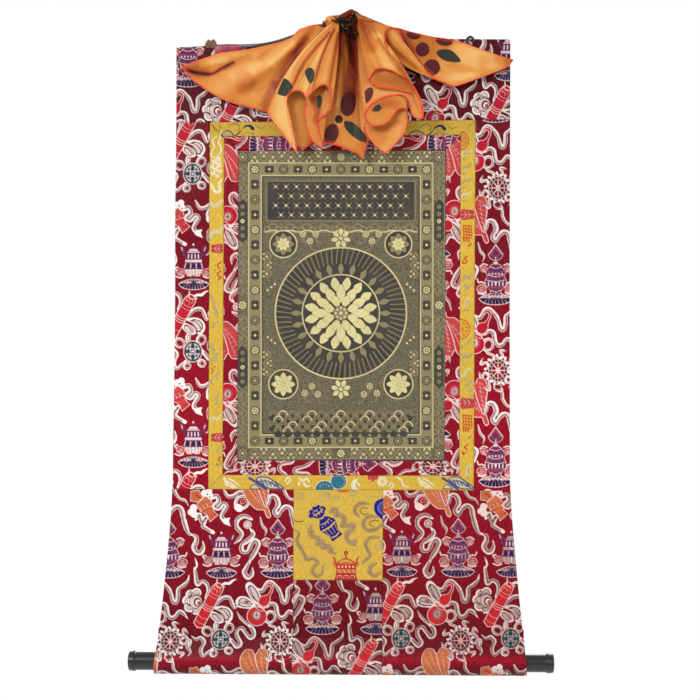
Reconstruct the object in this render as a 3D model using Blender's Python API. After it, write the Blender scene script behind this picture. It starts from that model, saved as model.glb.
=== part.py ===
"""Thangka scroll painting: a painted cloth in brocade borders, hung by a cord, with a
gathered silk veil at its head and a roller in a pocket at its foot.

Metres, +Z up, X to the right as seen from the front, the front faces -Y.
The origin is the hanging point, at the top of the cord's bend.
"""

import math
from collections import namedtuple

import bmesh
import bpy
import numpy as np

# ------------------------------------------------------------------ sizes
CLOTH = 0.0015  # brocade thickness
SILK = 0.0010  # veil thickness
GAP = 0.0003  # between neighbouring pieces

HEAD_Z = -0.0380  # top edge of the mount, at its middle
FRAME_TOP_Z = -0.1524  # seam between the head panel and the yellow border
FRAME_FOOT_Z = -0.6798  # seam between the yellow border and the foot panels
FRAME_HALF = 0.1903  # half width over the yellow border
YELLOW_W = 0.0208  # width of the yellow border
INNER_RED_W = 0.0211  # width of the inner red border
PATCH_X = (-0.0672, 0.0609)  # left and right sides of the yellow patch
PATCH_FOOT_Z = -0.8091

ROLLER_Z = -0.9262  # roller axis at the middle
ROLLER_TILT = 0.0060  # its right end is higher: rise per length
POLE_R = 0.0152
POCKET_R = 0.0172  # middle of the cloth where it goes round the pole
POCKET_RISE = 0.0340  # height over the axis where the cloth leaves the flat
HEM_UP = 0.0130  # turned hem sewn to the back above that
ROLLER_HALF = 0.3050  # half length over the knobs
NECK_R = 0.0128
FLANGE_R = 0.0144
FLANGE_W = 0.0098

LEAN = 0.0045  # the mount hangs a little off plumb: sideways shift per drop
LEAN_AT_TOP = -0.0015

CORD_D = 0.0044

# Half width of the mount at heights down its sides: it is straight to the foot
# panels and flares from there to the roller.
Side = namedtuple("Side", "z half")
SIDES = [
    Side(-0.038, 0.2392),
    Side(-0.400, 0.2398),
    Side(-0.667, 0.2415),
    Side(-0.722, 0.2450),
    Side(-0.780, 0.2500),
    Side(-0.838, 0.2558),
    Side(-0.894, 0.2622),
    Side(-0.945, 0.2672),
    Side(-1.100, 0.2672),
]
# The top edge sags towards its corners, more at the left one.
Head = namedtuple("Head", "x drop")
HEAD = [
    Head(-0.240, 0.0062),
    Head(-0.205, 0.0050),
    Head(-0.150, 0.0030),
    Head(-0.060, 0.0004),
    Head(0.060, -0.0016),
    Head(0.150, -0.0014),
    Head(0.232, 0.0002),
    Head(0.241, 0.0010),
]

# ------------------------------------------------------------------ helpers


def smooth(x):
    x = min(1.0, max(0.0, x))
    return x * x * (3 - 2 * x)


def along(rows, key, value, at):
    return float(
        np.interp(
            at,
            *zip(*sorted((getattr(r, key), getattr(r, value)) for r in rows)),
        )
    )


def half_width(z):
    return along(SIDES, "z", "half", z)


def head_z(x):
    return HEAD_Z - along(HEAD, "x", "drop", x)


def lean(z):
    return LEAN_AT_TOP + LEAN * z


def wave(x, z):
    """How far the hung cloth lies behind its mean plane: long soft waves that
    fade out at the top edge and at the roller."""
    down = -z
    fade = smooth((down - 0.03) / 0.20) * smooth((0.90 - down) / 0.10)
    side = smooth((abs(x) - 0.12) / 0.12)
    return fade * (
        0.0014 * math.sin(2 * math.pi * (x / 0.46 + 0.11))
        + side * 0.0018 * math.sin(2 * math.pi * (down / 0.31 + x * 0.9))
        + 0.0007 * math.sin(2 * math.pi * (down / 0.19 + x / 0.37))
    )


def hung(x, z):
    """The middle of the cloth at (x, z) of the flat mount."""
    return (x + lean(z), wave(x, z) + 0.0, z + tilt(x, z))


def tilt(x, z):
    return ROLLER_TILT * x * smooth((FRAME_FOOT_Z - z) / 0.20)


def material(name, colour, roughness, metallic=0.0):
    m = bpy.data.materials.get(name) or bpy.data.materials.new(name)
    m.use_nodes = True
    shader = m.node_tree.nodes["Principled BSDF"]
    shader.inputs["Base Color"].default_value = (*colour, 1)
    shader.inputs["Roughness"].default_value = roughness
    shader.inputs["Metallic"].default_value = metallic
    return m


def add_object(name, verts, faces, mat, soft=True):
    me = bpy.data.meshes.new(name)
    me.from_pydata([tuple(map(float, v)) for v in verts], [], faces)
    me.validate()
    me.materials.append(mat)
    if soft:
        me.shade_smooth()
        me.set_sharp_from_angle(angle=math.radians(50))
    ob = bpy.data.objects.new(name, me)
    bpy.context.collection.objects.link(ob)
    return ob


def normals(grid):
    """Unit normals of a grid of points, [column][row], pointing to the back."""
    a = np.gradient(grid, axis=0)
    b = np.gradient(grid, axis=1)
    n = np.cross(a, b)
    return n / np.maximum(np.linalg.norm(n, axis=2, keepdims=True), 1e-12)


def sheet(name, grid, thick, mat):
    """A closed sheet of even thickness about a grid of points, [column][row],
    columns from left to right and rows from the top down."""
    grid = np.asarray(grid, float)
    half = np.broadcast_to(np.asarray(thick) / 2, grid.shape[:2])[..., None]
    n = normals(grid)
    front, back = grid - n * half, grid + n * half
    c, r = grid.shape[:2]
    verts = np.concatenate([front.reshape(-1, 3), back.reshape(-1, 3)])
    size = c * r

    def f(i, j):
        return i * r + j

    def b(i, j):
        return size + i * r + j

    faces = []
    for i in range(c - 1):
        for j in range(r - 1):
            faces.append((f(i, j), f(i, j + 1), f(i + 1, j + 1), f(i + 1, j)))
            faces.append((b(i, j), b(i + 1, j), b(i + 1, j + 1), b(i, j + 1)))
    for j in range(r - 1):
        faces.append((f(0, j), b(0, j), b(0, j + 1), f(0, j + 1)))
        faces.append((f(c - 1, j), f(c - 1, j + 1), b(c - 1, j + 1), b(c - 1, j)))
    for i in range(c - 1):
        faces.append((f(i, 0), f(i + 1, 0), b(i + 1, 0), b(i, 0)))
        faces.append((f(i, r - 1), b(i, r - 1), b(i + 1, r - 1), f(i + 1, r - 1)))
    return add_object(name, verts, faces, mat)


def flat_piece(name, corner, columns, rows, mat):
    """A piece of the hung mount. corner(s, t) gives its point of the flat mount
    for s from left to right and t from the top down."""
    grid = [
        [hung(*corner(i / columns, j / rows)) for j in range(rows + 1)]
        for i in range(columns + 1)
    ]
    return sheet(name, grid, CLOTH, mat)


def turned(name, profile, sides, mat, at=(0, 0, 0)):
    """A solid turned about the X axis. profile holds (along, radius) from one end
    to the other."""
    verts, faces = [], []
    for x, r in profile:
        for k in range(sides):
            a = 2 * math.pi * k / sides
            verts.append((at[0] + x, at[1] + r * math.cos(a), at[2] + r * math.sin(a)))
    for i in range(len(profile) - 1):
        for k in range(sides):
            m = (k + 1) % sides
            faces.append(
                (
                    i * sides + k,
                    i * sides + m,
                    (i + 1) * sides + m,
                    (i + 1) * sides + k,
                )
            )
    faces.append(tuple(reversed(range(sides))))
    faces.append(tuple(range((len(profile) - 1) * sides, len(profile) * sides)))
    ob = add_object(name, verts, faces, mat)
    bm = bmesh.new()
    bm.from_mesh(ob.data)
    bmesh.ops.recalc_face_normals(bm, faces=bm.faces)
    bm.to_mesh(ob.data)
    bm.free()
    return ob


# ------------------------------------------------------------------ the mount
def mount():
    red = material("red_brocade", (0.42, 0.02, 0.04), 0.55)
    gold = material("yellow_brocade", (0.72, 0.52, 0.10), 0.55)
    art = material("painted_cloth", (0.22, 0.19, 0.11), 0.6)
    g = GAP / 2

    def edge(z):
        return half_width(z)

    # head panel: full width, from the sagging top edge to the first seam
    def head(s, t):
        x = (2 * s - 1) * edge(-0.1)
        top = head_z(x)
        return x, top + (FRAME_TOP_Z + g - top) * t

    flat_piece("panel_top", head, 16, 3, red)

    # side panels
    def side(sign):
        def at(s, t):
            z = (FRAME_TOP_Z - g) + (FRAME_FOOT_Z - FRAME_TOP_Z + 2 * g) * t
            out, inner = edge(z), FRAME_HALF + g
            return (-out + (out - inner) * s if sign < 0 else inner + (out - inner) * s), z

        return at

    flat_piece("panel_left", side(-1), 2, 14, red)
    flat_piece("panel_right", side(1), 2, 14, red)

    # two mitred frames, one inside the other
    def frame(prefix, half, top, foot, wide, mat):
        xi, ti, fi = half - wide, top - wide, foot + wide
        m = g * 0.72  # half a gap measured across the mitre

        def long_side(sign):
            def at(s, t):
                a = half - g - (wide - 2 * g) * (s if sign < 0 else 1 - s)
                depth = (half - g - a) + g  # distance in from the outer edge
                z0, z1 = top - depth - m, foot + depth + m
                return sign * a, z0 + (z1 - z0) * t

            return at

        def cross_side(up):
            def at(s, t):
                depth = g + (wide - 2 * g) * (t if up else 1 - t)
                x0 = half - depth - m
                z = top - depth if up else foot + depth
                return -x0 + 2 * x0 * s, z

            return at

        flat_piece(prefix + "_left", long_side(-1), 1, 12, mat)
        flat_piece(prefix + "_right", long_side(1), 1, 12, mat)
        flat_piece(prefix + "_top", cross_side(True), 10, 1, mat)
        flat_piece(prefix + "_bottom", cross_side(False), 10, 1, mat)
        return xi, ti, fi

    half, top, foot = frame(
        "border_yellow", FRAME_HALF, FRAME_TOP_Z, FRAME_FOOT_Z, YELLOW_W, gold
    )
    half, top, foot = frame("border_red", half, top, foot, INNER_RED_W, red)

    def middle(s, t):
        return (2 * s - 1) * (half - g), top - g + (foot - top + 2 * g) * t

    flat_piece("painting", middle, 8, 10, art)

    # the patch let into the foot
    def patch(s, t):
        x0, x1 = PATCH_X
        return (
            x0 + g + (x1 - x0 - 2 * g) * s,
            FRAME_FOOT_Z - g + (PATCH_FOOT_Z - FRAME_FOOT_Z + 2 * g) * t,
        )

    flat_piece("door_patch", patch, 4, 4, gold)

    foot_panels(red)


def pocket():
    """The foot's section below its flat part, as (y, z over the roller axis): down
    the front of the pole, round under it and up behind to the turned hem."""
    lift = math.acos(POCKET_R / POCKET_RISE)  # angle from the top to the tangent
    path = [(0.0, POCKET_RISE)]
    ty, tz = -POCKET_R * math.sin(lift), POCKET_R * math.cos(lift)
    path.append((ty * 0.5, (tz + POCKET_RISE) / 2 + 0.0006))
    steps = 16
    for k in range(steps + 1):
        a = lift + (2 * math.pi - 2 * lift) * k / steps
        path.append((-POCKET_R * math.sin(a), POCKET_R * math.cos(a)))
    behind = CLOTH + GAP
    path.append(((-ty + behind) * 0.5 + 0.0006, (tz + POCKET_RISE) / 2))
    path.append((behind + 0.0002, POCKET_RISE + 0.0012))
    path.append((behind, POCKET_RISE + HEM_UP))
    return path


def foot_panels(red):
    g = GAP / 2
    flat_foot = ROLLER_Z + POCKET_RISE
    x0, x1 = PATCH_X

    def build(name, top_z, left, right, columns):
        rows = 7
        grid = []
        for i in range(columns + 1):
            s = i / columns
            line = []
            for j in range(rows + 1):
                z = top_z + (flat_foot - top_z) * j / rows
                x = left(z) + (right(z) - left(z)) * s
                line.append(hung(x, z))
            x_flat = left(flat_foot) + (right(flat_foot) - left(flat_foot)) * s
            for y, up in pocket()[1:]:
                z = ROLLER_Z + up
                low = min(z, flat_foot) if y <= 0 else ROLLER_Z - POCKET_R
                x = left(low) + (right(low) - left(low)) * s
                if y > 0:
                    # the turned part follows the front's own slant back up
                    x = x + (x_flat - x) * smooth((up + POCKET_R) / (2 * POCKET_R))
                line.append((x + lean(z), y + wave(x, min(z, -0.95)), z + tilt(x, z)))
            grid.append(line)
        return sheet(name, grid, CLOTH, red)

    def out(sign):
        return lambda z: sign * half_width(z)

    def at(x):
        return lambda z: x

    build("panel_bottom_left", FRAME_FOOT_Z - g, out(-1), at(x0 - g), 6)
    build("panel_bottom_right", FRAME_FOOT_Z - g, at(x1 + g), out(1), 6)
    build("panel_bottom_centre", PATCH_FOOT_Z - g, at(x0 + g), at(x1 - g), 4)


# ------------------------------------------------------------------ the roller
def roller():
    wood = material("pole_wood", (0.45, 0.28, 0.14), 0.6)
    black = material("black_gloss", (0.012, 0.012, 0.013), 0.25)
    reach = half_width(ROLLER_Z) - 0.004  # the pole stops inside the pocket
    seat = 0.022  # how far a knob's neck goes into the pocket
    body = reach - seat + 0.004

    def place(ob, sign=1):
        ob.location = (lean(ROLLER_Z), 0, ROLLER_Z)
        ob.rotation_euler = (0, -math.atan(ROLLER_TILT), 0)
        return ob

    pole = [(-body, POLE_R - 0.0008), (-body + 0.0008, POLE_R)]
    pole += [(body - 0.0008, POLE_R), (body, POLE_R - 0.0008)]
    place(turned("roller_pole", pole, 32, wood))

    start, end = body + GAP, ROLLER_HALF
    face = end - FLANGE_W
    profile = [
        (start, NECK_R - 0.0006),
        (start + 0.0006, NECK_R),
        (face - 0.0008, NECK_R),
        (face - 0.0004, NECK_R + 0.0003),
        (face, FLANGE_R - 0.0009),
        (face + 0.0006, FLANGE_R - 0.0002),
        (face + 0.0014, FLANGE_R),
        (end - 0.0022, FLANGE_R),
        (end - 0.0010, FLANGE_R - 0.0004),
        (end - 0.0003, FLANGE_R - 0.0012),
        (end, FLANGE_R - 0.0024),
    ]
    place(turned("roller_knob_right", profile, 32, black))
    mirror = [(-x, r) for x, r in reversed(profile)]
    place(turned("roller_knob_left", mirror, 32, black))


# ------------------------------------------------------------------ elevation
# The veil, the cord and the tabs are laid out on an elevation drawing. One unit of
# it is UNIT on the plane of the cloth. It is drawn from EYE_DISTANCE away and
# EYE_TURN to the right, so what stands proud of the cloth is drawn a little larger.
UNIT = 0.00143
EYE_DISTANCE = 2.40
EYE_TURN = math.radians(3.6)
CENTRE = (350.0, 350.0)
HANG_AT = (343.6, 14.5)  # where the origin is on the drawing
AIM = ((CENTRE[0] - HANG_AT[0]) * UNIT, (HANG_AT[1] - CENTRE[1]) * UNIT)
EYE = (
    AIM[0] + EYE_DISTANCE * math.sin(EYE_TURN),
    -EYE_DISTANCE * math.cos(EYE_TURN),
    AIM[1],
)


def drawn(across, down, proud):
    """The point that the drawing shows at (across, down) and that stands proud of
    the cloth's plane by that many millimetres."""
    a = (across - CENTRE[0]) * UNIT / EYE_DISTANCE
    b = (CENTRE[1] - down) * UNIT / EYE_DISTANCE
    ray = (
        -math.sin(EYE_TURN) + math.cos(EYE_TURN) * a,
        math.cos(EYE_TURN) + math.sin(EYE_TURN) * a,
        b,
    )
    t = (-proud / 1000 - EYE[1]) / ray[1]
    return (EYE[0] + ray[0] * t, -proud / 1000, EYE[2] + ray[2] * t)


# ------------------------------------------------------------------ the veil
# One cloth, followed along its hem from the left tip to the right tip. Each row is
# a fold: the stretch between two turns. neck: across, down and proud at the
# gathered end, from its first corner to its last. proud: of the hem, the same way.
# corners: where the hem bends, as across, down, and how far the fold swings out to
# the side on its way there. belly: how far its middle stands out.
Fold = namedtuple("Fold", "name neck_from neck_to proud belly corners")
VEIL = [
    Fold(
        "left wing", (322, 25.0, 10), (333, 18, 12), (8, 11.5), (3, 3),
        [(182, 67, 1), (192, 76, 0), (206, 89, 0), (225, 101, 0), (248, 107, 0), (267, 111.5, -2)],
    ),
    Fold(
        "behind the left bunch", (335.5, 19, 12.5), (339.0, 21, 14.2), (11.0, 13.5), (0, 0),
        [(292, 125, 0), (313, 141, 2)],
    ),
    Fold(
        "back of the left bunch", (336.5, 22.5, 16.5), (330.2, 24, 20), (18, 22.5), (0, 1),
        [(301, 149, 0), (284, 131, -3), (267, 113, -9)],
    ),
    Fold(
        "left bunch, outer", (331, 24, 23), (332.5, 24, 25), (30, 35), (2, 3),
        [(281, 132, -20), (297, 152.5, -26)],
    ),
    Fold(
        "left bunch, first arch", (333, 24, 26), (335.5, 24, 29.5), (36, 42), (2, 2),
        [(293.5, 130, -21), (287.5, 98, -12), (294, 91.5, -9), (302, 92.5, -7), (306.5, 98.5, -4)],
    ),
    Fold(
        "left bunch, tall fold", (336, 23.5, 30.5), (339.0, 22.5, 32), (43, 43), (3, 3),
        [(313, 91.5, -3), (323.5, 85, 0), (329.5, 91, 1), (331, 110, 2)],
    ),
    Fold(
        "left bunch, under the tall fold", (338.0, 25.5, 28), (333.8, 27, 24.0), (36, 27.5), (0, 0),
        [(327, 114.5, 2), (317.5, 121.5, 1), (322.5, 148, 0), (311, 139.5, -2), (305.5, 122, -3), (306, 104, -4)],
    ),
    Fold(
        "behind the tall fold", (337.0, 28, 20.5), (340.5, 27, 18), (23.0, 21), (-1, -2),
        [(315, 124, -1), (325, 143.5, 0)],
    ),
    Fold(
        "middle valley", (343, 20, 13), (354.0, 11.5, 8.5), (20, 17), (-5, -2),
        [(334, 145, 1), (345, 149, 1), (355, 153, 1), (363, 158.5, 1), (366.5, 146, 1)],
    ),
    Fold(
        "behind the right bunch", (357, 12.5, 9.0), (361.0, 14.5, 11.0), (15.0, 14.0), (-1, 0),
        [(376, 130, 1), (392, 121, 3)],
    ),
    Fold(
        "right bunch, lowest", (358.5, 16, 14.2), (365.5, 17, 21.5), (19.5, 34), (1, 3),
        [(376, 124, 0), (364.3, 128, -3), (370, 140, -1), (385.3, 153.5, 1), (397, 142.5, 6), (405, 133, 9), (408, 121, 10), (405.5, 110, 13)],
    ),
    Fold(
        "right bunch, fourth", (362, 18, 24.8), (357.0, 18.5, 27), (37, 37), (2, 1),
        [(398, 110, 11), (391, 121, 8), (382, 125.5, 5), (371, 126, 2), (364.8, 117.5, -2)],
    ),
    Fold(
        "right bunch, third", (359, 18, 30), (367.0, 18, 33.5), (36.5, 40), (1, 2),
        [(369.5, 106.5, 1), (382, 98.5, 3), (395, 95.5, 6), (409, 99, 6), (418.5, 107, 5), (421.5, 119, 5)],
    ),
    Fold(
        "right bunch, second", (363, 18, 36), (357.0, 18, 38.5), (43, 43.5), (1, 1),
        [(415, 100, 3), (397, 90, 3), (380, 88, 2), (369, 82, -2)],
    ),
    Fold(
        "right bunch, front", (359.5, 17.0, 42), (374.0, 15.0, 40), (47.5, 43), (3, 2),
        [(376.5, 69.5, -1), (388, 70, -3), (402, 78.5, -6), (416, 88.5, -8), (424, 106, -5), (418.5, 89, -6), (404, 67, -6), (390, 54, -2), (385, 39, 0)],
    ),
    Fold(
        "right wing", (375.5, 14.5, 36.5), (353, 9.5, 6.0), (34, 7), (0, 3),
        [(391.5, 29, 0), (396, 60, 0), (408, 70, 0), (427, 80.5, 2), (452, 86, 2), (478, 77.5, 1), (500, 69.5, 0), (514, 61, 0)],
    ),
]
VEIL_TURN = 0.0012  # the least radius that its turns are rounded to, about


def veil_rays():
    """For each corner of the hem in order: the gathered end, the middle and the hem
    of the line of cloth that ends there, in drawing units."""
    rays = []
    for fold in VEIL:
        n = len(fold.corners)
        for k, (across, down, swing) in enumerate(fold.corners):
            t = k / max(1, n - 1)
            neck = np.array(fold.neck_from) * (1 - t) + np.array(fold.neck_to) * t
            proud = fold.proud[0] * (1 - t) + fold.proud[1] * t
            belly = fold.belly[0] * (1 - t) + fold.belly[1] * t
            hem = np.array((across, down, proud), float)
            mid = (neck + hem) / 2 + np.array((swing, 0.0, belly))
            rays.append((neck, mid, hem))
    return np.array(rays)


def through(points, at):
    """A smooth curve through a row of points, read at the given steps."""
    n = len(points)
    i = np.clip(np.floor(at).astype(int), 0, n - 2)
    f = (at - i)[:, None, None]
    p0, p1 = points[np.maximum(i - 1, 0)], points[i]
    p2, p3 = points[i + 1], points[np.minimum(i + 2, n - 1)]
    # tangents limited by the shorter neighbour, so that no turn overshoots
    a, b, c = p1 - p0, p2 - p1, p3 - p2

    def size(v):
        return np.linalg.norm(v, axis=-1, keepdims=True) + 1e-6

    m1 = (a / size(a) + b / size(b)) * 0.5 * np.minimum(size(a), size(b))
    m2 = (b / size(b) + c / size(c)) * 0.5 * np.minimum(size(b), size(c))
    return (
        p1 * (2 * f**3 - 3 * f**2 + 1)
        + m1 * (f**3 - 2 * f**2 + f)
        + p2 * (-2 * f**3 + 3 * f**2)
        + m2 * (f**3 - f**2)
    )


def rounded(lines, radius):
    """Rounds the turns of a row of points: each point becomes a weighted mean of its
    surroundings along the row. The two ends keep their places."""
    step = radius / 4
    run = np.concatenate([[0], np.cumsum(np.linalg.norm(np.diff(lines, axis=0), axis=1))])
    n = max(8, int(run[-1] / step))
    at = np.linspace(0, run[-1], n)
    even = np.stack([np.interp(at, run, lines[:, k]) for k in range(3)], axis=1)
    half = 12
    weight = np.exp(-0.5 * (np.arange(-half, half + 1) / 4.0) ** 2)
    weight /= weight.sum()
    # beyond its ends the row runs straight on
    before = even[0] + (even[0] - even[1]) * np.arange(half, 0, -1)[:, None]
    after = even[-1] + (even[-1] - even[-2]) * np.arange(1, half + 1)[:, None]
    padded = np.concatenate([before, even, after])
    soft = np.stack([np.convolve(padded[:, k], weight, "valid") for k in range(3)], axis=1)
    return np.stack([np.interp(run, at, soft[:, k]) for k in range(3)], axis=1)


def veil_surface(columns, rows):
    """The middle of the veil's cloth as a grid of points, [along the hem][down]."""
    rays = veil_rays()
    fine = (len(rays) - 1) * 12
    lines = through(rays, np.linspace(0, len(rays) - 1, fine + 1))
    levels = []
    for j in range(rows + 1):
        v = j / rows
        a, b, c = (2 * v - 1) * (v - 1), 4 * v * (1 - v), v * (2 * v - 1)
        level = [drawn(*(neck * a + mid * b + hem * c)) for neck, mid, hem in lines]
        levels.append(rounded(np.array(level), VEIL_TURN))
    grid = np.stack(levels, axis=1)
    # columns are spread by how far the cloth runs and turns between them
    cost = np.zeros(fine)
    for level in (grid[:, rows // 3], grid[:, 2 * rows // 3], grid[:, -1]):
        d = np.diff(level, axis=0)
        size = np.linalg.norm(d, axis=1)
        way = d / np.maximum(size, 1e-9)[:, None]
        turn = np.arccos(np.clip((way[1:] * way[:-1]).sum(1), -1, 1))
        cost += size / 0.050 + np.concatenate([[0], turn]) / 1.0
    total = np.concatenate([[0], np.cumsum(cost)])
    pick = np.interp(np.linspace(0, total[-1], columns + 1), total, np.arange(fine + 1))
    i = np.clip(np.floor(pick).astype(int), 0, fine - 1)
    f = (pick - i)[:, None, None]
    return grid[i] * (1 - f) + grid[i + 1] * f


def veil():
    silk = material("orange_silk", (0.80, 0.30, 0.05), 0.4)
    rows = 8
    # the silk is drawn tight, and so thinner, where it is gathered
    thick = SILK * np.clip(0.62 + 1.6 * np.arange(rows + 1) / rows, 0, 1)[None, :]
    return sheet("veil", veil_surface(128, rows), thick, silk)


# ------------------------------------------------------------------ cord and ties
def smooth_path(points, count):
    """Points spaced evenly along a smooth curve through the given ones."""
    pts = np.array(points, float)
    fine = through(pts[:, None, :], np.linspace(0, len(pts) - 1, 600))[:, 0]
    run = np.concatenate([[0], np.cumsum(np.linalg.norm(np.diff(fine, axis=0), axis=1))])
    at = np.linspace(0, run[-1], count)
    return np.stack([np.interp(at, run, fine[:, k]) for k in range(3)], axis=1)


# across, down, proud of the cloth's plane, from the left end to the right end
CORD_ROUTE = [
    (219.5, 46.9, 3.6),
    (230, 46.7, 3.6),
    (242, 46.2, 3.7),
    (256, 45.3, 3.8),
    (268, 43.6, 3.6),
    (281, 40.4, 3.2),
    (296, 35.2, 2.6),
    (310, 30.6, 2.0),
    (324, 25.0, 1.4),
    (335, 18.6, 1.0),
    (341, 16.2, 0.8),
    (346, 16.2, 0.8),
    (353, 19.0, 0.8),
    (372, 28.0, -0.6),
    (392, 34.8, -2.6),
    (410, 39.2, -3.4),
    (428, 41.6, -3.5),
    (448, 42.2, -3.5),
    (463.5, 42.4, -3.5),
]


def cord():
    dark = material("dark_cord", (0.03, 0.03, 0.035), 0.5)
    route = smooth_path([drawn(*p) for p in CORD_ROUTE], 44)
    curve = bpy.data.curves.new("hang_cord", "CURVE")
    curve.dimensions = "3D"
    curve.bevel_depth = CORD_D / 2
    curve.bevel_resolution = 2
    curve.use_fill_caps = True
    spline = curve.splines.new("POLY")
    spline.points.add(len(route) - 1)
    for p, co in zip(spline.points, route):
        p.co = (*co, 1)
    curve.materials.append(dark)
    ob = bpy.data.objects.new("hang_cord", curve)
    bpy.context.collection.objects.link(ob)


def strap(name, x0, x1, top, front_foot, back_foot, inside, wall, mat, columns=6, crown=0.0014):
    """A strap over the top edge: an upside-down U seen from its end, with rounded
    corners. inside gives the y of its front and back inner faces."""
    y0, y1 = inside[0] - wall / 2, inside[1] + wall / 2
    peak = top - wall / 2
    path = [(y0, front_foot)]
    for cy, start in ((y0 + crown, math.pi), (y1 - crown, math.pi / 2)):
        for k in range(4):
            a = start - math.pi / 2 * k / 3
            path.append((cy + crown * math.cos(a), peak - crown + crown * math.sin(a)))
    path.append((y1, back_foot))
    grid = []
    for i in range(columns + 1):
        x = x0 + (x1 - x0) * i / columns
        grid.append([(x, y, z) for y, z in path])
    return sheet(name, grid, wall, mat)


def ties():
    satin = material("red_satin", (0.30, 0.01, 0.03), 0.35)
    ribbon = material("ribbon_brocade", (0.25, 0.14, 0.05), 0.5)
    dark = material("dark_cord", (0.03, 0.03, 0.035), 0.5)

    # sleeve: a satin strap over the top edge, which the cord comes out of
    left, right = drawn(217.5, 45, 3), drawn(240, 44, 3)
    strap(
        "cord_sleeve_left", left[0], right[0], -0.0394, -0.0530, -0.0520,
        (-0.0064, 0.0012), 0.0010, satin, columns=4,
    )

    # ribbon: two plies of narrow brocade folded to a point above the top edge
    outline = [(211.2, 36.6), (204.4, 44.8), (207.0, 49.4), (213.5, 51.0), (216.9, 48.2), (217.2, 44.0)]
    verts = [drawn(a, d, 3.6) for a, d in outline] + [drawn(a, d, 1.4) for a, d in outline]
    n = len(outline)
    # seen from the front the outline runs anticlockwise
    faces = [tuple(range(n)), tuple(reversed(range(n, 2 * n)))]
    faces += [(k, k + n, (k + 1) % n + n, (k + 1) % n) for k in range(n)]
    tab = add_object("ribbon_tab_left", verts, faces, ribbon, soft=False)
    bevel = tab.modifiers.new("edge", "BEVEL")
    bevel.width, bevel.segments = 0.0005, 1

    # loop: the cord's other end, over the top edge
    a, b = drawn(465.6, 40, 3), drawn(473.2, 40, 3)
    strap(
        "cord_loop_right", a[0], b[0], -0.0330, -0.0420, -0.0420,
        (-0.0012, 0.0012), 0.0022, dark, columns=4, crown=0.0022,
    )

    knot(dark)


def knot(dark):
    """The knot that gathers the veil, between its two bunches: a rounded lump with
    a waist."""
    bm = bmesh.new()
    bmesh.ops.create_icosphere(bm, subdivisions=3, radius=1.0)
    at = np.array(drawn(349.2, 20.5, 24))
    half = (0.0078, 0.0058, 0.0120)
    for v in bm.verts:
        x, y, z = v.co
        waist = 1 - 0.26 * math.exp(-((z + 0.1) ** 2) / 0.05)
        lobes = 1 + 0.07 * math.sin(3 * math.atan2(y, x) + 4 * z)
        v.co = (
            at[0] + half[0] * x * waist * lobes + 0.0012 * z,
            at[1] + half[1] * y * waist * lobes,
            at[2] + half[2] * z,
        )
    me = bpy.data.meshes.new("veil_tie")
    bm.to_mesh(me)
    bm.free()
    me.materials.append(dark)
    me.shade_smooth()
    ob = bpy.data.objects.new("veil_tie", me)
    bpy.context.collection.objects.link(ob)


def main():
    for ob in list(bpy.data.objects):
        bpy.data.objects.remove(ob, do_unlink=True)
    mount()
    roller()
    veil()
    cord()
    ties()


main()
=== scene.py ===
import math
from collections import namedtuple

import bmesh
import bpy
import numpy as np
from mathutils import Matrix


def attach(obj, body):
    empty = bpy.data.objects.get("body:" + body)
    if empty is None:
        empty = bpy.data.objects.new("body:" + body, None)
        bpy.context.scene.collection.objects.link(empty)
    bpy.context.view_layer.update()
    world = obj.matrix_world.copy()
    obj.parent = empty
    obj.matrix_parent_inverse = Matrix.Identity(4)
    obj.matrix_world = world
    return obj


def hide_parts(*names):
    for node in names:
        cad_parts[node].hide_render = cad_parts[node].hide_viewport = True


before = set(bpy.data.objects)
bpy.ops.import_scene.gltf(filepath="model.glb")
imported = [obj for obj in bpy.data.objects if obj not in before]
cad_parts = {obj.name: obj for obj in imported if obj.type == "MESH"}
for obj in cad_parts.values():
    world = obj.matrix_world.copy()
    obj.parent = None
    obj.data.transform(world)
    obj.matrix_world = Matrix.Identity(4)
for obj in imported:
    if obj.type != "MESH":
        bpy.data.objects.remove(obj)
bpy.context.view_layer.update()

# ------------------------------------------------------------------ sizes, as the part has them
CLOTH = 0.0015
SILK = 0.0010
GAP = 0.0003
HEAD_Z = -0.0380
FRAME_TOP_Z = -0.1524
FRAME_FOOT_Z = -0.6798
FRAME_HALF = 0.1903
YELLOW_W = 0.0208
INNER_RED_W = 0.0211
PATCH_X = (-0.0672, 0.0609)
PATCH_FOOT_Z = -0.8091
ROLLER_Z = -0.9262
ROLLER_TILT = 0.0060
POLE_R = 0.0152
POCKET_R = 0.0172
POCKET_RISE = 0.0340
HEM_UP = 0.0130
ROLLER_HALF = 0.3050
NECK_R = 0.0128
FLANGE_R = 0.0144
FLANGE_W = 0.0098
LEAN = 0.0045
LEAN_AT_TOP = -0.0015
CORD_D = 0.0044

Side = namedtuple("Side", "z half")
SIDES = [
    Side(-0.038, 0.2392),
    Side(-0.400, 0.2398),
    Side(-0.667, 0.2415),
    Side(-0.722, 0.2450),
    Side(-0.780, 0.2500),
    Side(-0.838, 0.2558),
    Side(-0.894, 0.2622),
    Side(-0.945, 0.2672),
    Side(-1.100, 0.2672),
]
Head = namedtuple("Head", "x drop")
HEAD = [
    Head(-0.240, 0.0062),
    Head(-0.205, 0.0050),
    Head(-0.150, 0.0030),
    Head(-0.060, 0.0004),
    Head(0.060, -0.0016),
    Head(0.150, -0.0014),
    Head(0.232, 0.0002),
    Head(0.241, 0.0010),
]

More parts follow.
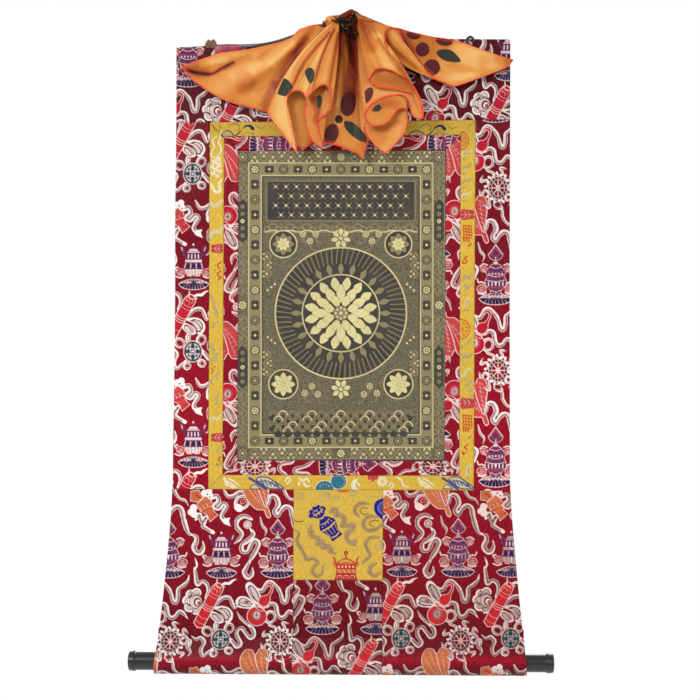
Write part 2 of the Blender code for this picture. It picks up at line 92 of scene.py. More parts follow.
# ------------------------------------------------------------------ elevation drawing
# One unit of the drawing is UNIT on the plane of the cloth, seen from EYE_DISTANCE
# away and EYE_TURN to the right.
UNIT = 0.00143
EYE_DISTANCE = 2.40
EYE_TURN = math.radians(3.6)
CENTRE = (350.0, 350.0)
HANG_AT = (343.6, 14.5)
AIM = ((CENTRE[0] - HANG_AT[0]) * UNIT, (HANG_AT[1] - CENTRE[1]) * UNIT)
EYE = (
    AIM[0] + EYE_DISTANCE * math.sin(EYE_TURN),
    -EYE_DISTANCE * math.cos(EYE_TURN),
    AIM[1],
)


def drawn(across, down, proud):
    """The point shown at (across, down) of the drawing that stands proud of the
    cloth's plane by that many millimetres."""
    a = (across - CENTRE[0]) * UNIT / EYE_DISTANCE
    b = (CENTRE[1] - down) * UNIT / EYE_DISTANCE
    ray = (
        -math.sin(EYE_TURN) + math.cos(EYE_TURN) * a,
        math.cos(EYE_TURN) + math.sin(EYE_TURN) * a,
        b,
    )
    t = (-proud / 1000 - EYE[1]) / ray[1]
    return (EYE[0] + ray[0] * t, -proud / 1000, EYE[2] + ray[2] * t)


def seen_at(x, y, z):
    """Where the drawing shows the points x, y, z."""
    ax, ay, az = x - EYE[0], y - EYE[1], z - EYE[2]
    depth = -math.sin(EYE_TURN) * ax + math.cos(EYE_TURN) * ay
    across = math.cos(EYE_TURN) * ax + math.sin(EYE_TURN) * ay
    k = EYE_DISTANCE / UNIT
    return CENTRE[0] + k * across / depth, CENTRE[1] - k * az / depth


# ------------------------------------------------------------------ camera and cords first
camera = bpy.data.cameras.new("camera")
camera.sensor_width = 36.0
camera.lens = 36.0 * (EYE_DISTANCE / UNIT) / 700
camera.clip_end = 30
camera_object = bpy.data.objects.new("camera", camera)
camera_object.location = EYE
camera_object.rotation_euler = (math.pi / 2, 0, EYE_TURN)
bpy.context.collection.objects.link(camera_object)
bpy.context.scene.camera = camera_object
bpy.context.scene.view_settings.view_transform = "Standard"


def through(points, at):
    """A smooth curve through a row of points, read at the given steps."""
    n = len(points)
    i = np.clip(np.floor(at).astype(int), 0, n - 2)
    f = (at - i)[:, None, None]
    p0, p1 = points[np.maximum(i - 1, 0)], points[i]
    p2, p3 = points[i + 1], points[np.minimum(i + 2, n - 1)]
    # tangents limited by the shorter neighbour, so that no turn overshoots
    a, b, c = p1 - p0, p2 - p1, p3 - p2

    def size(v):
        return np.linalg.norm(v, axis=-1, keepdims=True) + 1e-6

    m1 = (a / size(a) + b / size(b)) * 0.5 * np.minimum(size(a), size(b))
    m2 = (b / size(b) + c / size(c)) * 0.5 * np.minimum(size(b), size(c))
    return (
        p1 * (2 * f**3 - 3 * f**2 + 1)
        + m1 * (f**3 - 2 * f**2 + f)
        + p2 * (-2 * f**3 + 3 * f**2)
        + m2 * (f**3 - f**2)
    )


def smooth_path(points, count):
    """Points spaced evenly along a smooth curve through the given ones."""
    pts = np.array(points, float)
    fine = through(pts[:, None, :], np.linspace(0, len(pts) - 1, 600))[:, 0]
    run = np.concatenate([[0], np.cumsum(np.linalg.norm(np.diff(fine, axis=0), axis=1))])
    at = np.linspace(0, run[-1], count)
    return np.stack([np.interp(at, run, fine[:, k]) for k in range(3)], axis=1)


# across, down, proud of the cloth's plane, from the left end to the right end
CORD_ROUTE = [
    (219.5, 46.9, 3.6),
    (230, 46.7, 3.6),
    (242, 46.2, 3.7),
    (256, 45.3, 3.8),
    (268, 43.6, 3.6),
    (281, 40.4, 3.2),
    (296, 35.2, 2.6),
    (310, 30.6, 2.0),
    (324, 25.0, 1.4),
    (335, 18.6, 1.0),
    (341, 16.2, 0.8),
    (346, 16.2, 0.8),
    (353, 19.0, 0.8),
    (372, 28.0, -0.6),
    (392, 34.8, -2.6),
    (410, 39.2, -3.4),
    (428, 41.6, -3.5),
    (448, 42.2, -3.5),
    (463.5, 42.4, -3.5),
]


def tube(path, radius, sides, name):
    """A closed tube along a path of points. radius may vary along it."""
    path = np.asarray(path, float)
    n = len(path)
    radius = np.broadcast_to(np.asarray(radius, float), (n,))
    t = np.gradient(path, axis=0)
    t /= np.linalg.norm(t, axis=1, keepdims=True)
    up = np.array([0.0, -1.0, 0.15])
    frames = []
    for k in range(n):
        up = up - t[k] * np.dot(up, t[k])
        up /= np.linalg.norm(up)
        frames.append((up.copy(), np.cross(t[k], up)))
    verts, faces = [], []
    for k in range(n):
        for s in range(sides):
            a = 2 * math.pi * s / sides
            verts.append(path[k] + radius[k] * (frames[k][0] * math.cos(a) + frames[k][1] * math.sin(a)))
    for k in range(n - 1):
        for s in range(sides):
            m = (s + 1) % sides
            faces.append((k * sides + s, k * sides + m, (k + 1) * sides + m, (k + 1) * sides + s))
    faces.append(tuple(reversed(range(sides))))
    faces.append(tuple(range((n - 1) * sides, n * sides)))
    return add_mesh(name, verts, faces)


def add_mesh(name, verts, faces, fields=None, sharp=50):
    me = bpy.data.meshes.new(name)
    verts = np.asarray(verts, np.float32)
    if isinstance(faces, tuple) and isinstance(faces[0], np.ndarray):
        loops, sizes = faces
    else:
        sizes = np.array([len(f) for f in faces], np.int32)
        loops = np.array([v for f in faces for v in f], np.int32)
    me.vertices.add(len(verts))
    me.vertices.foreach_set("co", verts.ravel())
    me.loops.add(len(loops))
    me.loops.foreach_set("vertex_index", loops.astype(np.int32))
    me.polygons.add(len(sizes))
    me.polygons.foreach_set("loop_start", np.concatenate([[0], np.cumsum(sizes)[:-1]]).astype(np.int32))
    me.update(calc_edges=True)
    me.validate()
    for key, values in (fields or {}).items():
        layer = me.attributes.new(key, "FLOAT", "POINT")
        layer.data.foreach_set("value", np.asarray(values, np.float32).ravel())
    me.shade_smooth()
    me.set_sharp_from_angle(angle=math.radians(sharp))
    ob = bpy.data.objects.new(name, me)
    bpy.context.collection.objects.link(ob)
    return ob


cord_path = smooth_path([drawn(*p) for p in CORD_ROUTE], 260)


def laid_cord():
    """The hanging cord: three strands laid together, as a rope's surface."""
    n = len(cord_path)
    run = np.concatenate([[0], np.cumsum(np.linalg.norm(np.diff(cord_path, axis=0), axis=1))])
    t = np.gradient(cord_path, axis=0)
    t /= np.linalg.norm(t, axis=1, keepdims=True)
    up = np.array([0.0, -1.0, 0.15])
    sides = 30
    verts = np.zeros((n, sides, 3))
    for k in range(n):
        up = up - t[k] * np.dot(up, t[k])
        up /= np.linalg.norm(up)
        across = np.cross(t[k], up)
        a = 2 * math.pi * np.arange(sides) / sides
        turn = run[k] / 0.0105 * 2 * math.pi
        r = CORD_D / 2 * (0.93 + 0.075 * np.abs(np.cos(1.5 * (a + turn))) ** 0.7)
        verts[k] = cord_path[k] + r[:, None] * (up * np.cos(a)[:, None] + across * np.sin(a)[:, None])
    i, s = np.meshgrid(np.arange(n - 1), np.arange(sides), indexing="ij")
    m = (s + 1) % sides
    quads = np.stack([i * sides + s, i * sides + m, (i + 1) * sides + m, (i + 1) * sides + s], axis=-1).reshape(-1)
    loops = np.concatenate([quads, np.arange(sides)[::-1], np.arange((n - 1) * sides, n * sides)])
    sizes = np.concatenate([np.full((n - 1) * sides, 4), [sides, sides]])
    return add_mesh("hanging_cord", verts.reshape(-1, 3), (loops, sizes), sharp=70)


hanging_cord = laid_cord()
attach(hanging_cord, "root")
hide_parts("hang_cord")


# ------------------------------------------------------------------ the woven chart
# The brocade is one chart that repeats. Its unit is the drawing's unit. Each thread
# colour has a field of distances to the edge of what is woven in it, below zero
# inside. The cloth's points read these fields.
REPEAT = (109.5, 178.0)
FINENESS = 3.0  # cells of the chart per unit
THREADS = ["ribbon", "line", "pale", "coral", "peach", "rose", "purple", "navy", "teal", "grey"]


def smooth_line(points, steps=6, closed=False):
    """A smooth line through the given points. Extra columns, such as a width, are
    carried along."""
    p = np.array(points, float)
    if closed:
        p = np.concatenate([p[-1:], p, p[:2]])
    else:
        p = np.concatenate([2 * p[:1] - p[1:2], p, 2 * p[-1:] - p[-2:-1]])
    out = []
    for k in range(1, len(p) - 2):
        a, b, c, d = p[k - 1], p[k], p[k + 1], p[k + 2]
        for s in range(steps):
            t = s / steps
            out.append(
                0.5
                * (
                    2 * b
                    + (c - a) * t
                    + (2 * a - 5 * b + 4 * c - d) * t * t
                    + (3 * b - a - 3 * c + d) * t**3
                )
            )
    if not closed:
        out.append(p[-2])
    return np.array(out)


def line_field(x, y, pts, half):
    """Distance to the edge of a line of points whose half width varies along it."""
    best = np.full(x.shape, 1e3, np.float32)
    half = np.broadcast_to(np.asarray(half, float), (len(pts),))
    for k in range(len(pts) - 1):
        ax, ay = pts[k][:2]
        dx, dy = pts[k + 1][0] - ax, pts[k + 1][1] - ay
        size = dx * dx + dy * dy + 1e-12
        t = np.clip(((x - ax) * dx + (y - ay) * dy) / size, 0, 1)
        d = np.hypot(x - ax - t * dx, y - ay - t * dy) - (half[k] + (half[k + 1] - half[k]) * t)
        np.minimum(best, d, out=best)
    return best


def shape_field(x, y, pts):
    """Signed distance to a closed shape."""
    pts = np.asarray(pts, float)
    best = np.full(x.shape, 1e6, np.float32)
    inside = np.zeros(x.shape, bool)
    n = len(pts)
    for k in range(n):
        ax, ay = pts[k]
        bx, by = pts[(k + 1) % n]
        dx, dy = bx - ax, by - ay
        t = np.clip(((x - ax) * dx + (y - ay) * dy) / (dx * dx + dy * dy + 1e-12), 0, 1)
        best = np.minimum(best, (x - ax - t * dx) ** 2 + (y - ay - t * dy) ** 2)
        if ay != by:
            cross = ((ay > y) != (by > y)) & (x < ax + dx * (y - ay) / dy)
            inside ^= cross
    return np.where(inside, -1, 1) * np.sqrt(best)


def oval_field(x, y, rx, ry):
    r = np.sqrt((x / rx) ** 2 + (y / ry) ** 2) + 1e-6
    g = np.sqrt((x / rx**2) ** 2 + (y / ry**2) ** 2) + 1e-6
    return np.where(r < 0.3, -min(rx, ry) * (1 - r), r * (r - 1) / g).astype(np.float32)


class Chart:
    """Thread fields over a stretch of cloth. A repeating chart wraps round."""

    def __init__(self, size, fineness, threads, repeats=True, origin=(0, 0)):
        self.size, self.repeats, self.origin = size, repeats, origin
        self.n = (int(round(size[0] * fineness)), int(round(size[1] * fineness)))
        self.step = (size[0] / self.n[0], size[1] / self.n[1])
        u = origin[0] + (np.arange(self.n[0]) + 0.5) * self.step[0]
        v = origin[1] + (np.arange(self.n[1]) + 0.5) * self.step[1]
        self.u, self.v = u, v
        self.fields = {t: np.full(self.n, 9.0, np.float32) for t in threads}

    def window(self, centre, reach):
        """Cells within reach of a point, with their places beside it."""
        k = [int(math.ceil(r / s)) + 1 for r, s in zip(reach, self.step)]
        i0 = int(round((centre[0] - self.origin[0]) / self.step[0])) - k[0]
        j0 = int(round((centre[1] - self.origin[1]) / self.step[1])) - k[1]
        i, j = i0 + np.arange(2 * k[0] + 1), j0 + np.arange(2 * k[1] + 1)
        if self.repeats:
            i = i[: self.n[0]]
            j = j[: self.n[1]]
            x = self.origin[0] + (i + 0.5) * self.step[0]
            y = self.origin[1] + (j + 0.5) * self.step[1]
            i, j = i % self.n[0], j % self.n[1]
        else:
            i = i[(i >= 0) & (i < self.n[0])]
            j = j[(j >= 0) & (j < self.n[1])]
            x = self.origin[0] + (i + 0.5) * self.step[0]
            y = self.origin[1] + (j + 0.5) * self.step[1]
        if len(i) == 0 or len(j) == 0:
            return None
        xx, yy = np.meshgrid(x, y, indexing="ij")
        return np.ix_(i, j), xx.astype(np.float32), yy.astype(np.float32)

    def weave(self, thread, cells, d):
        """Weaves a shape in one thread over what is there. thread None leaves the
        ground bare."""
        for name, field in self.fields.items():
            now = field[cells]
            field[cells] = np.minimum(now, d) if name == thread else np.maximum(now, -d)

    def line(self, thread, pts, half, smooth=True, ends=None):
        pts = np.array(pts, float)
        if smooth:
            pts = smooth_line(pts)
        n = len(pts)
        if ends is not None:  # widths at the two ends, as shares
            s = np.linspace(0, 1, n)
            taper = np.minimum(1, np.minimum(ends[0] + (1 - ends[0]) * s / 0.18, ends[1] + (1 - ends[1]) * (1 - s) / 0.18))
            half = half * taper
        low, high = pts[:, :2].min(0), pts[:, :2].max(0)
        centre, reach = (low + high) / 2, (high - low) / 2 + np.max(half) + 2
        found = self.window(centre, reach)
        if found:
            cells, x, y = found
            self.weave(thread, cells, line_field(x, y, pts, half))
        return pts

    def shape(self, thread, pts, edge=None, edge_width=0.7, smooth=True):
        pts = np.array(pts, float)
        if smooth:
            pts = smooth_line(pts, closed=True)
        low, high = pts.min(0), pts.max(0)
        centre, reach = (low + high) / 2, (high - low) / 2 + edge_width + 2
        found = self.window(centre, reach)
        if found:
            cells, x, y = found
            d = shape_field(x, y, pts)
            if edge:
                self.weave(edge, cells, d)
                d = d + edge_width
            self.weave(thread, cells, d)
        return pts

    def oval(self, thread, centre, radii, edge=None, edge_width=0.7, turn=0.0):
        found = self.window(centre, (max(radii) + 2,) * 2)
        if found:
            cells, x, y = found
            c, s = math.cos(turn), math.sin(turn)
            a, b = x - centre[0], y - centre[1]
            d = oval_field(a * c + b * s, -a * s + b * c, *radii)
            if edge:
                self.weave(edge, cells, d)
                d = d + edge_width
            self.weave(thread, cells, d)

    def read(self, u, v):
        """All thread fields at the given places."""
        a = (u - self.origin[0]) / self.step[0] - 0.5
        b = (v - self.origin[1]) / self.step[1] - 0.5
        if self.repeats:
            a, b = a % self.n[0], b % self.n[1]
        else:
            a, b = np.clip(a, 0, self.n[0] - 1.001), np.clip(b, 0, self.n[1] - 1.001)
        i, j = np.floor(a).astype(int), np.floor(b).astype(int)
        fa, fb = (a - i).astype(np.float32), (b - j).astype(np.float32)
        if self.repeats:
            i, j = i % self.n[0], j % self.n[1]
            i1, j1 = (i + 1) % self.n[0], (j + 1) % self.n[1]
        else:
            i1, j1 = np.minimum(i + 1, self.n[0] - 1), np.minimum(j + 1, self.n[1] - 1)
        out = {}
        for name, f in self.fields.items():
            out[name] = (
                f[i, j] * (1 - fa) * (1 - fb)
                + f[i1, j] * fa * (1 - fb)
                + f[i, j1] * (1 - fa) * fb
                + f[i1, j1] * fa * fb
            )
        return out


def ribbon(chart, pts, half=2.7, ends=(0.15, 0.15), fold=0.30):
    """A silver ribbon with a white rim, greyer inside, and a dark fold line to one
    side of its middle."""
    path = smooth_line(pts)
    n = len(path)
    run = np.concatenate([[0], np.cumsum(np.linalg.norm(np.diff(path, axis=0), axis=1))])
    wide = half * 0.80 * (0.86 + 0.18 * np.sin(run / 3.1) * np.cos(run / 5.3) + 0.12 * np.abs(np.sin(run / 2.3)))
    wide = wide * np.minimum(1, np.minimum(ends[0] + (1 - ends[0]) * run / 8, ends[1] + (1 - ends[1]) * (run[-1] - run) / 8))
    chart.line("ribbon", path, wide, smooth=False)
    if fold is not None:
        t = np.gradient(path, axis=0)
        t /= np.maximum(np.linalg.norm(t, axis=1, keepdims=True), 1e-9)
        side = np.stack([-t[:, 1], t[:, 0]], axis=1)
        keep = slice(int(n * 0.06), max(int(n * 0.95), int(n * 0.06) + 3))
        way = 1 if fold > 0 else -1
        body = path + side * (way * wide * 0.18)[:, None]
        chart.line("grey", body[keep], np.maximum(wide[keep] * 0.74 - 0.25, 0.2), smooth=False)
        inner = path + side * (wide * fold * 1.2)[:, None]
        chart.line("line", inner[keep], np.minimum(0.60, wide[keep] * 0.30), smooth=False)
    return path


def curl(chart, x, y, way, size=1.0, turn=0.0):
    """A small cloud scroll: a pale spiral with a rosy heart."""
    c, s = math.cos(turn), math.sin(turn)
    chart.oval("pale", (x, y), (4.7 * size, 3.9 * size), turn=turn)
    chart.oval("rose", (x, y), (4.1 * size, 3.3 * size), turn=turn)
    pts = []
    for k in range(14):
        a = 0.4 + k * 0.68
        r = (3.0 - 0.19 * k) * size
        u, v = way * r * math.cos(a), r * 0.86 * math.sin(a)
        pts.append((x + u * c - v * s, y + u * s + v * c))
    chart.line("pale", pts, 0.42)


def bow_leaf(chart, pts, vein, edge="pale"):
    """A leaf-shaped loop of a bow: a silver band with a dark line inside it, then a
    grey lining with one fold."""
    chart.shape("ribbon", pts, edge=edge, edge_width=0.4)
    mx, my = sum(a for a, _ in pts) / len(pts), sum(b for _, b in pts) / len(pts)
    for thread, part in (("line", 0.72), ("grey", 0.60)):
        chart.shape(thread, [(mx + (a - mx) * part, my + (b - my) * part) for a, b in pts])
    chart.line("ribbon", [(a + 0.4, b + 0.8) for a, b in vein], 0.75)
    chart.line("line", vein, 0.40, ends=(0.6, 0.4))


def loop(chart, centre, radii, turn=0.0, band=2.2, core=None):
    """A bow's loop: a silver band round an opening, with a dark fold line in it."""
    rx, ry = radii
    band = band * 0.86
    chart.oval("ribbon", centre, radii, edge="pale", edge_width=0.4, turn=turn)
    c, s = math.cos(turn), math.sin(turn)
    k = 0.22 * band
    inner = (centre[0] + c * k, centre[1] + s * k)
    if min(rx, ry) - band * 0.62 > 0.8:
        chart.oval("line", inner, (rx - band * 0.62, ry - band * 0.62), turn=turn)
        chart.oval("ribbon", inner, (rx - band * 0.62 - 0.55, ry - band * 0.62 - 0.55), turn=turn)
    if min(rx, ry) - band * 1.15 > 0.5:
        chart.oval(core, inner, (rx - band * 1.15, ry - band * 1.15), turn=turn)


def lotus(chart, cx, cy, half_width, rise, drop, petals):
    """A lotus seat: tall navy petals between pale lines, in a boat shape, with a row
    of small grey petals above it."""
    w = half_width
    chart.shape("pale", [(cx - w * 0.92, cy - 1.6), (cx - w * 0.52, cy - rise * 0.84), (cx, cy - rise * 1.08), (cx + w * 0.52, cy - rise * 0.84), (cx + w * 0.92, cy - 1.6), (cx, cy + 1.0)])
    chart.shape("purple", [(cx - w * 0.80, cy - 1.8), (cx - w * 0.46, cy - rise * 0.76), (cx, cy - rise * 0.98), (cx + w * 0.46, cy - rise * 0.76), (cx + w * 0.80, cy - 1.8), (cx, cy + 0.6)])
    for k in range(7):
        x = cx + (k - 3) * w * 0.19
        chart.oval("grey", (x, cy - rise * (0.74 - 0.055 * abs(k - 3))), (w * 0.060, rise * 0.11))
    chart.shape(
        "navy",
        [(cx - w, cy - 1.7), (cx - w * 0.5, cy - rise * 0.46), (cx, cy - rise * 0.60), (cx + w * 0.5, cy - rise * 0.46), (cx + w, cy - 1.7),
         (cx + w * 0.78, cy + drop * 0.52), (cx + w * 0.32, cy + drop * 0.98), (cx - w * 0.32, cy + drop * 0.98), (cx - w * 0.78, cy + drop * 0.52)],
        edge="pale", edge_width=0.7,
    )
    for k in range(1, petals):
        t = -1 + 2 * k / petals
        x0, y0 = cx + t * w * 0.50, cy - rise * (0.58 - 0.20 * abs(t))
        x1, y1 = cx + t * w * 0.94, cy + drop * (0.98 - 0.55 * t * t)
        chart.line("pale", [(x0, y0), ((x0 + x1) / 2 + t * 0.6, (y0 + y1) / 2), (x1, y1)], 0.38)
        chart.line("rose", [(x0 + t * 0.7, y0 + 1.4), ((x0 + x1) / 2 + t * 1.8, (y0 + y1) / 2)], 0.28)


def draw_repeat():
    """The whole repeat: two columns of emblems, with ribbons between them."""
    c = Chart(REPEAT, FINENESS, THREADS)

    # --- ribbons that run free between the emblems
    ribbon(c, [(46, -74), (49, -77), (53.5, -76), (56, -69), (52.5, -62), (55.5, -57.5), (59.5, -63), (64, -66.5), (68.5, -64), (70.5, -55), (73, -46), (76, -39.5), (80, -38)], 2.9, (0.5, 0.25), 0.28)
    ribbon(c, [(79, -38.5), (83.5, -36), (83.5, -31), (81.3, -26), (84, -20.5), (88.5, -21), (90.8, -26.5), (90, -32)], 3.0, (0.3, 0.1), -0.3)
    ribbon(c, [(58.5, -95), (62, -87), (62.5, -81), (67, -74.5), (72.5, -72.5), (76, -67)], 1.7, (0.1, 0.1), 0.3)
    ribbon(c, [(-27.5, -15.5), (-25.2, -8), (-28, -3)], 1.3, (0.1, 0.5), None)
    ribbon(c, [(-27.6, -5), (-26.4, 2), (-24.8, 10.8), (-19.5, 8.0), (-14.8, 11.5), (-14, 18), (-16.5, 25)], 2.4, (0.5, 0.5), -0.3)
    ribbon(c, [(30, -53.5), (22.5, -57), (15.5, -53.5), (14.8, -46), (19.8, -39.5), (17, -34), (11.5, -29)], 2.7, (0.4, 0.05), 0.3)
    ribbon(c, [(28, -44.5), (31.3, -39), (26, -33), (20, -28.5), (20, -22), (25.5, -21.5), (28.8, -28), (32.5, -32.8), (36.3, -29.5), (33.5, -22), (28.5, -14), (26.5, -8.5)], 2.7, (0.3, 0.4), 0.3)
    ribbon(c, [(27.2, -12), (24.5, -6), (22.3, -1), (25.8, 4.2), (30, 1), (30.5, -6)], 2.8, (0.3, 0.1), -0.32)
    ribbon(c, [(38, -56), (40, -48), (44, -42.5), (42.4, -36.5)], 1.5, (0.3, 0.05), 0.1)
    ribbon(c, [(27, 10), (31.5, 14), (37, 17.8), (41, 16.5), (43.8, 11), (48.5, 8.8), (54, 13), (58, 19.5), (60.5, 28), (64, 29), (65.4, 23), (65.8, 16), (71, 12.2), (75, 8), (76.5, 1.5)], 2.4, (0.6, 0.05), 0.3)
    ribbon(c, [(45, 34), (49, 30.5), (53.4, 32.5), (54.8, 40), (58, 44.5), (62.5, 43.5), (66.5, 38.3), (70.5, 40), (75.5, 46)], 2.5, (0.5, 0.05), 0.3)
    ribbon(c, [(-31, 62.5), (-26, 66.5), (-21.5, 65), (-17.8, 70), (-20.5, 78), (-17.8, 84), (-13.5, 81), (-8.5, 76)], 2.3, (0.05, 0.5), 0.3)
    ribbon(c, [(6.5, 64.5), (11, 70), (15.5, 74.3), (18.6, 70.5), (14.8, 63), (15, 57.5), (19.5, 55), (23.5, 60), (28, 65), (31.8, 61.5), (30, 55.5), (25.5, 51.5)], 2.5, (0.5, 0.5), -0.3)
    ribbon(c, [(26.5, 52.5), (21, 47.5), (17.5, 43.5), (14.6, 38)], 1.7, (0.6, 0.05), 0.1)
    # short flames near the wheel and on to the next column
    ribbon(c, [(70, 60), (74.5, 66), (75.5, 74), (79, 80), (77, 84)], 2.0, (0.3, 0.2), 0.2)

    # --- column one: torch, banner on its seat, scroll case, round jewel
    # torch with its knots
    for at, r in (((-28.6, -65.2), 3.5), ((-31.5, -60.8), 3.1), ((-28.2, -58.8), 3.4)):
        c.oval("ribbon", at, (r, r))
    ribbon(c, [(-26.5, -53.5), (-22.5, -58.5), (-20.5, -52.0), (-16, -55.5), (-19.5, -47.5), (-16.5, -45), (-9.0, -40.5)], 2.6, (0.6, 0.8), 0.3)
    for at, r in (((-17.5, -79.5), 3.6), ((-13, -82), 3.0), ((-12, -77.5), 3.0)):
        c.oval("ribbon", at, (r, r))
    ribbon(c, [(-11, -75), (-5.5, -77), (-3.5, -71.5), (-8, -67), (-4, -64.5), (1, -69.5), (4.6, -67), (1.5, -61.5), (-0.5, -56.5), (3.5, -51)], 2.7, (0.8, 0.9), -0.3)
    c.shape("ribbon", [(0, -54), (8.2, -55.5), (6.5, -52), (8.5, -46.8), (3, -49)], smooth=False)
    c.oval("line", (-14.8, -78.8), (0.8, 0.8))
    c.oval("line", (-12.2, -76.4), (0.7, 0.7))
    c.shape("peach", [(-31.5, -82), (-23.5, -83.5), (-18.6, -75.5), (-24.4, -70.6), (-32, -72)], edge="pale", smooth=False)
    c.line("coral", [(-27, -79), (-22, -75)], 0.9, smooth=False)
    c.shape("peach", [(-25.3, -69.4), (-16.6, -77.3), (-10.2, -72.2), (-9.8, -66.4), (-20.6, -62.2), (-25.4, -65.4)], edge="pale", smooth=False)
    for k in range(4):
        c.oval("line", (-21.6 + k * 2.9, -67.2 - k * 1.9), (0.62, 0.62))
    c.line("coral", [(-21.8, -63.8), (-10.4, -68.6)], 0.8, smooth=False)
    c.shape("peach", [(-23, -62.6), (-10.8, -68.2), (-8.4, -62.5), (-3.8, -58), (-12.2, -50.8), (-14.8, -57.5)], edge="pale", smooth=False)
    c.line("coral", [(-19.5, -61.5), (-10, -64.8)], 0.7, smooth=False)
    for k in range(3):
        c.line("coral", [(-14.4 + k * 2.6, -59.5 - k * 1.1), (-11.6 + k * 2.4, -53.5 - k * 1.9)], 0.55, smooth=False)
        c.line("pale", [(-22.4 + k * 3.4, -66.0 - k * 1.8), (-21.2 + k * 3.4, -63.4 - k * 1.8)], 0.4, smooth=False)
        c.line("line", [(-30.4 + k * 3.0, -80.4), (-30.0 + k * 3.0, -74.4 + k * 0.6)], 0.34, smooth=False)
        c.oval("line", (-12.6 + k * 2.4, -56.4 - k * 0.9), (0.5, 0.5))
    c.line("coral", [(-13.2, -56.6), (-6.2, -60)], 0.45, smooth=False)

    # banner
    a = -0.8
    c.line("purple", [(a, -42), (a, -35)], 0.8, smooth=False)
    c.oval("pale", (a, -40.2), (1.0, 1.2))
    for side in (-1, 1):
        c.line("purple", [(a + side * 11.4, -39), (a + side * 9.6, -35), (a + side * 10.2, -31.5), (a + side * 7.6, -27.5)], 0.9)
        c.line("pale", [(a + side * 11.9, -37.4), (a + side * 10.6, -34)], 0.5, smooth=False)
        curl(c, a + side * 12.6, -12.6, side, 0.95, side * -0.2)
        c.line("pale", [(a + side * 9.8, -8.4), (a + side * 13.6, -7.0), (a + side * 18.2, -8.6)], 0.6)
        c.line("pale", [(a + side * 15.6, -17.6), (a + side * 18.6, -17.0), (a + side * 17.0, -14.4)], 0.6)
    c.shape("grey", [(a - 3.2, -36.4), (a + 3.2, -36.4), (a + 7.6, -31.6), (a - 7.6, -31.6)], edge="purple", edge_width=0.5, smooth=False)
    c.line("line", [(a - 5.6, -33.2), (a + 5.6, -33.2)], 0.4, smooth=False)
    c.shape("purple", [(a - 6.6, -31.4), (a + 6.6, -31.4), (a + 8.2, -25.4), (a - 8.2, -25.4)], smooth=False)
    for k in range(4):
        x = a - 4.8 + k * 3.2
        c.line("pale", [(x, -30.2), (x * 1.08, -26.6)], 0.75, smooth=False)
    c.shape("grey", [(a - 8.4, -25.4), (a + 8.4, -25.4), (a + 8.8, -22.2), (a - 8.8, -22.2)], edge="purple", edge_width=0.4, smooth=False)
    c.shape("pale", [(a - 1.6, -25.0), (a + 1.6, -25.0), (a + 1.6, -22.4), (a - 1.6, -22.4)], smooth=False)
    c.shape("purple", [(a - 8.2, -22.2), (a + 8.2, -22.2), (a + 11.2, -15.8), (a - 11.2, -15.8)], smooth=False)
    for k in range(3):
        x = a - 6 + k * 6
        c.line("navy", [(x - 1.6, -16.8), (x, -20.6), (x + 1.6, -16.8)], 0.7, smooth=False)
    for k in range(4):
        x = a - 7.8 + k * 5.2
        c.line("grey", [(x, -21.2), (x * 1.15, -16.6)], 0.4, smooth=False)
    c.shape("grey", [(a - 8.4, -15.6), (a + 8.4, -15.6), (a + 6.4, -8.6), (a - 6.4, -8.6)], edge="pale", edge_width=0.5, smooth=False)
    for k in range(4):
        x = a - 5.1 + k * 3.4
        c.line("purple" if k % 2 else "line", [(x, -15.0), (x, -9.4)], 0.4, smooth=False)
    c.line("pale", [(a, -14.6), (a, -9.4)], 0.9, smooth=False)
    c.line("purple", [(a, -8.4), (a, -4.5)], 1.0, smooth=False)
    lotus(c, -0.6, 0.4, 15.2, 6.0, 4.6, 9)
    c.shape("teal", [(-7, -3.0), (-0.6, -5.4), (5.8, -3.0), (-0.6, -1.6)], edge="grey", edge_width=0.4, smooth=False)
    c.oval("navy", (-0.6, -1.6), (1.8, 1.6), edge="purple", edge_width=0.5)

    # scroll case with its bow
    for at, r in (((-25.5, 19.6), 4.6), ((-31.6, 21.6), 4.8), ((-35.0, 27.6), 4.8), ((-33.0, 34.0), 4.8), ((-26.8, 37.0), 4.4), ((-21.6, 34.4), 4.0)):
        c.oval("ribbon", at, (r, r))
    for at in ((-25.7, 19.9), (-31.2, 22.0), (-34.2, 27.6), (-32.4, 33.6), (-26.8, 36.3), (-22.2, 34.0)):
        c.oval("line", at, (3.3, 3.3))
        c.oval("grey", at, (2.8, 2.8))
    c.oval("ribbon", (-27.2, 28.0), (7.6, 8.0), edge="line", edge_width=0.4)
    c.line("line", [(-31.8, 17.6), (-30.6, 21.6), (-33.2, 24.6)], 0.4)
    c.line("line", [(-38.8, 30.8), (-34.4, 30.6), (-31.6, 32.6)], 0.4)
    c.line("line", [(-29.6, 40.4), (-28.4, 36.4), (-25.4, 34.6)], 0.4)
    c.oval("grey", (-26.4, 28.2), (6.4, 7.0), edge="line", edge_width=0.5)
    c.oval("pale", (-25.2, 28.6), (5.0, 5.6))
    c.oval(None, (-24.6, 29.0), (4.0, 4.6))
    c.oval("ribbon", (-24.0, 29.4), (3.2, 3.6), edge="line", edge_width=0.4)
    c.oval("rose", (-23.2, 30.0), (1.7, 2.1))
    c.line("line", [(-29.8, 24.0), (-26.6, 22.4), (-22.4, 23.4)], 0.42)
    bow_leaf(c, [(-8.0, 35.0), (-1.0, 32.6), (6.6, 34.6), (10.8, 40.6), (9.4, 47.4), (4.0, 50.0), (0.6, 44.0), (-3.0, 39.0)], [(-4.6, 35.8), (2.0, 37.8), (6.4, 43.6), (5.6, 48.0)])
    c.line("line", [(-1.0, 34.6), (5.0, 36.6), (8.4, 41.6)], 0.36)
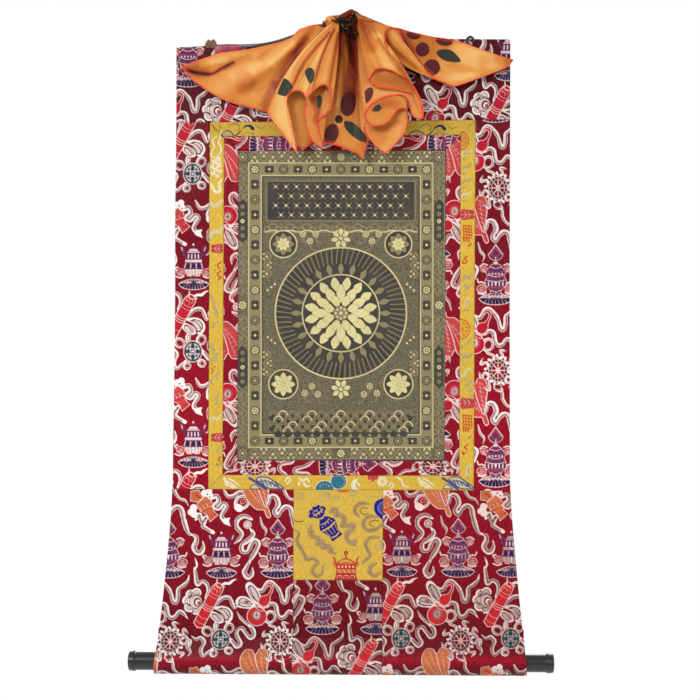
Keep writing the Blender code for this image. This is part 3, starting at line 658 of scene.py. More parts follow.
    bow_leaf(c, [(-11.4, 38.4), (-6.0, 39.4), (-1.0, 43.0), (1.6, 48.4), (-2.6, 50.4), (-8.2, 47.6), (-11.8, 43.6)], [(-9.0, 40.6), (-5.0, 43.0), (-1.8, 47.6)])
    c.line(None, [(-6.4, 36.8), (-1.8, 39.4), (1.8, 43.8), (2.6, 48.0)], 0.7)
    ribbon(c, [(-8, 34.5), (-4, 29), (1.5, 24.6), (7.5, 24.8), (10, 30), (12.6, 35), (16.4, 31.8)], 2.3, (0.5, 0.2), 0.3)
    ribbon(c, [(-1.5, 12.4), (3, 10.2), (7, 10.2), (11, 7.2), (15, 5.8)], 1.7, (0.6, 0.1), None)
    tube = np.array([(-2.4, 11.0), (-24.6, 53.6)])
    way = (tube[1] - tube[0]) / np.linalg.norm(tube[1] - tube[0])
    side = np.array([way[1], -way[0]])
    if side[0] < 0:
        side = -side
    reach = np.linalg.norm(tube[1] - tube[0])

    def on(along, across):
        return tuple(tube[0] + way * along * reach + side * across)

    c.shape("coral", [on(0.0, -3.8), on(-0.03, 0), on(0.02, 5.4), on(0.10, 6.1), on(0.97, 5.6), on(1.03, 0), on(0.96, -5.8), on(0.12, -5.8)], edge="pale", edge_width=0.85, smooth=False)
    for s, w in ((0.23, 0.4), (0.30, 0.35), (0.50, 0.5), (0.55, 0.5), (0.60, 0.5), (0.78, 0.4), (0.90, 0.35)):
        c.line("pale", [on(s - 0.015, -5.4), on(s + 0.015, 0), on(s - 0.01, 5.4)], w)
    c.line("pale", [on(0.06, -2.4), on(0.07, 2.6), on(0.16, 3.2)], 0.42)
    c.line("pale", [on(0.13, -3.4), on(0.14, 0.6), on(0.20, 1.2)], 0.42)
    c.line("pale", [on(0.02, -3.2), on(0.20, -3.6)], 0.35)
    c.line("pale", [on(0.0, 5.4), on(0.08, -0.5), on(-0.06, -4.4)], 0.5)

    # round jewel with its loops
    for at, radii, turn in (((-15.0, 58.2), (6.0, 5.2), 0.6), ((-6.4, 53.2), (2.7, 5.0), 0.1), ((6.8, 55.0), (5.2, 5.6), 0.4), ((7.4, 78.6), (4.6, 4.2), 0.6), ((-7.4, 81.4), (4.2, 4.2), 0.0)):
        loop(c, at, radii, turn, band=2.4)
    j = (-1.6, 66.8)
    c.oval("pale", j, (9.5, 10.9))
    c.oval("line", j, (8.8, 10.2))
    c.oval("teal", j, (8.3, 9.7))
    for k in range(4):
        t = math.pi / 4 + k * math.pi / 2
        arc = [(j[0] + 6.6 * math.cos(t + q), j[1] + 7.8 * math.sin(t + q)) for q in (-0.55, -0.28, 0, 0.28, 0.55)]
        c.line("grey", arc, 0.42)
        c.oval("navy", (j[0] + 5.0 * math.cos(t), j[1] + 6.0 * math.sin(t)), (0.9, 0.9))
    for q in (-1, 1):
        c.line("grey", [(j[0] + q * 2.4, j[1] - 6.6), (j[0] + q * 2.4, j[1] + 6.6)], 0.36, smooth=False)
        c.line("grey", [(j[0] - 5.6, j[1] + q * 2.6), (j[0] + 5.6, j[1] + q * 2.6)], 0.36, smooth=False)
        c.oval("navy", (j[0] + q * 4.2, j[1]), (0.9, 1.2))
        c.oval("navy", (j[0], j[1] + q * 5.0), (1.1, 1.0))
    c.oval("pale", j, (1.5, 1.2))

    # --- column two: leaf fan, vase on its seat, gourd, wheel
    # bow at the fan
    loop(c, (19.6, -70.6), (8.2, 7.4), -0.6, band=3.0)
    c.oval("ribbon", (16.4, -65.2), (4.6, 3.6), turn=0.5)
    c.oval("coral", (20.8, -71.6), (3.0, 2.2), edge="pale", edge_width=0.5, turn=-0.5)
    ribbon(c, [(1.2, -84.5), (5.5, -77), (12, -77.5), (17.5, -81.5), (23, -80)], 2.2, (0.3, 0.6), 0.3)
    c.oval("pale", (25.4, -48.4), (4.0, 4.0))
    c.oval("grey", (25.4, -48.4), (3.2, 3.2), edge="line", edge_width=0.6)
    c.oval("pale", (25.4, -48.4), (1.4, 1.4), edge="line", edge_width=0.3)
    c.shape(
        "peach",
        [(19.6, -84), (19.4, -93), (23.8, -100.4), (30.6, -100.2), (34.2, -95.6), (38, -101.6), (44.6, -100.6), (47.6, -92.6),
         (46.8, -82), (44.6, -71), (46.6, -64.5), (48.8, -57), (46.0, -54.6), (43.2, -58.5), (41.6, -62.8), (34, -63.6), (25.4, -72)],
        edge="pale", edge_width=0.8,
    )
    for k in range(9):
        t = (k - 4) / 4
        top = (33.4 + t * 12.6, -97.6 + 5.2 * abs(abs(t) - 0.5) + 2 * t * t)
        low = (42.4 + t * 4.6, -66.5 - 3.0 * abs(t))
        c.line("coral" if k % 2 else "pale", [top, ((top[0] + low[0]) / 2 - 0.8, (top[1] + low[1]) / 2), low], 0.34 if k != 4 else 0.6)
    for k in range(7):
        y = -96 + k * 4.2
        c.line("pale", [(22.2 + k * 1.8, y + 1), (26.8 + k * 1.8, y - 1.6)], 0.3, smooth=False)
        c.line("pale", [(36.8 + k * 0.7, y - 1.4), (43.8 + k * 0.1, y + 1)], 0.3, smooth=False)
    c.oval("pale", (46.9, -55.8), (1.2, 1.2), edge="peach", edge_width=0.3)
    ribbon(c, [(44, -66), (46.8, -71), (47.6, -76.5)], 2.0, (0.7, 0.8), 0.3)

    # vase
    b = 55.6
    c.shape("purple", [(b, -54.6), (b + 3.4, -49.6), (b + 7.8, -44.2), (b + 5.6, -40.2), (b, -37.2), (b - 5.6, -40.2), (b - 7.8, -44.2), (b - 3.4, -49.6)], edge="pale", edge_width=0.6, smooth=False)
    c.shape("rose", [(b, -51.4), (b + 5.0, -44.6), (b, -39.2), (b - 5.0, -44.6)], smooth=False)
    c.shape("purple", [(b, -49.6), (b + 3.6, -44.6), (b, -40.8), (b - 3.6, -44.6)], smooth=False)
    for k in (-1, 1):
        c.line("pale", [(b + k * 6.0, -44.2), (b + k * 3.4, -48.6), (b, -53.0)], 0.36)
    c.line("line", [(b - 1.8, -46.5), (b, -43), (b + 1.8, -46.5)], 0.5, smooth=False)
    c.oval("coral", (b + 0.6, -43.6), (1.0, 1.0))
    c.line("pale", [(b, -41.5), (b, -37)], 0.6, smooth=False)
    c.oval("grey", (b, -35.8), (3.0, 1.4), edge="purple", edge_width=0.4)
    for side in (-1, 1):
        curl(c, b + side * 11.8, -29.8, -side, 0.80, side * -0.5)
        c.line("pale", [(b + side * 8.0, -33.6), (b + side * 12.2, -35.0), (b + side * 16.0, -32.4)], 0.5)
        curl(c, b + side * 14.2, -10.6, side, 1.05, 0.0)
        c.line("pale", [(b + side * 10.2, -15.4), (b + side * 14.0, -17.2), (b + side * 17.0, -16.8), (b + side * 18.4, -20.2)], 0.6)
        c.line("pale", [(b + side * 9.4, -7.0), (b + side * 13.0, -5.4), (b + side * 17.6, -6.2)], 0.55)
    c.shape(
        "purple",
        [(b - 4.2, -34.6), (b - 7.0, -31), (b - 10.4, -27.5), (b - 8.4, -23.5), (b - 10.8, -19), (b - 10.4, -13.5), (b - 6.4, -10.4), (b - 5.0, -7.2), (b - 6.8, -5.0),
         (b + 6.8, -5.0), (b + 5.0, -7.2), (b + 6.4, -10.4), (b + 10.4, -13.5), (b + 10.8, -19), (b + 8.4, -23.5), (b + 10.4, -27.5), (b + 7.0, -31), (b + 4.2, -34.6)],
        edge="pale", edge_width=0.55, smooth=False,
    )
    for y, w in ((-31.4, 5.6), (-27.2, 8.6), (-23.4, 7.2), (-18.6, 9.4), (-12.6, 8.6), (-8.4, 4.6)):
        c.line("rose" if y in (-27.2, -12.6) else "pale", [(b - w, y - 0.6), (b, y + 0.9), (b + w, y - 0.6)], 0.5)
    for k in range(5):
        x = b - 7.2 + 3.6 * k
        c.line("grey", [(x, -17.4), (x * 0.99 + b * 0.01, -13.6)], 0.5, smooth=False)
        c.oval("grey", (b - 6.4 + 3.2 * k, -25.2), (0.8, 0.9))
        c.line("rose", [(b - 7.6 + 3.4 * k, -11.6), (b - 6.2 + 3.4 * k, -9.6)], 0.5, smooth=False)
        c.oval("rose", (b - 7.4 + 3.7 * k, -21.2), (0.9, 0.8))
    c.oval("line", (b, -21.2), (1.1, 0.8))
    c.oval("pale", (b, -16.2), (1.2, 2.0))
    c.line("coral", [(b - 3.4, -33), (b, -31.2), (b + 3.4, -33)], 0.5)
    lotus(c, 55.4, 0.2, 16.6, 6.2, 4.9, 8)
    for k in range(6):
        x = 55.4 - 10.5 + 4.2 * k
        c.line("pale", [(x - 1.6, -4.2), (x, -1.4), (x + 1.6, -4.2)], 0.36)

    # gourd with its bows
    bow_leaf(c, [(38.6, 33.6), (31.0, 28.4), (25.4, 20.0), (23.2, 12.6), (26.8, 8.6), (32.0, 11.6), (36.6, 18.0), (39.6, 26.6)], [(36.8, 30.4), (31.6, 24.0), (28.4, 17.0), (28.2, 12.4)])
    c.line("line", [(38.0, 28.4), (35.0, 20.6), (31.0, 14.4)], 0.36)
    bow_leaf(c, [(33.6, 32.6), (28.6, 35.4), (21.6, 35.2), (15.2, 33.4), (13.4, 28.0), (17.0, 23.4), (23.4, 23.4), (29.4, 27.2)], [(30.6, 31.2), (25.0, 31.0), (19.6, 29.6), (16.2, 27.6)])
    c.line("line", [(16.0, 31.6), (21.6, 33.6), (28.0, 33.4)], 0.36)
    c.oval("rose", (24.4, 28.8), (2.6, 1.5), turn=0.2)
    loop(c, (47.6, 44.0), (6.2, 7.0), 0.3, band=2.8)
    c.oval("coral", (34.6, 43.2), (10.2, 9.8), edge="pale", edge_width=0.8)
    c.oval("rose", (34.6, 42.2), (5.2, 5.6))
    c.oval("grey", (34.6, 42.0), (3.4, 4.2), edge="pale", edge_width=0.4)
    c.line("line", [(31.8, 42), (37.4, 42)], 0.4, smooth=False)
    c.line("line", [(34.6, 38.2), (34.6, 45.8)], 0.4, smooth=False)
    c.line("line", [(32.6, 39.4), (36.6, 44.8)], 0.3, smooth=False)
    c.line("line", [(36.6, 39.4), (32.6, 44.8)], 0.3, smooth=False)
    c.shape("coral", [(37.0, 31.5), (36.4, 26), (40, 22.6), (44, 22.0), (47.4, 18.6), (48.6, 14.4), (46.4, 12.6), (44.8, 15), (43.2, 13.6), (46, 9.8), (50.4, 11.4), (51, 17), (48.4, 23), (47.6, 29), (43, 33.6)], edge="pale", edge_width=0.7)
    c.line("pale", [(36.6, 30.6), (40.6, 35.0), (45.6, 33.4)], 0.5)
    c.line("pale", [(32.4, 33.6), (36.6, 36.8), (41.8, 38.2)], 0.45)

    # wheel in its flames
    w = (57.9, 69.0)
    for k in range(9):
        s = 2 * math.pi * (k + 0.15) / 9
        x, y = w[0] + 13.0 * math.cos(s), w[1] + 14.6 * math.sin(s)
        t = s + math.pi / 2
        far = 5.4 if k % 3 else 7.4
        pts = [
            (w[0] + 9.6 * math.cos(s - 0.28), w[1] + 11.4 * math.sin(s - 0.28)),
            (x + 1.2 * math.cos(t), y + 1.2 * math.sin(t)),
            (x + far * math.cos(s - 0.5), y + far * math.sin(s - 0.5)),
            (x + (far + 1.2) * math.cos(s + 0.55), y + (far + 1.2) * math.sin(s + 0.55)),
        ]
        c.line("ribbon", pts, 1.15, ends=(1.0, 0.35))
        c.oval("ribbon", (w[0] + 12.6 * math.cos(s + 0.34), w[1] + 14.4 * math.sin(s + 0.34)), (1.6, 1.2), turn=s)
        c.line("grey", pts[:3], 0.5, smooth=False)
        c.line("line", pts[2:], 0.25, smooth=False)
        c.line("rose", [pts[1], pts[2]], 0.3, smooth=False)
        for q in (-0.08,):
            c.line("ribbon", [(w[0] + 8.8 * math.cos(s + q), w[1] + 10.8 * math.sin(s + q)), (w[0] + 12.0 * math.cos(s + q + 0.1), w[1] + 14.0 * math.sin(s + q + 0.1))], 0.7, smooth=False)
    loop(c, (57.4, 85.2), (4.2, 3.4), 0.0, band=1.4)
    c.oval("pale", w, (9.6, 11.4))
    c.oval("line", w, (9.0, 10.8))
    for k in range(16):
        t = math.pi * k / 8
        c.oval("grey", (w[0] + 7.8 * math.cos(t), w[1] + 9.5 * math.sin(t)), (0.55, 0.6))
    c.oval("pale", w, (6.7, 8.2))
    c.oval("line", w, (6.3, 7.8))
    c.oval(None, w, (5.9, 7.4))
    for k in range(8):
        t = math.pi * k / 4
        tip = (w[0] + 6.3 * math.cos(t), w[1] + 7.8 * math.sin(t))
        c.line("pale", [w, tip], 0.38, smooth=False)
    c.oval("pale", w, (2.0, 2.2))
    c.oval("line", w, (1.2, 1.4))
    c.oval("pale", w, (0.6, 0.7))
    return c


def draw_yellow_frame():
    """The figures on the four yellow strips, each where its strip shows it."""
    c = Chart((278.0, 384.0), 3.0, THREADS, repeats=False, origin=(203.0, 114.0))

    def wisp(pts, half=1.5, thread="grey", fold=False):
        c.line(thread, pts, half, ends=(0.35, 0.35))
        if fold:
            path = smooth_line(pts)
            c.line("line", path[3:-3] + 0.35, 0.3, smooth=False)

    def bud(x, y, way, size=1.0):
        """A red flower bud that opens across the strip, with pale veins."""
        for q, r in ((0, 3.7), (3.4, 3.3), (6.6, 2.7)):
            for s in (-1, 1):
                c.oval("peach", (x + way * q * size, y + s * 1.9 * size), (2.6 * size, r * 0.78 * size))
        for q in (1.4, 4.6):
            c.line("pale", [(x + way * (q - 1.6) * size, y - 3.4 * size), (x + way * (q + 0.6) * size, y), (x + way * (q - 1.6) * size, y + 3.4 * size)], 0.36)
        c.line("pale", [(x - way * 2.0 * size, y), (x + way * 7.6 * size, y)], 0.3, smooth=False)

    def lattice(x, y, across, along):
        """An orange pouch with a woven check and short fringes."""
        for k in range(5):
            t = -1 + k * 0.5
            c.line("coral", [(x - across, y + t * along), (x + across, y + t * along + 1.2)], 0.46, smooth=False)
        for k in range(4):
            t = -1 + k * 2 / 3
            c.line("coral", [(x + t * across, y - along), (x + t * across + 0.8, y + along)], 0.42, smooth=False)
        for k in range(3):
            c.line("coral", [(x - across + 2.4 * k, y + along + 1.0), (x - across + 2.4 * k + 1.0, y + along + 4.4)], 0.6)

    def half_wheel(x, y, way, r):
        pts = [(x + way * r * math.sin(a), y - r * 1.05 * math.cos(a)) for a in np.linspace(0, math.pi, 15)]
        c.line("coral", pts, 0.5)
        pts = [(x + way * (r - 2.4) * math.sin(a), y - (r - 2.4) * 1.05 * math.cos(a)) for a in np.linspace(0, math.pi, 13)]
        c.line("coral", pts, 0.34)
        for a in np.linspace(0.5, 2.64, 4):
            c.line("coral", [(x + way * 1.5 * math.sin(a), y - 1.5 * math.cos(a)), (x + way * (r - 2.2) * math.sin(a), y - (r - 2.2) * math.cos(a))], 0.36, smooth=False)

    # left strip, from its top
    c.line("line", [(212.5, 126), (216.5, 131), (220.5, 129), (219, 124.5)], 0.42)
    c.line("pale", [(221.2, 130.5), (220.8, 137), (218.5, 142), (221.5, 148.5), (219.8, 154), (215, 157.5), (211.2, 154.5), (214.4, 147), (212.5, 140.5), (216.5, 136.5)], 0.62)
    for x, y, r in ((219, 159.5, 2.3), (214.5, 162, 2.5), (219.2, 165.2, 2.5), (212.4, 167, 2.0), (216, 170, 2.6), (220.4, 171.5, 1.9), (213.4, 173.5, 2.0), (217.8, 176.2, 2.1)):
        for k in range(4):
            a = 0.6 + k * math.pi / 2
            c.oval("pale", (x + 0.62 * r * math.cos(a), y + 0.62 * r * math.sin(a)), (0.55 * r, 0.42 * r), turn=a)
        c.oval("grey", (x, y), (0.5, 0.5))
    c.line("pale", [(222.4, 179.5), (219.2, 184.5), (220.8, 190.5), (216.0, 192.5), (213.2, 187.5), (210.8, 183.5)], 1.25, ends=(0.4, 0.4))
    c.line("ribbon", [(222.6, 200.5), (218.2, 205.2), (213.8, 206.2), (210.2, 202.0)], 1.9, ends=(0.5, 0.4))
    c.line("ribbon", [(223, 227.0), (219.8, 232.0), (214.8, 231.0), (211.6, 234.5), (209.8, 239)], 1.9, ends=(0.5, 0.4))
    bud(220.4, 248.6, -1)
    for pts in ([(221.5, 262), (217.8, 264.8), (219.6, 268.6)], [(220.8, 271.2), (217.6, 273.5), (219.2, 276.6)], [(221.6, 277.0), (218.8, 279.8)]):
        c.line("coral", pts, 0.75)
    for y in (265.5, 270.2):
        c.oval("coral", (215.2, y), (0.7, 0.7))
    wisp([(209.8, 294), (213.0, 300.5), (215.6, 309), (218.8, 317.5)], 1.3)
    wisp([(213.2, 307), (216.2, 311.5), (214.6, 316)], 1.0)
    wisp([(218.8, 322.0), (214.6, 323.5), (213.2, 326.5), (209.6, 327.5)], 1.2, fold=True)
    wisp([(214.2, 342.5), (211.2, 346.0), (214.0, 350.5), (211.4, 354.0)], 1.5)
    wisp([(217.8, 352.5), (214.8, 357.5), (216.2, 361.8)], 1.4)
    wisp([(213.8, 358.0), (210.6, 361.5), (212.4, 365.5)], 1.2)
    c.line("peach", [(211.6, 368.0), (213.2, 371.0), (211.6, 373.4)], 0.55)
    c.oval("peach", (214.8, 366.8), (0.8, 0.8))
    wisp([(219.8, 372.0), (216.2, 375.5), (218.4, 380.0)], 1.5)
    wisp([(213.6, 377.5), (210.6, 381.2), (213.2, 385)], 1.1)
    wisp([(219.8, 393.0), (216.6, 397.5), (217.8, 402.5), (214.0, 404.2)], 1.5)
    c.line("ribbon", [(221.6, 414.0), (217.8, 419.0), (213.4, 418.2), (210.2, 422.2)], 1.5, ends=(0.5, 0.4))
    bud(220.6, 437.4, -1)
    wisp([(221.2, 446.0), (218.0, 449.2), (219.6, 453.4)], 1.2)
    c.line("peach", [(221.4, 456.5), (218.6, 458.8), (220.4, 461.8)], 0.5)
    wisp([(221.0, 462.5), (218.8, 466.5), (216.8, 466.0)], 0.9)
    c.oval("navy", (217.6, 464.0), (0.8, 0.8))

    # right strip, from its top
    half_wheel(460.0, 140.6, 1, 8.6)
    for k, pts in enumerate((
        [(472.2, 150.5), (468.6, 153.6), (464.6, 152.8), (461.4, 156.0)], [(471.8, 163.5), (468.4, 167.4), (464.2, 166.6), (461.0, 170.4)],
        [(472.4, 177.6), (468.6, 181.2), (464.8, 180.4), (461.6, 184.6)], [(472.2, 190.5), (468.2, 194.4), (463.6, 193.8), (461.4, 197.4)],
        [(471.6, 273.0), (468.6, 277.6), (465.2, 276.4), (462.6, 281.0)], [(472.2, 284.6), (467.6, 286.8), (464.2, 285.6)],
        [(469.0, 297.0), (466.6, 302.4), (464.0, 307.0)], [(471.4, 336.0), (467.8, 343.4), (463.0, 346.2), (461.4, 350.2)],
        [(472.0, 352.6), (468.4, 357.2), (464.2, 356.8), (461.6, 361.0)], [(471.6, 368.0), (466.8, 370.6), (464.2, 375.4), (461.0, 376.0)],
        [(472.0, 379.5), (468.8, 383.8), (465.4, 386.6)], [(473.0, 389.0), (469.4, 391.6)], [(471.0, 464.6), (467.8, 468.2), (468.6, 473.0), (464.6, 474.8)],
    )):
        wisp(pts, (1.7, 1.2, 1.5, 0.95)[k % 4], "grey" if k % 3 else "ribbon", fold=k % 2 == 0)
        end = pts[-1]
        wisp([(end[0] + 1.0, end[1] + 2.6), (end[0] + 3.6 - k % 3, end[1] + 3.4 + k % 2), (end[0] + 5.4, end[1] + 2.0)], 0.8)
    bud(463.8, 214.6, 1, 1.15)
    lattice(467.2, 231.2, 4.0, 5.8)
    for pts in ([(467.6, 256.0), (464.4, 258.2), (466.6, 260.6)], [(466.8, 262.0), (463.4, 263.6), (462.4, 260.8)], [(471.6, 243.5), (468.6, 245.8)]):
        c.line("coral", pts, 0.62)
    half_wheel(460.6, 329.2, 1, 9.2)
    bud(463.4, 403.4, 1, 1.2)
    lattice(467.0, 421.0, 4.2, 6.2)
    for pts in ([(467.8, 444.6), (464.6, 446.8), (466.8, 449.6)], [(466.0, 452.4), (463.0, 454.6), (462.6, 451.0)], [(471.0, 436.0), (468.4, 438.4)]):
        c.line("peach", pts, 0.62)

    # top strip
    for x in (221.0, 408.2):
        wide = 13.2 if x < 300 else 17.6
        arch = [(x, 136.2), (x + wide * 0.16, 132.2), (x + wide * 0.46, 130.2), (x + wide * 0.80, 132.0), (x + wide, 136.6), (x + wide * 0.5, 138.0)]
        c.shape("grey", arch, edge="navy", edge_width=1.05)
        for k in range(3):
            q = x + wide * (0.30 + 0.2 * k)
            c.line("purple", [(q, 136.4), (q + 0.6, 133.0)], 0.38, smooth=False)
        s = x + wide
        c.line("line", [(s + 0.6, 136.4), (s + 3.6, 134.0), (s + 6.2, 131.6)], 0.9)
        c.line("navy", [(s + 6.4, 131.2), (s + 9.0, 128.0), (s + 12.6, 126.0), (s + 16.6, 126.4), (s + 19.0, 129.2)], 1.35, ends=(0.6, 1.2))
        c.oval("navy", (s + 18.4, 128.6), (1.9, 1.7))
        c.line("line", [(s - 6, 128.0), (s - 2.0, 124.2), (s + 3.4, 124.4), (s + 5.6, 128.0), (s + 2.8, 130.6)], 0.40)
        c.line("line", [(s + 8.0, 134.8), (s + 14, 132.8), (s + 21, 134.4)], 0.36)
        c.line("line", [(s + 22.0, 125.6), (s + 26.4, 128.6), (s + 31, 126.8)], 0.34)

    # bottom strip
    for x in (223.0, 417.4):
        for k, (a, b) in enumerate((((0.0, 479.2), (14.5, 488.0)), ((2.0, 484.6), (12.0, 488.6)), ((5.0, 478.0), (17.6, 486.4)), ((1.0, 481.8), (9.4, 488.6)))):
            c.line("pale", [(x + a[0], a[1]), (x + (a[0] + b[0]) / 2, (a[1] + b[1]) / 2 - 0.8), (x + b[0], b[1])], 0.72 - 0.06 * k, ends=(0.3, 0.3))
        c.oval("pale", (x + 2.0, 478.6), (1.2, 0.9))
    for x, wide in ((249.6, 1.0), (442.6, 0.92)):
        def at(dx, y):
            return x + dx * wide, y

        wing = [at(6.6, 479.6), at(8.8, 477.0), at(13.6, 476.4), at(19.4, 477.4), at(25.0, 481.0), at(30.6, 484.6), at(34.4, 488.8), at(22, 489.2), at(14.4, 486.2)]
        c.shape("ribbon", wing, edge="purple", edge_width=1.0)
        for k in range(5):
            q = 11.2 + 3.7 * k
            c.line("purple", [at(q, 479.2 + 0.9 * k), at(q + 3.4, 484.8 + 0.6 * k)], 0.5, smooth=False)
        c.line("purple", [at(10.2, 481.4), at(18.0, 481.0), at(24.0, 484.2), at(29.4, 487.6)], 0.42)
        c.line("purple", [at(0.0, 478.2), at(6.6, 482.0), at(16.4, 489.2)], 1.15)
        c.shape("ribbon", [at(0.6, 488.8), at(2.4, 485.2), at(6.0, 484.2), at(10.4, 487.8), at(10.2, 489.4)], edge="purple", edge_width=0.8)
    c.line("pale", [(285.4, 481.0), (287.6, 477.4), (290.4, 480.0), (287.0, 484.0)], 0.62)
    for pts in ([(298.4, 477.6), (302.6, 480.4), (306.8, 478.6), (309.6, 482.6)], [(303.4, 482.2), (306.4, 486.2), (310.4, 485.6)], [(299.6, 481.6), (298.6, 485.6)]):
        c.line("pale", pts, 0.95, ends=(0.4, 0.4))
    c.oval("teal", (324.6, 489.4), (9.6, 9.0), edge="pale", edge_width=0.7)
    for k in range(4):
        a = math.pi + 0.7 + 0.58 * k
        c.oval("pale", (324.6 + 5.6 * math.cos(a), 489.4 + 5.2 * math.sin(a)), (0.75, 0.7))
    c.oval("teal", (338.6, 481.4), (8.2, 8.0), edge="pale", edge_width=0.7)
    ring = [(338.6 + 5.9 * math.cos(a), 481.4 + 5.6 * math.sin(a)) for a in np.linspace(-2.2, 1.4, 12)]
    c.line("pale", ring, 0.34)
    c.shape("pale", [(358.4, 478.6), (353.2, 480.0), (350.6, 484.6), (352.4, 489.6), (358.8, 489.4), (355.8, 485.4)], edge="grey", edge_width=0.3)
    c.line("pale", [(357.6, 483.2), (359.8, 486.0)], 0.6)
    bud(372.6, 476.2, 0, 0.9)
    for s in (-1, 0, 1):
        c.oval("peach", (372.8 + 3.0 * s, 476.6 + (0 if s else 1.6)), (2.1, 3.4))
    c.line("pale", [(370.0, 476), (371.4, 480.4)], 0.3)
    c.line("pale", [(375.6, 476), (374.2, 480.6)], 0.3)
    for k in range(9):
        a = 2 * math.pi * k / 9
        c.oval("pale", (382.4 + 4.0 * math.cos(a), 481.6 + 4.0 * math.sin(a)), (1.1, 1.1))
    c.line("pale", [(382.4 + 2.0 * math.cos(a), 481.6 + 2.0 * math.sin(a)) for a in np.linspace(0, 2 * math.pi, 9)], 0.36)
    c.line("pale", [(388.6, 486.4), (391.2, 482.8), (393.4, 486.0), (390.6, 488.4)], 0.6)
    c.line("pale", [(396, 476.8), (401, 480.0), (403.6, 485.4), (409.4, 487.4)], 0.7, ends=(0.3, 0.3))
    return c


def draw_patch():
    """The figures on the square of yellow brocade, each at its place."""
    c = Chart((94.0, 96.0), 3.4, THREADS, repeats=False, origin=(290.0, 486.0))

    def cloud(pts, half=2.1, inner=True, ends=(0.5, 0.5)):
        """A taupe ribbon with a darker rim to one side."""
        path = c.line("ribbon", pts, half, ends=ends)
        if inner:
            c.line("line", path[4:-4] + (0.5, 0.7), 0.30, smooth=False)

    # sliver of the figure above, and faint clouds
    c.oval("coral", (343.4, 488.0), (7.4, 4.2), edge="peach", edge_width=0.8)
    for x, y, r in ((300.4, 495.4, 5.0), (325.4, 496.4, 6.2), (336.8, 498.4, 3.6), (353.6, 493.6, 4.6)):
        c.oval("grey", (x, y), (r, r * 0.86))
        c.line("line", [(x - r * 0.8, y - 0.4), (x - r * 0.2, y - r * 0.66), (x + r * 0.6, y - r * 0.2), (x + r * 0.2, y + r * 0.5)], 0.34)
    c.line("grey", [(366, 497.4), (372, 496.2), (378, 496.8)], 1.0, ends=(0.4, 0.4))
    # ribbons round the pouch
    cloud([(330.2, 512.2), (333.4, 508.8), (336.8, 510.4), (336.2, 515.0), (341.4, 515.6), (344.6, 519.4), (342.0, 525.2), (347.6, 525.4), (353.4, 525.0), (352.2, 529.4), (347.2, 533.2), (346.8, 538.4), (350.6, 543.0), (355.6, 545.4)], 2.5)
    for x, y, r in ((332.6, 510.0, 3.0), (343.4, 517.4, 2.8), (352.6, 526.6, 2.9), (347.4, 533.6, 2.7)):
        c.oval("ribbon", (x, y), (r, r))
        c.oval("line", (x + 0.3, y + 0.3), (1.0, 0.9))
    c.shape("ribbon", [(350.4, 541.0), (357.4, 538.6), (355.2, 545.4), (349.6, 545.0)])
    cloud([(311.6, 526.0), (309.2, 531.6), (312.4, 536.0), (317.8, 538.2), (317.4, 543.6), (322.6, 541.8), (323.0, 547.4), (329.0, 546.4), (330.0, 551.4), (335.4, 553.6)], 2.5)
    for x, y, r in ((311.0, 531.8, 3.2), (318.4, 540.6, 2.8), (324.6, 545.0, 2.7), (331.0, 550.0, 2.6)):
        c.oval("ribbon", (x, y), (r, r))
        c.oval("line", (x + 0.4, y + 0.2), (0.9, 0.9))
    # the pouch: a navy jar that leans, with bands of the ground across it
    foot, way, side = np.array((316.8, 510.3)), np.array((0.60, 0.80)), np.array((0.80, -0.60))

    def on(along, across):
        return tuple(foot + way * along * 34.4 + side * across)

    outline = [(0.00, 8.0), (0.13, 6.6), (0.21, 3.8), (0.30, 3.6), (0.37, 6.2), (0.50, 9.2), (0.61, 8.6), (0.75, 6.4), (0.86, 5.2), (1.0, 6.4)]
    c.shape("navy", [on(t, w) for t, w in outline] + [on(t, -w) for t, w in reversed(outline)], smooth=False)
    for x, y in ((311.4, 511.8), (314.6, 508.4), (318.6, 507.0), (323.6, 508.6), (311.0, 515.8)):
        c.oval("navy", (x, y), (2.3, 2.0))
    for t, w, half in ((0.07, 5.6, 0.75), (0.245, 3.0, 0.9), (0.41, 5.4, 0.62), (0.585, 7.4, 0.95), (0.90, 4.2, 0.80)):
        c.line(None, [on(t, -w), on(t + 0.03, 0), on(t, w)], half)
    for k in range(4):
        c.line(None, [on(0.64, -6.0 + k * 4.0), on(0.84, -4.6 + k * 3.0)], 0.42, smooth=False)
        c.oval(None, on(0.49, -5.4 + k * 3.6), (0.9, 0.8))
    for k in range(3):
        c.line(None, [on(-0.02, -4.6 + k * 4.4), on(0.16, -3.6 + k * 3.4)], 0.5, smooth=False)
    # the knot of ribbon at the right, and the blue petal behind it
    c.shape("navy", [(385.5, 500.0), (379.0, 499.6), (374.6, 504.0), (374.4, 510.4), (377.8, 515.8), (385.5, 519.6)])
    c.shape("purple", [(386.5, 502.4), (380.4, 502.4), (377.6, 505.6), (377.8, 510.0), (380.4, 513.6), (386.5, 516.4)])
    for k in range(3):
        c.line("navy", [(380.0 + k * 1.8, 503.6), (379.0 + k * 1.8, 507.6), (381.4 + k * 1.6, 512.6)], 0.44)
    for pts in (
        [(368.8, 504.0), (361.6, 503.4), (356.0, 506.4), (355.0, 512.0), (359.4, 516.4)],
        [(378.4, 517.2), (370.0, 516.4), (364.4, 520.2), (363.6, 526.6), (368.4, 530.4), (376.4, 529.0), (382.0, 524.6)],
    ):
        path = c.line("ribbon", pts, 2.1, ends=(0.5, 0.5))
        c.line("line", path[3:-3], 0.34, smooth=False)
    for pts in ([(368.0, 508.2), (362.0, 508.0), (360.2, 511.6), (363.6, 514.4), (368.4, 513.6)], [(378.8, 521.0), (371.6, 520.8), (369.6, 524.6), (373.6, 526.6)]):
        c.line("line", pts, 0.5)
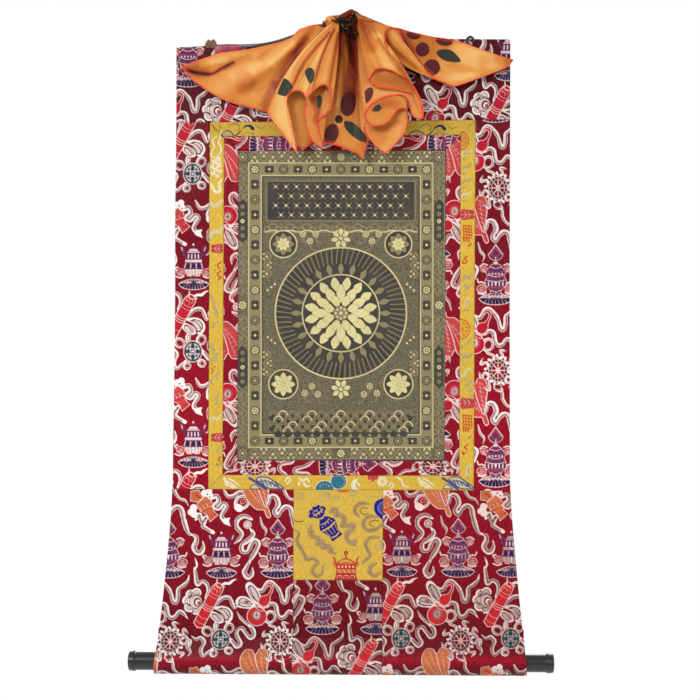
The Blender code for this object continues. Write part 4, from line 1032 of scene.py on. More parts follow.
    # ribbons at the two sides
    cloud([(294.8, 529.4), (299.0, 533.2), (297.0, 540.4), (300.2, 547.0), (304.4, 554.2), (306.6, 559.4), (313.0, 558.4), (317.6, 562.2), (313.6, 567.2), (312.4, 572.0), (317.4, 576.2), (322.4, 572.4), (323.0, 566.0)], 2.0)
    c.line("line", [(294.2, 519.6), (298.2, 521.8), (304.4, 520.8)], 0.6, ends=(0.4, 0.3))
    cloud([(378.4, 537.4), (370.6, 537.6), (365.6, 543.0), (367.6, 550.4), (370.2, 555.6), (364.0, 561.6), (361.4, 565.0)], 1.9, ends=(0.7, 0.1))
    c.oval("grey", (379.4, 545.6), (5.2, 5.6))
    c.line("line", [(375.4, 546.0), (379.0, 541.4), (383.0, 545.4), (380.0, 549.6)], 0.34)
    cloud([(376.0, 563.6), (370.6, 567.0), (369.6, 572.0), (374.0, 575.6), (380.4, 572.4)], 2.3)
    # the banner, cut off by the lower seam
    m = 345.9
    c.line("peach", [(m, 555.4), (m, 560.0)], 0.6, smooth=False)
    c.oval("peach", (m, 553.0), (2.0, 2.3))
    c.oval("coral", (m, 553.2), (0.9, 1.1))
    for q in (-1, 1):
        c.line("coral", [(m + q * 13.4, 556.2), (m + q * 10.8, 560.4), (m + q * 12.0, 564.0), (m + q * 9.0, 567.4)], 1.1, ends=(0.3, 0.9))
        c.line("peach", [(m + q * 12.6, 557.8), (m + q * 10.4, 561.6), (m + q * 11.0, 565.0)], 0.36)
    c.shape("coral", [(m - 9.4, 564.6), (m - 6.6, 560.6), (m, 558.2), (m + 6.6, 560.6), (m + 9.4, 564.6)], edge="peach", edge_width=0.7)
    c.line("grey", [(m - 5.4, 562.4), (m, 560.6), (m + 5.4, 562.4)], 0.6)
    c.shape("peach", [(m - 9.8, 564.8), (m + 9.8, 564.8), (m + 9.4, 569.0), (m - 9.4, 569.0)], smooth=False)
    for k in range(5):
        c.oval("pale", (m - 7.2 + 3.6 * k, 566.8), (1.0, 1.4))
    c.shape("coral", [(m - 10.2, 569.0), (m + 10.2, 569.0), (m + 9.8, 573.4), (m - 9.8, 573.4)], edge="peach", edge_width=0.5, smooth=False)
    for k in range(4):
        c.line("pale", [(m - 7.0 + 4.6 * k, 570.0), (m - 5.6 + 4.6 * k, 572.6)], 0.5, smooth=False)
    c.shape("peach", [(m - 9.6, 573.4), (m + 9.6, 573.4), (m + 12.4, 583.0), (m - 12.4, 583.0)], smooth=False)
    for k in range(3):
        x = m - 6.6 + 6.6 * k
        c.line("pale", [(x - 2.4, 578.6), (x - 1.6, 575.6), (x + 1.6, 575.6), (x + 2.4, 578.6)], 0.42)
        c.line("coral", [(x, 576.8), (x, 579.6)], 0.5, smooth=False)
    return c


# ------------------------------------------------------------------ the hung cloth
def smooth(x):
    x = np.clip(x, 0.0, 1.0)
    return x * x * (3 - 2 * x)


def table(rows, key, value, at):
    return np.interp(at, *zip(*sorted((getattr(r, key), getattr(r, value)) for r in rows)))


def half_width(z):
    return table(SIDES, "z", "half", z)


def head_z(x):
    return HEAD_Z - table(HEAD, "x", "drop", x)


def lean(z):
    return LEAN_AT_TOP + LEAN * z


def tilt(x, z):
    return ROLLER_TILT * x * smooth((FRAME_FOOT_Z - z) / 0.20)


def wave(x, z):
    down = -z
    fade = smooth((down - 0.03) / 0.20) * smooth((0.90 - down) / 0.10)
    side = smooth((np.abs(x) - 0.12) / 0.12)
    return fade * (
        0.0014 * np.sin(2 * np.pi * (x / 0.46 + 0.11))
        + side * 0.0018 * np.sin(2 * np.pi * (down / 0.31 + x * 0.9))
        + 0.0007 * np.sin(2 * np.pi * (down / 0.19 + x / 0.37))
    )


def hung(x, z):
    """The middle of the cloth at (x, z) of the flat mount."""
    return np.stack([x + lean(z), wave(x, z), z + tilt(x, z)], axis=-1)


def hash01(i, j, seed):
    h = (i * 374761393 + j * 668265263 + seed * 1442695041) & 0x7FFFFFFF
    h = ((h ^ (h >> 13)) * 1274126177) & 0x7FFFFFFF
    return ((h ^ (h >> 16)) & 0xFFFF) / 65535.0


def ripple(x, z, size, seed):
    """Smooth irregular relief between -1 and 1 whose lumps are about that size."""
    a, b = x / size, z / size
    i, j = np.floor(a).astype(np.int64), np.floor(b).astype(np.int64)
    fa, fb = smooth(a - i), smooth(b - j)
    v = [[hash01(i + p, j + q, seed) for q in (0, 1)] for p in (0, 1)]
    top = v[0][0] * (1 - fa) + v[1][0] * fa
    low = v[0][1] * (1 - fa) + v[1][1] * fa
    return 2 * (top * (1 - fb) + low * fb) - 1


def grid_normals(grid):
    a = np.gradient(grid, axis=0)
    b = np.gradient(grid, axis=1)
    n = np.cross(a, b)
    return n / np.maximum(np.linalg.norm(n, axis=2, keepdims=True), 1e-12)


def closed_sheet(name, front, back, pick_i, pick_j, fields, back_value=9.0, both=("painted_light_and_tone",)):
    """A closed cloth: a fine face grid and a coarser back grid that keeps only some
    of its columns and rows, joined round the edge. Columns run from left to right,
    rows from the top down."""
    c, r = front.shape[:2]
    back = back[np.ix_(pick_i, pick_j)]
    bc, br = len(pick_i), len(pick_j)
    size = c * r
    i, j = np.meshgrid(np.arange(c - 1), np.arange(r - 1), indexing="ij")
    f = np.stack([i * r + j, i * r + j + 1, (i + 1) * r + j + 1, (i + 1) * r + j], axis=-1).reshape(-1, 4)
    i, j = np.meshgrid(np.arange(bc - 1), np.arange(br - 1), indexing="ij")
    b = size + np.stack([i * br + j, (i + 1) * br + j, (i + 1) * br + j + 1, i * br + j + 1], axis=-1).reshape(-1, 4)
    rim = []
    for k in range(br - 1):
        j0, j1 = pick_j[k], pick_j[k + 1]
        rim.append([jj for jj in range(j1, j0 - 1, -1)] + [size + k, size + k + 1])
        base = (c - 1) * r
        rim.append([base + jj for jj in range(j0, j1 + 1)] + [size + (bc - 1) * br + k + 1, size + (bc - 1) * br + k])
    for k in range(bc - 1):
        i0, i1 = pick_i[k], pick_i[k + 1]
        rim.append([ii * r for ii in range(i0, i1 + 1)] + [size + (k + 1) * br, size + k * br])
        rim.append([ii * r + r - 1 for ii in range(i1, i0 - 1, -1)] + [size + k * br + br - 1, size + (k + 1) * br + br - 1])
    loops = np.concatenate([f.ravel(), b.ravel()] + [np.array(x) for x in rim])
    sizes = np.concatenate([np.full(len(f) + len(b), 4), np.array([len(x) for x in rim])])
    verts = np.concatenate([front.reshape(-1, 3), back.reshape(-1, 3)])
    every = {}
    for key, values in fields.items():
        tail = np.full(bc * br, back_value, np.float32)
        if key in both:
            tail = values[np.ix_(pick_i, pick_j)].ravel()
        every[key] = np.concatenate([values.reshape(-1), tail])
    every["reverse"] = np.concatenate([np.zeros(c * r), np.ones(bc * br)])
    return add_mesh(name, verts, (loops, sizes), every)


def spread(n, every):
    """About every so many of the numbers from 0 to n - 1, with both ends."""
    return sorted(set(np.round(np.linspace(0, n - 1, max(2, int(round((n - 1) / every)) + 1))).astype(int)))


FINE = 0.00114  # spacing of the cloth's points


def counts(width, height, step=FINE):
    return max(4, int(round(width / step))), max(4, int(round(height / step)))


def dressed(name, corner, size, looks, seams, step=FINE, relief=1.0, seed=1):
    """A flat piece of the mount. corner(s, t) gives its point of the flat mount.
    looks(across, down) gives its woven fields at places of the drawing. seams says
    which edges are sewn down: left, right, top and bottom."""
    c, r = counts(*size, step)
    s, t = np.meshgrid(np.linspace(0, 1, c + 1), np.linspace(0, 1, r + 1), indexing="ij")
    x, z = corner(s, t)
    mid = hung(x, z)
    across, down = seen_at(mid[..., 0], mid[..., 1] * 0, mid[..., 2])
    lift = 0.00022 * ripple(x, z, 0.031, seed) + 0.00010 * ripple(x, z, 0.009, seed + 3)
    sewn = np.full(x.shape, 0.02)
    for edge, d in (("left", s * size[0]), ("right", (1 - s) * size[0]), ("top", t * size[1]), ("bottom", (1 - t) * size[1])):
        if edge in seams:
            sewn = np.minimum(sewn, d)
            lift = lift - 0.00062 * np.exp(-((d / 0.0013) ** 2)) + 0.00026 * np.exp(-(((d - 0.0032) / 0.0016) ** 2))
        else:
            lift = lift - 0.00045 * np.exp(-((d / 0.0008) ** 2))
    n = np.array([0.0, 1.0, 0.0])
    front = mid - n * (CLOTH / 2 + relief * lift)[..., None]
    back = mid + n * (CLOTH / 2)
    fields = looks(across, down)
    fields["across"], fields["down"] = across, down
    fields["seam"] = sewn * 1000
    pick_i, pick_j = spread(c + 1, 8), spread(r + 1, 8)
    ob = closed_sheet(name, front, back, pick_i, pick_j, fields)
    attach(ob, "root")
    return ob


# ------------------------------------------------------------------ finishes
def srgb(r, g, b):
    """A colour given as it looks on a screen, 0 to 255."""
    return tuple(((v / 255 + 0.055) / 1.055) ** 2.4 if v > 10.3 else v / 255 / 12.92 for v in (r, g, b))


class Finish:
    """A material's nodes, built up step by step."""

    def __init__(self, name):
        self.m = bpy.data.materials.new(name)
        self.m.use_nodes = True
        self.t = self.m.node_tree
        self.shader = self.t.nodes["Principled BSDF"]

    def node(self, kind, **values):
        n = self.t.nodes.new("ShaderNode" + kind)
        for key, value in values.items():
            setattr(n, key, value)
        return n

    def join(self, a, b):
        self.t.links.new(a, b)

    def put(self, socket, value):
        if hasattr(value, "is_output") or isinstance(value, bpy.types.NodeSocket):
            self.join(value, socket)
        elif isinstance(value, tuple) and len(value) == 3 and socket.type == "RGBA":
            socket.default_value = (*value, 1)
        else:
            socket.default_value = value

    def field(self, name):
        return self.node("Attribute", attribute_name=name).outputs["Fac"]

    def math(self, op, a, b=None, clamp=False):
        n = self.node("Math", operation=op, use_clamp=clamp)
        self.put(n.inputs[0], a)
        if b is not None:
            self.put(n.inputs[1], b)
        return n.outputs[0]

    def ramp(self, value, low, high, out_low=0.0, out_high=1.0, kind="LINEAR"):
        n = self.node("MapRange", interpolation_type=kind, clamp=True)
        self.put(n.inputs["Value"], value)
        n.inputs["From Min"].default_value, n.inputs["From Max"].default_value = low, high
        n.inputs["To Min"].default_value, n.inputs["To Max"].default_value = out_low, out_high
        return n.outputs["Result"]

    def mix(self, factor, a, b, blend="MIX"):
        n = self.node("Mix", data_type="RGBA", blend_type=blend)
        self.put(n.inputs["Factor"], factor)
        self.put(n.inputs[6], a)
        self.put(n.inputs[7], b)
        return n.outputs[2]

    def place(self, scale=(1, 1, 1), turn=0.0):
        c = self.node("TexCoord").outputs["Object"]
        n = self.node("Mapping")
        self.join(c, n.inputs["Vector"])
        n.inputs["Scale"].default_value = scale
        n.inputs["Rotation"].default_value = (0, turn, 0)
        return n.outputs["Vector"]

    def noise(self, scale, detail=2.0, rough=0.5, stretch=(1, 1, 1), turn=0.0):
        n = self.node("TexNoise")
        self.join(self.place(stretch, turn), n.inputs["Vector"])
        n.inputs["Scale"].default_value = scale
        n.inputs["Detail"].default_value = detail
        n.inputs["Roughness"].default_value = rough
        return n.outputs["Fac"]

    def bump(self, height, distance, strength=1.0, base=None):
        n = self.node("Bump")
        self.put(n.inputs["Height"], height)
        n.inputs["Distance"].default_value = distance
        n.inputs["Strength"].default_value = strength
        if base is not None:
            self.join(base, n.inputs["Normal"])
        return n.outputs["Normal"]

    def done(self, colour=None, normal=None, **values):
        if colour is not None:
            self.put(self.shader.inputs["Base Color"], colour)
        if normal is not None:
            self.join(normal, self.shader.inputs["Normal"])
        for key, value in values.items():
            self.put(self.shader.inputs[key.replace("_", " ")], value)
        return self.m


def brocade(name, ground, deep, reverse, palette, soft=0.24, sheen=0.03):
    """Figured silk: satin ground, and each thread colour where its field says so."""
    f = Finish(name)
    threads = f.noise(560, 2.5, 0.65, (1, 1, 0.45))
    cloud = f.noise(14, 2.0, 0.5)
    slubs = f.noise(210, 2.0, 0.6, (0.28, 1, 1.6))
    colour = f.mix(f.ramp(threads, 0.34, 0.66), deep, ground)
    colour = f.mix(f.ramp(cloud, 0.35, 0.7, 0.0, 0.35), colour, tuple(v * 0.78 for v in ground))
    bright = f.math("ADD", f.math("MULTIPLY", f.field("painted_light_and_tone"), 0.25), 0.75)  # painted light and shade: the threads darken less than the ground
    # the ground takes the whole painted light and shade
    n = f.node("VectorMath", operation="SCALE")
    f.join(colour, n.inputs[0])
    f.join(f.math("DIVIDE", f.field("painted_light_and_tone"), bright), n.inputs["Scale"])
    colour = n.outputs[0]
    nearest = None
    for thread, paint in palette.items():
        d = f.field(thread)
        over = f.ramp(d, -soft + 0.12, soft + 0.12, 1.0, 0.0)
        grain = f.mix(f.ramp(slubs, 0.32, 0.70), tuple(v * 0.82 for v in paint), paint)
        colour = f.mix(over, colour, grain)
        nearest = d if nearest is None else f.math("MINIMUM", nearest, d)
    back = f.mix(f.ramp(slubs, 0.3, 0.7), tuple(v * 0.7 for v in reverse), reverse)
    colour = f.mix(f.field("reverse"), colour, back)
    # painted shade in the dips along the sewn seams, times the threads' share of the painted light
    painted_light_and_tone = f.math("MULTIPLY", bright, f.ramp(f.field("seam"), 0.15, 1.0, 0.52, 1.0, "SMOOTHSTEP"))
    n = f.node("VectorMath", operation="SCALE")
    f.join(colour, n.inputs[0])
    f.join(painted_light_and_tone, n.inputs["Scale"])
    colour = n.outputs[0]
    raised = f.ramp(nearest, -0.7, 0.35, 1.0, 0.0, "SMOOTHSTEP")
    normal = f.bump(raised, 0.00030, 0.55)
    weave = f.node("TexWave", wave_type="BANDS", bands_direction="DIAGONAL")
    f.join(f.place((1, 0, 1)), weave.inputs["Vector"])
    weave.inputs["Scale"].default_value = 260
    weave.inputs["Distortion"].default_value = 1.2
    weave.inputs["Detail"].default_value = 1.0
    normal = f.bump(weave.outputs["Fac"], 0.00012, 0.5, normal)
    normal = f.bump(threads, 0.00016, 0.6, normal)
    rough = f.ramp(nearest, -0.3, 0.3, 0.55, 0.42)
    return f.done(colour, normal, Roughness=rough, Sheen_Weight=sheen, Sheen_Roughness=0.4, Specular_IOR_Level=0.15)


# The red palettes are copies of one silk whose silver ribbons carry painted sheen of different strength: greyest in
# RED_PALETTE, whitest in UPPER_PALETTE.
RED_PALETTE = {
    "ribbon": srgb(242, 216, 208), "line": srgb(78, 24, 38), "pale": srgb(234, 194, 184), "coral": srgb(208, 36, 44),
    "peach": srgb(206, 112, 64), "rose": srgb(172, 84, 88), "purple": srgb(100, 44, 92), "navy": srgb(32, 22, 74), "teal": srgb(14, 80, 84), "grey": srgb(188, 158, 148),
}
WHITE_PALETTE = dict(RED_PALETTE, ribbon=srgb(252, 246, 240), grey=srgb(228, 200, 194), pale=srgb(246, 214, 206), line=srgb(72, 14, 32))
UPPER_PALETTE = dict(WHITE_PALETTE, ribbon=srgb(254, 240, 234), grey=srgb(234, 206, 200), coral=srgb(192, 16, 42), peach=srgb(204, 66, 66), rose=srgb(188, 70, 84))
INNER_PALETTE = dict(UPPER_PALETTE, ribbon=srgb(250, 220, 214), grey=srgb(218, 176, 172))
YELLOW_PALETTE = {
    "ribbon": srgb(214, 202, 146), "line": srgb(120, 100, 60), "pale": srgb(238, 228, 196), "coral": srgb(206, 84, 40),
    "peach": srgb(198, 60, 66), "rose": srgb(190, 120, 90), "purple": srgb(66, 78, 140), "navy": srgb(40, 42, 84), "teal": srgb(48, 114, 136), "grey": srgb(186, 168, 108),
}
PATCH_PALETTE = {
    "ribbon": srgb(178, 146, 98), "line": srgb(142, 108, 66), "pale": srgb(240, 206, 160), "coral": srgb(214, 112, 56),
    "peach": srgb(188, 44, 44), "rose": srgb(190, 120, 90), "purple": srgb(112, 142, 190), "navy": srgb(30, 26, 132), "teal": srgb(48, 114, 136), "grey": srgb(206, 172, 92),
}
# The four red silks are lit and shaded copies of one brocade: painted sheen in their ribbons.
red_silk = brocade("red_brocade_silk", srgb(158, 3, 32), srgb(96, 0, 20), srgb(120, 40, 45), RED_PALETTE)
upper_silk = brocade("red_brocade_silk_upper", srgb(148, 2, 28), srgb(86, 0, 16), srgb(120, 40, 45), UPPER_PALETTE)
inner_silk = brocade("red_brocade_silk_inner", srgb(166, 3, 35), srgb(106, 0, 24), srgb(120, 40, 45), INNER_PALETTE)
white_silk = brocade("red_brocade_silk_left", srgb(156, 3, 32), srgb(96, 0, 20), srgb(120, 40, 45), WHITE_PALETTE)
yellow_silk = brocade("yellow_brocade_silk", srgb(228, 190, 74), srgb(200, 160, 50), srgb(150, 130, 80), YELLOW_PALETTE)
patch_silk = brocade("yellow_brocade_patch_silk", srgb(224, 188, 78), srgb(196, 158, 56), srgb(150, 130, 80), PATCH_PALETTE)


# ------------------------------------------------------------------ the mount's pieces
repeat = draw_repeat()


def upright(at, high=178.0):
    """The repeat set with the foot of its first emblem at that place."""

    def looks(across, down):
        return repeat.read(across - at[0], (down - at[1]) * REPEAT[1] / high)

    return looks


def hanging(at, high=178.0):
    """The repeat upside down, as in strips cut the other way."""

    def looks(across, down):
        return repeat.read(at[0] - across, (at[1] - down) * REPEAT[1] / high)

    return looks


def lying(at, high=178.0):
    """The repeat on its side, its top to the right."""

    def looks(across, down):
        return repeat.read(down - at[1], (at[0] - across) * REPEAT[1] / high)

    return looks


# Adds a piece's painted light and shade, a factor on its colour by place
def toned(looks, painted_light_and_tone):
    def both(across, down):
        fields = looks(across, down)
        fields["painted_light_and_tone"] = painted_light_and_tone(across, down) + 0 * across
        return fields

    return both


def place(ob, node, mat):
    ob.data.materials.append(mat)
    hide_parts(node)


def plain_tone(across, down):
    return 1.0


def tabled(down, rows):
    return np.interp(down, [r[0] for r in rows], [r[1] for r in rows])


def head_painted_shade(across, down):
    """Painted shade: darker towards the top edge."""
    return tabled(down, ((36, 0.40), (60, 0.41), (90, 0.42), (122, 0.46)))


# Painted light and shade: darker towards the top, lighter towards the foot.
def side_painted_light(across, down):
    return tabled(down, ((120, 0.74), (200, 0.80), (290, 1.04), (370, 1.44), (490, 1.48)))


def foot_painted_light(across, down):
    """Painted shade where the foot falls away from the light, and a painted highlight round the roller where it catches
    it again.
    """
    return tabled(down, ((488, 1.06), (550, 1.0), (600, 0.76), (634, 0.62), (646, 0.60), (652, 0.62), (656, 0.84), (660, 1.20), (664, 1.14), (667, 0.74), (671, 0.44), (678, 0.36)))


# The foot's painted light and shade, at four fifths.
def middle_painted_light(across, down):
    return 0.80 * foot_painted_light(across, down)


def inner_tone(across, down):
    return 0.92


g = -0.00012  # the dressed pieces meet, and lap a hair


def head_corner(s, t):
    x = (2 * s - 1) * half_width(-0.1)
    top = head_z(x)
    return x, top + (FRAME_TOP_Z + g - top) * t


def head_looks(across, down):
    left = upright((242, 82))(across, down)
    right = upright((400.5, 76))(across, down)
    return {k: np.where(across < 345, left[k], right[k]) for k in left}


ob = dressed("head_panel", head_corner, (0.479, 0.1144), toned(head_looks, head_painted_shade), ("bottom",), seed=2)
place(ob, "panel_top", upper_silk)


def side_corner(sign):
    def at(s, t):
        z = (FRAME_TOP_Z - g) + (FRAME_FOOT_Z - FRAME_TOP_Z + 2 * g) * t
        out, inner = half_width(z), FRAME_HALF + g
        return (-out + (out - inner) * s if sign < 0 else inner + (out - inner) * s), z

    return at


high = FRAME_TOP_Z - FRAME_FOOT_Z
ob = dressed("side_panel_left", side_corner(-1), (0.0497, high), toned(upright((194.5, 284.8), 177.6), side_painted_light), ("right", "top", "bottom"), seed=11)
place(ob, "panel_left", upper_silk)
ob = dressed("side_panel_right", side_corner(1), (0.0497, high), toned(upright((440.1, 299.7), 182.3), side_painted_light), ("left", "top", "bottom"), seed=17)
place(ob, "panel_right", upper_silk)


def mitred(prefix, node, half, top, foot, wide, mat, looks, seed):
    """Four strips of a frame, mitred at the corners."""
    m = g * 0.72

    def long_side(sign):
        def at(s, t):
            a = half - g - (wide - 2 * g) * (s if sign < 0 else 1 - s)
            depth = (half - g - a) + g
            z0, z1 = top - depth - m, foot + depth + m
            return sign * a, z0 + (z1 - z0) * t

        return at

    def cross_side(up):
        def at(s, t):
            depth = g + (wide - 2 * g) * (t if up else 1 - t)
            x0 = half - depth - m
            z = top - depth if up else foot + depth
            return -x0 + 2 * x0 * s, z

        return at

    tall, across = top - foot, 2 * half
    seams = ("left", "right", "top", "bottom")
    for part, corner, size in (
        ("left", long_side(-1), (wide, tall)),
        ("right", long_side(1), (wide, tall)),
        ("top", cross_side(True), (across, wide)),
        ("bottom", cross_side(False), (across, wide)),
    ):
        ob = dressed(prefix + "_" + part, corner, size, looks[part], seams, seed=seed)
        seed += 7
        ob.data.materials.append(mat)
        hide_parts(node + "_" + part)
    return half - wide, top - wide, foot + wide


yellow_chart = draw_yellow_frame()


def yellow_tone(across, down):
    """Its gold is duller round the top corner of the left strip and along the top."""
    t = 1.0 - 0.20 * np.exp(-(((down - 118) / 34) ** 2))
    t = t * (1.0 - 0.06 * np.exp(-(((down - 484) / 8) ** 2)))
    return t


yellow_looks = {part: toned(yellow_chart.read, yellow_tone) for part in ("left", "right", "top", "bottom")}
half, top, foot = mitred("outer_frame", "border_yellow", FRAME_HALF, FRAME_TOP_Z, FRAME_FOOT_Z, YELLOW_W, yellow_silk, yellow_looks, 31)
red_looks = {
    "left": toned(hanging((262.4, 258.7), 177.0), inner_tone),
    "right": toned(hanging((489.2, 253.7), 180.0), inner_tone),
    "bottom": toned(lying((324.1, 408.4), 178.0), inner_tone),
    "top": toned(lying((254.8, 90.0), 178.0), inner_tone),
}
half, top, foot = mitred("inner_frame", "border_red", half, top, foot, INNER_RED_W, inner_silk, red_looks, 61)


def patch_corner(s, t):
    x0, x1 = PATCH_X
    return x0 + g + (x1 - x0 - 2 * g) * s, FRAME_FOOT_Z - g + (PATCH_FOOT_Z - FRAME_FOOT_Z + 2 * g) * t


ob = dressed("yellow_patch", patch_corner, (0.1278, 0.129), toned(draw_patch().read, plain_tone), ("left", "right", "top", "bottom"), seed=83)
place(ob, "door_patch", patch_silk)


# foot panels, with the pocket round the pole
def pocket(front_steps, under_steps):
    """The pocket's section as (y, z over the axis), and how far along the cloth each
    place is below the foot of the flat part."""
    lift = math.acos(POCKET_R / POCKET_RISE)
    ty, tz = -POCKET_R * math.sin(lift), POCKET_R * math.cos(lift)
    rough = [(0.0, POCKET_RISE), (ty * 0.5, (tz + POCKET_RISE) / 2 + 0.0006)]
    steps = 48
    for k in range(steps + 1):
        a = lift + (2 * math.pi - 2 * lift) * k / steps
        rough.append((-POCKET_R * math.sin(a), POCKET_R * math.cos(a)))
    behind = CLOTH + GAP
    rough.append(((-ty + behind) * 0.5 + 0.0006, (tz + POCKET_RISE) / 2))
    rough.append((behind + 0.0002, POCKET_RISE + 0.0012))
    rough.append((behind, POCKET_RISE + HEM_UP))
    rough = np.array(rough)
    run = np.concatenate([[0], np.cumsum(np.linalg.norm(np.diff(rough, axis=0), axis=1))])
    front = math.hypot(ty, tz - POCKET_RISE) + POCKET_R * (math.pi - lift)
    at = np.concatenate([np.linspace(0, front, front_steps + 1)[1:], np.linspace(front, run[-1], under_steps + 1)[1:]])
    return np.stack([np.interp(at, run, rough[:, 0]), np.interp(at, run, rough[:, 1])], axis=1), at


def foot_panel(name, node, top_z, left, right, width, looks, seams, seed, silk):
    flat_foot = ROLLER_Z + POCKET_RISE
    rows = int(round((top_z - flat_foot) / FINE))
    around, run = pocket(int(0.052 / FINE), 30)
    columns = int(round(width / FINE))
    s = np.linspace(0, 1, columns + 1)
    lines, cloth_z = [], []
    for j in range(rows + 1):
        z = top_z + (flat_foot - top_z) * j / rows
        x = left(z) + (right(z) - left(z)) * s
        lines.append(hung(x, np.full_like(x, z)))
        cloth_z.append(z)
    x_flat = left(flat_foot) + (right(flat_foot) - left(flat_foot)) * s
    for (y, up), far in zip(around, run):
        z = ROLLER_Z + up
        low = min(z, flat_foot) if y <= 0 else ROLLER_Z - POCKET_R
        x = left(low) + (right(low) - left(low)) * s
        if y > 0:
            x = x + (x_flat - x) * smooth((up + POCKET_R) / (2 * POCKET_R))
        lines.append(np.stack([x + lean(z), y + wave(x, min(z, -0.95)) + 0 * x, z + tilt(x, z)], axis=-1))
        cloth_z.append(flat_foot - far)
    mid = np.stack(lines, axis=1)
    cloth_z = np.array(cloth_z)
    n = grid_normals(mid)
    ss, zz = np.meshgrid(s, cloth_z, indexing="ij")
    wide = right(-0.85) - left(-0.85)
    lift = 0.00026 * ripple(ss * wide, zz, 0.034, seed) + 0.00010 * ripple(ss * wide, zz, 0.010, seed + 3)
    edges = {"left": ss * wide, "right": (1 - ss) * wide, "top": (top_z - zz)}
    sewn = np.full(zz.shape, 0.02)
    for edge, d in edges.items():
        if edge in seams:
            sewn = np.minimum(sewn, np.abs(d))
            lift = lift - 0.00062 * np.exp(-((d / 0.0013) ** 2)) + 0.00026 * np.exp(-(((d - 0.0032) / 0.0016) ** 2))
        elif edge != "top":
            lift = lift - 0.00045 * np.exp(-((d / 0.0008) ** 2))
    lift = lift * smooth((zz - cloth_z[rows] + 0.06) / 0.02)
    front = mid - n * (CLOTH / 2 + lift)[..., None]
    back = mid + n * (CLOTH / 2)
    flat_mid = hung(mid[..., 0] - lean(zz), zz)
    across, down = seen_at(mid[..., 0], 0 * zz, zz + tilt(mid[..., 0], zz))
    fields = looks(across, down)
    fields["across"], fields["down"] = across, down
    fields["seam"] = sewn * 1000
    pick_i = spread(columns + 1, 8)
    pick_j = sorted(set(spread(rows + 1, 8)) | set(range(rows, mid.shape[1], 2)) | {mid.shape[1] - 1})
    ob = closed_sheet(name, front, back, pick_i, pick_j, fields)
    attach(ob, "root")
    place(ob, node, silk)


def out(sign):
    return lambda z: sign * half_width(z)


def fixed(x):
    return lambda z: x


x0, x1 = PATCH_X
foot_panel("foot_left", "panel_bottom_left", FRAME_FOOT_Z - g, out(-1), fixed(x0 - g), 0.195, toned(upright((222.3, 573)), foot_painted_light), ("right", "top"), 91, white_silk)
foot_panel("foot_right", "panel_bottom_right", FRAME_FOOT_Z - g, fixed(x1 + g), out(1), 0.200, toned(upright((402.7, 572)), foot_painted_light), ("left", "top"), 97, red_silk)
foot_panel("foot_middle", "panel_bottom_centre", PATCH_FOOT_Z - g, fixed(x0 + g), fixed(x1 - g), 0.1278, toned(upright((376.4, 629.3)), middle_painted_light), ("left", "right", "top"), 101, red_silk)


# ------------------------------------------------------------------ the painted cloth
# A mandala of lotus rings in gold on charcoal, between bands of rosettes and vines.
ART_MIDDLE = (340.9, 305.2)
ART_HALF = (104.6, 154.6)


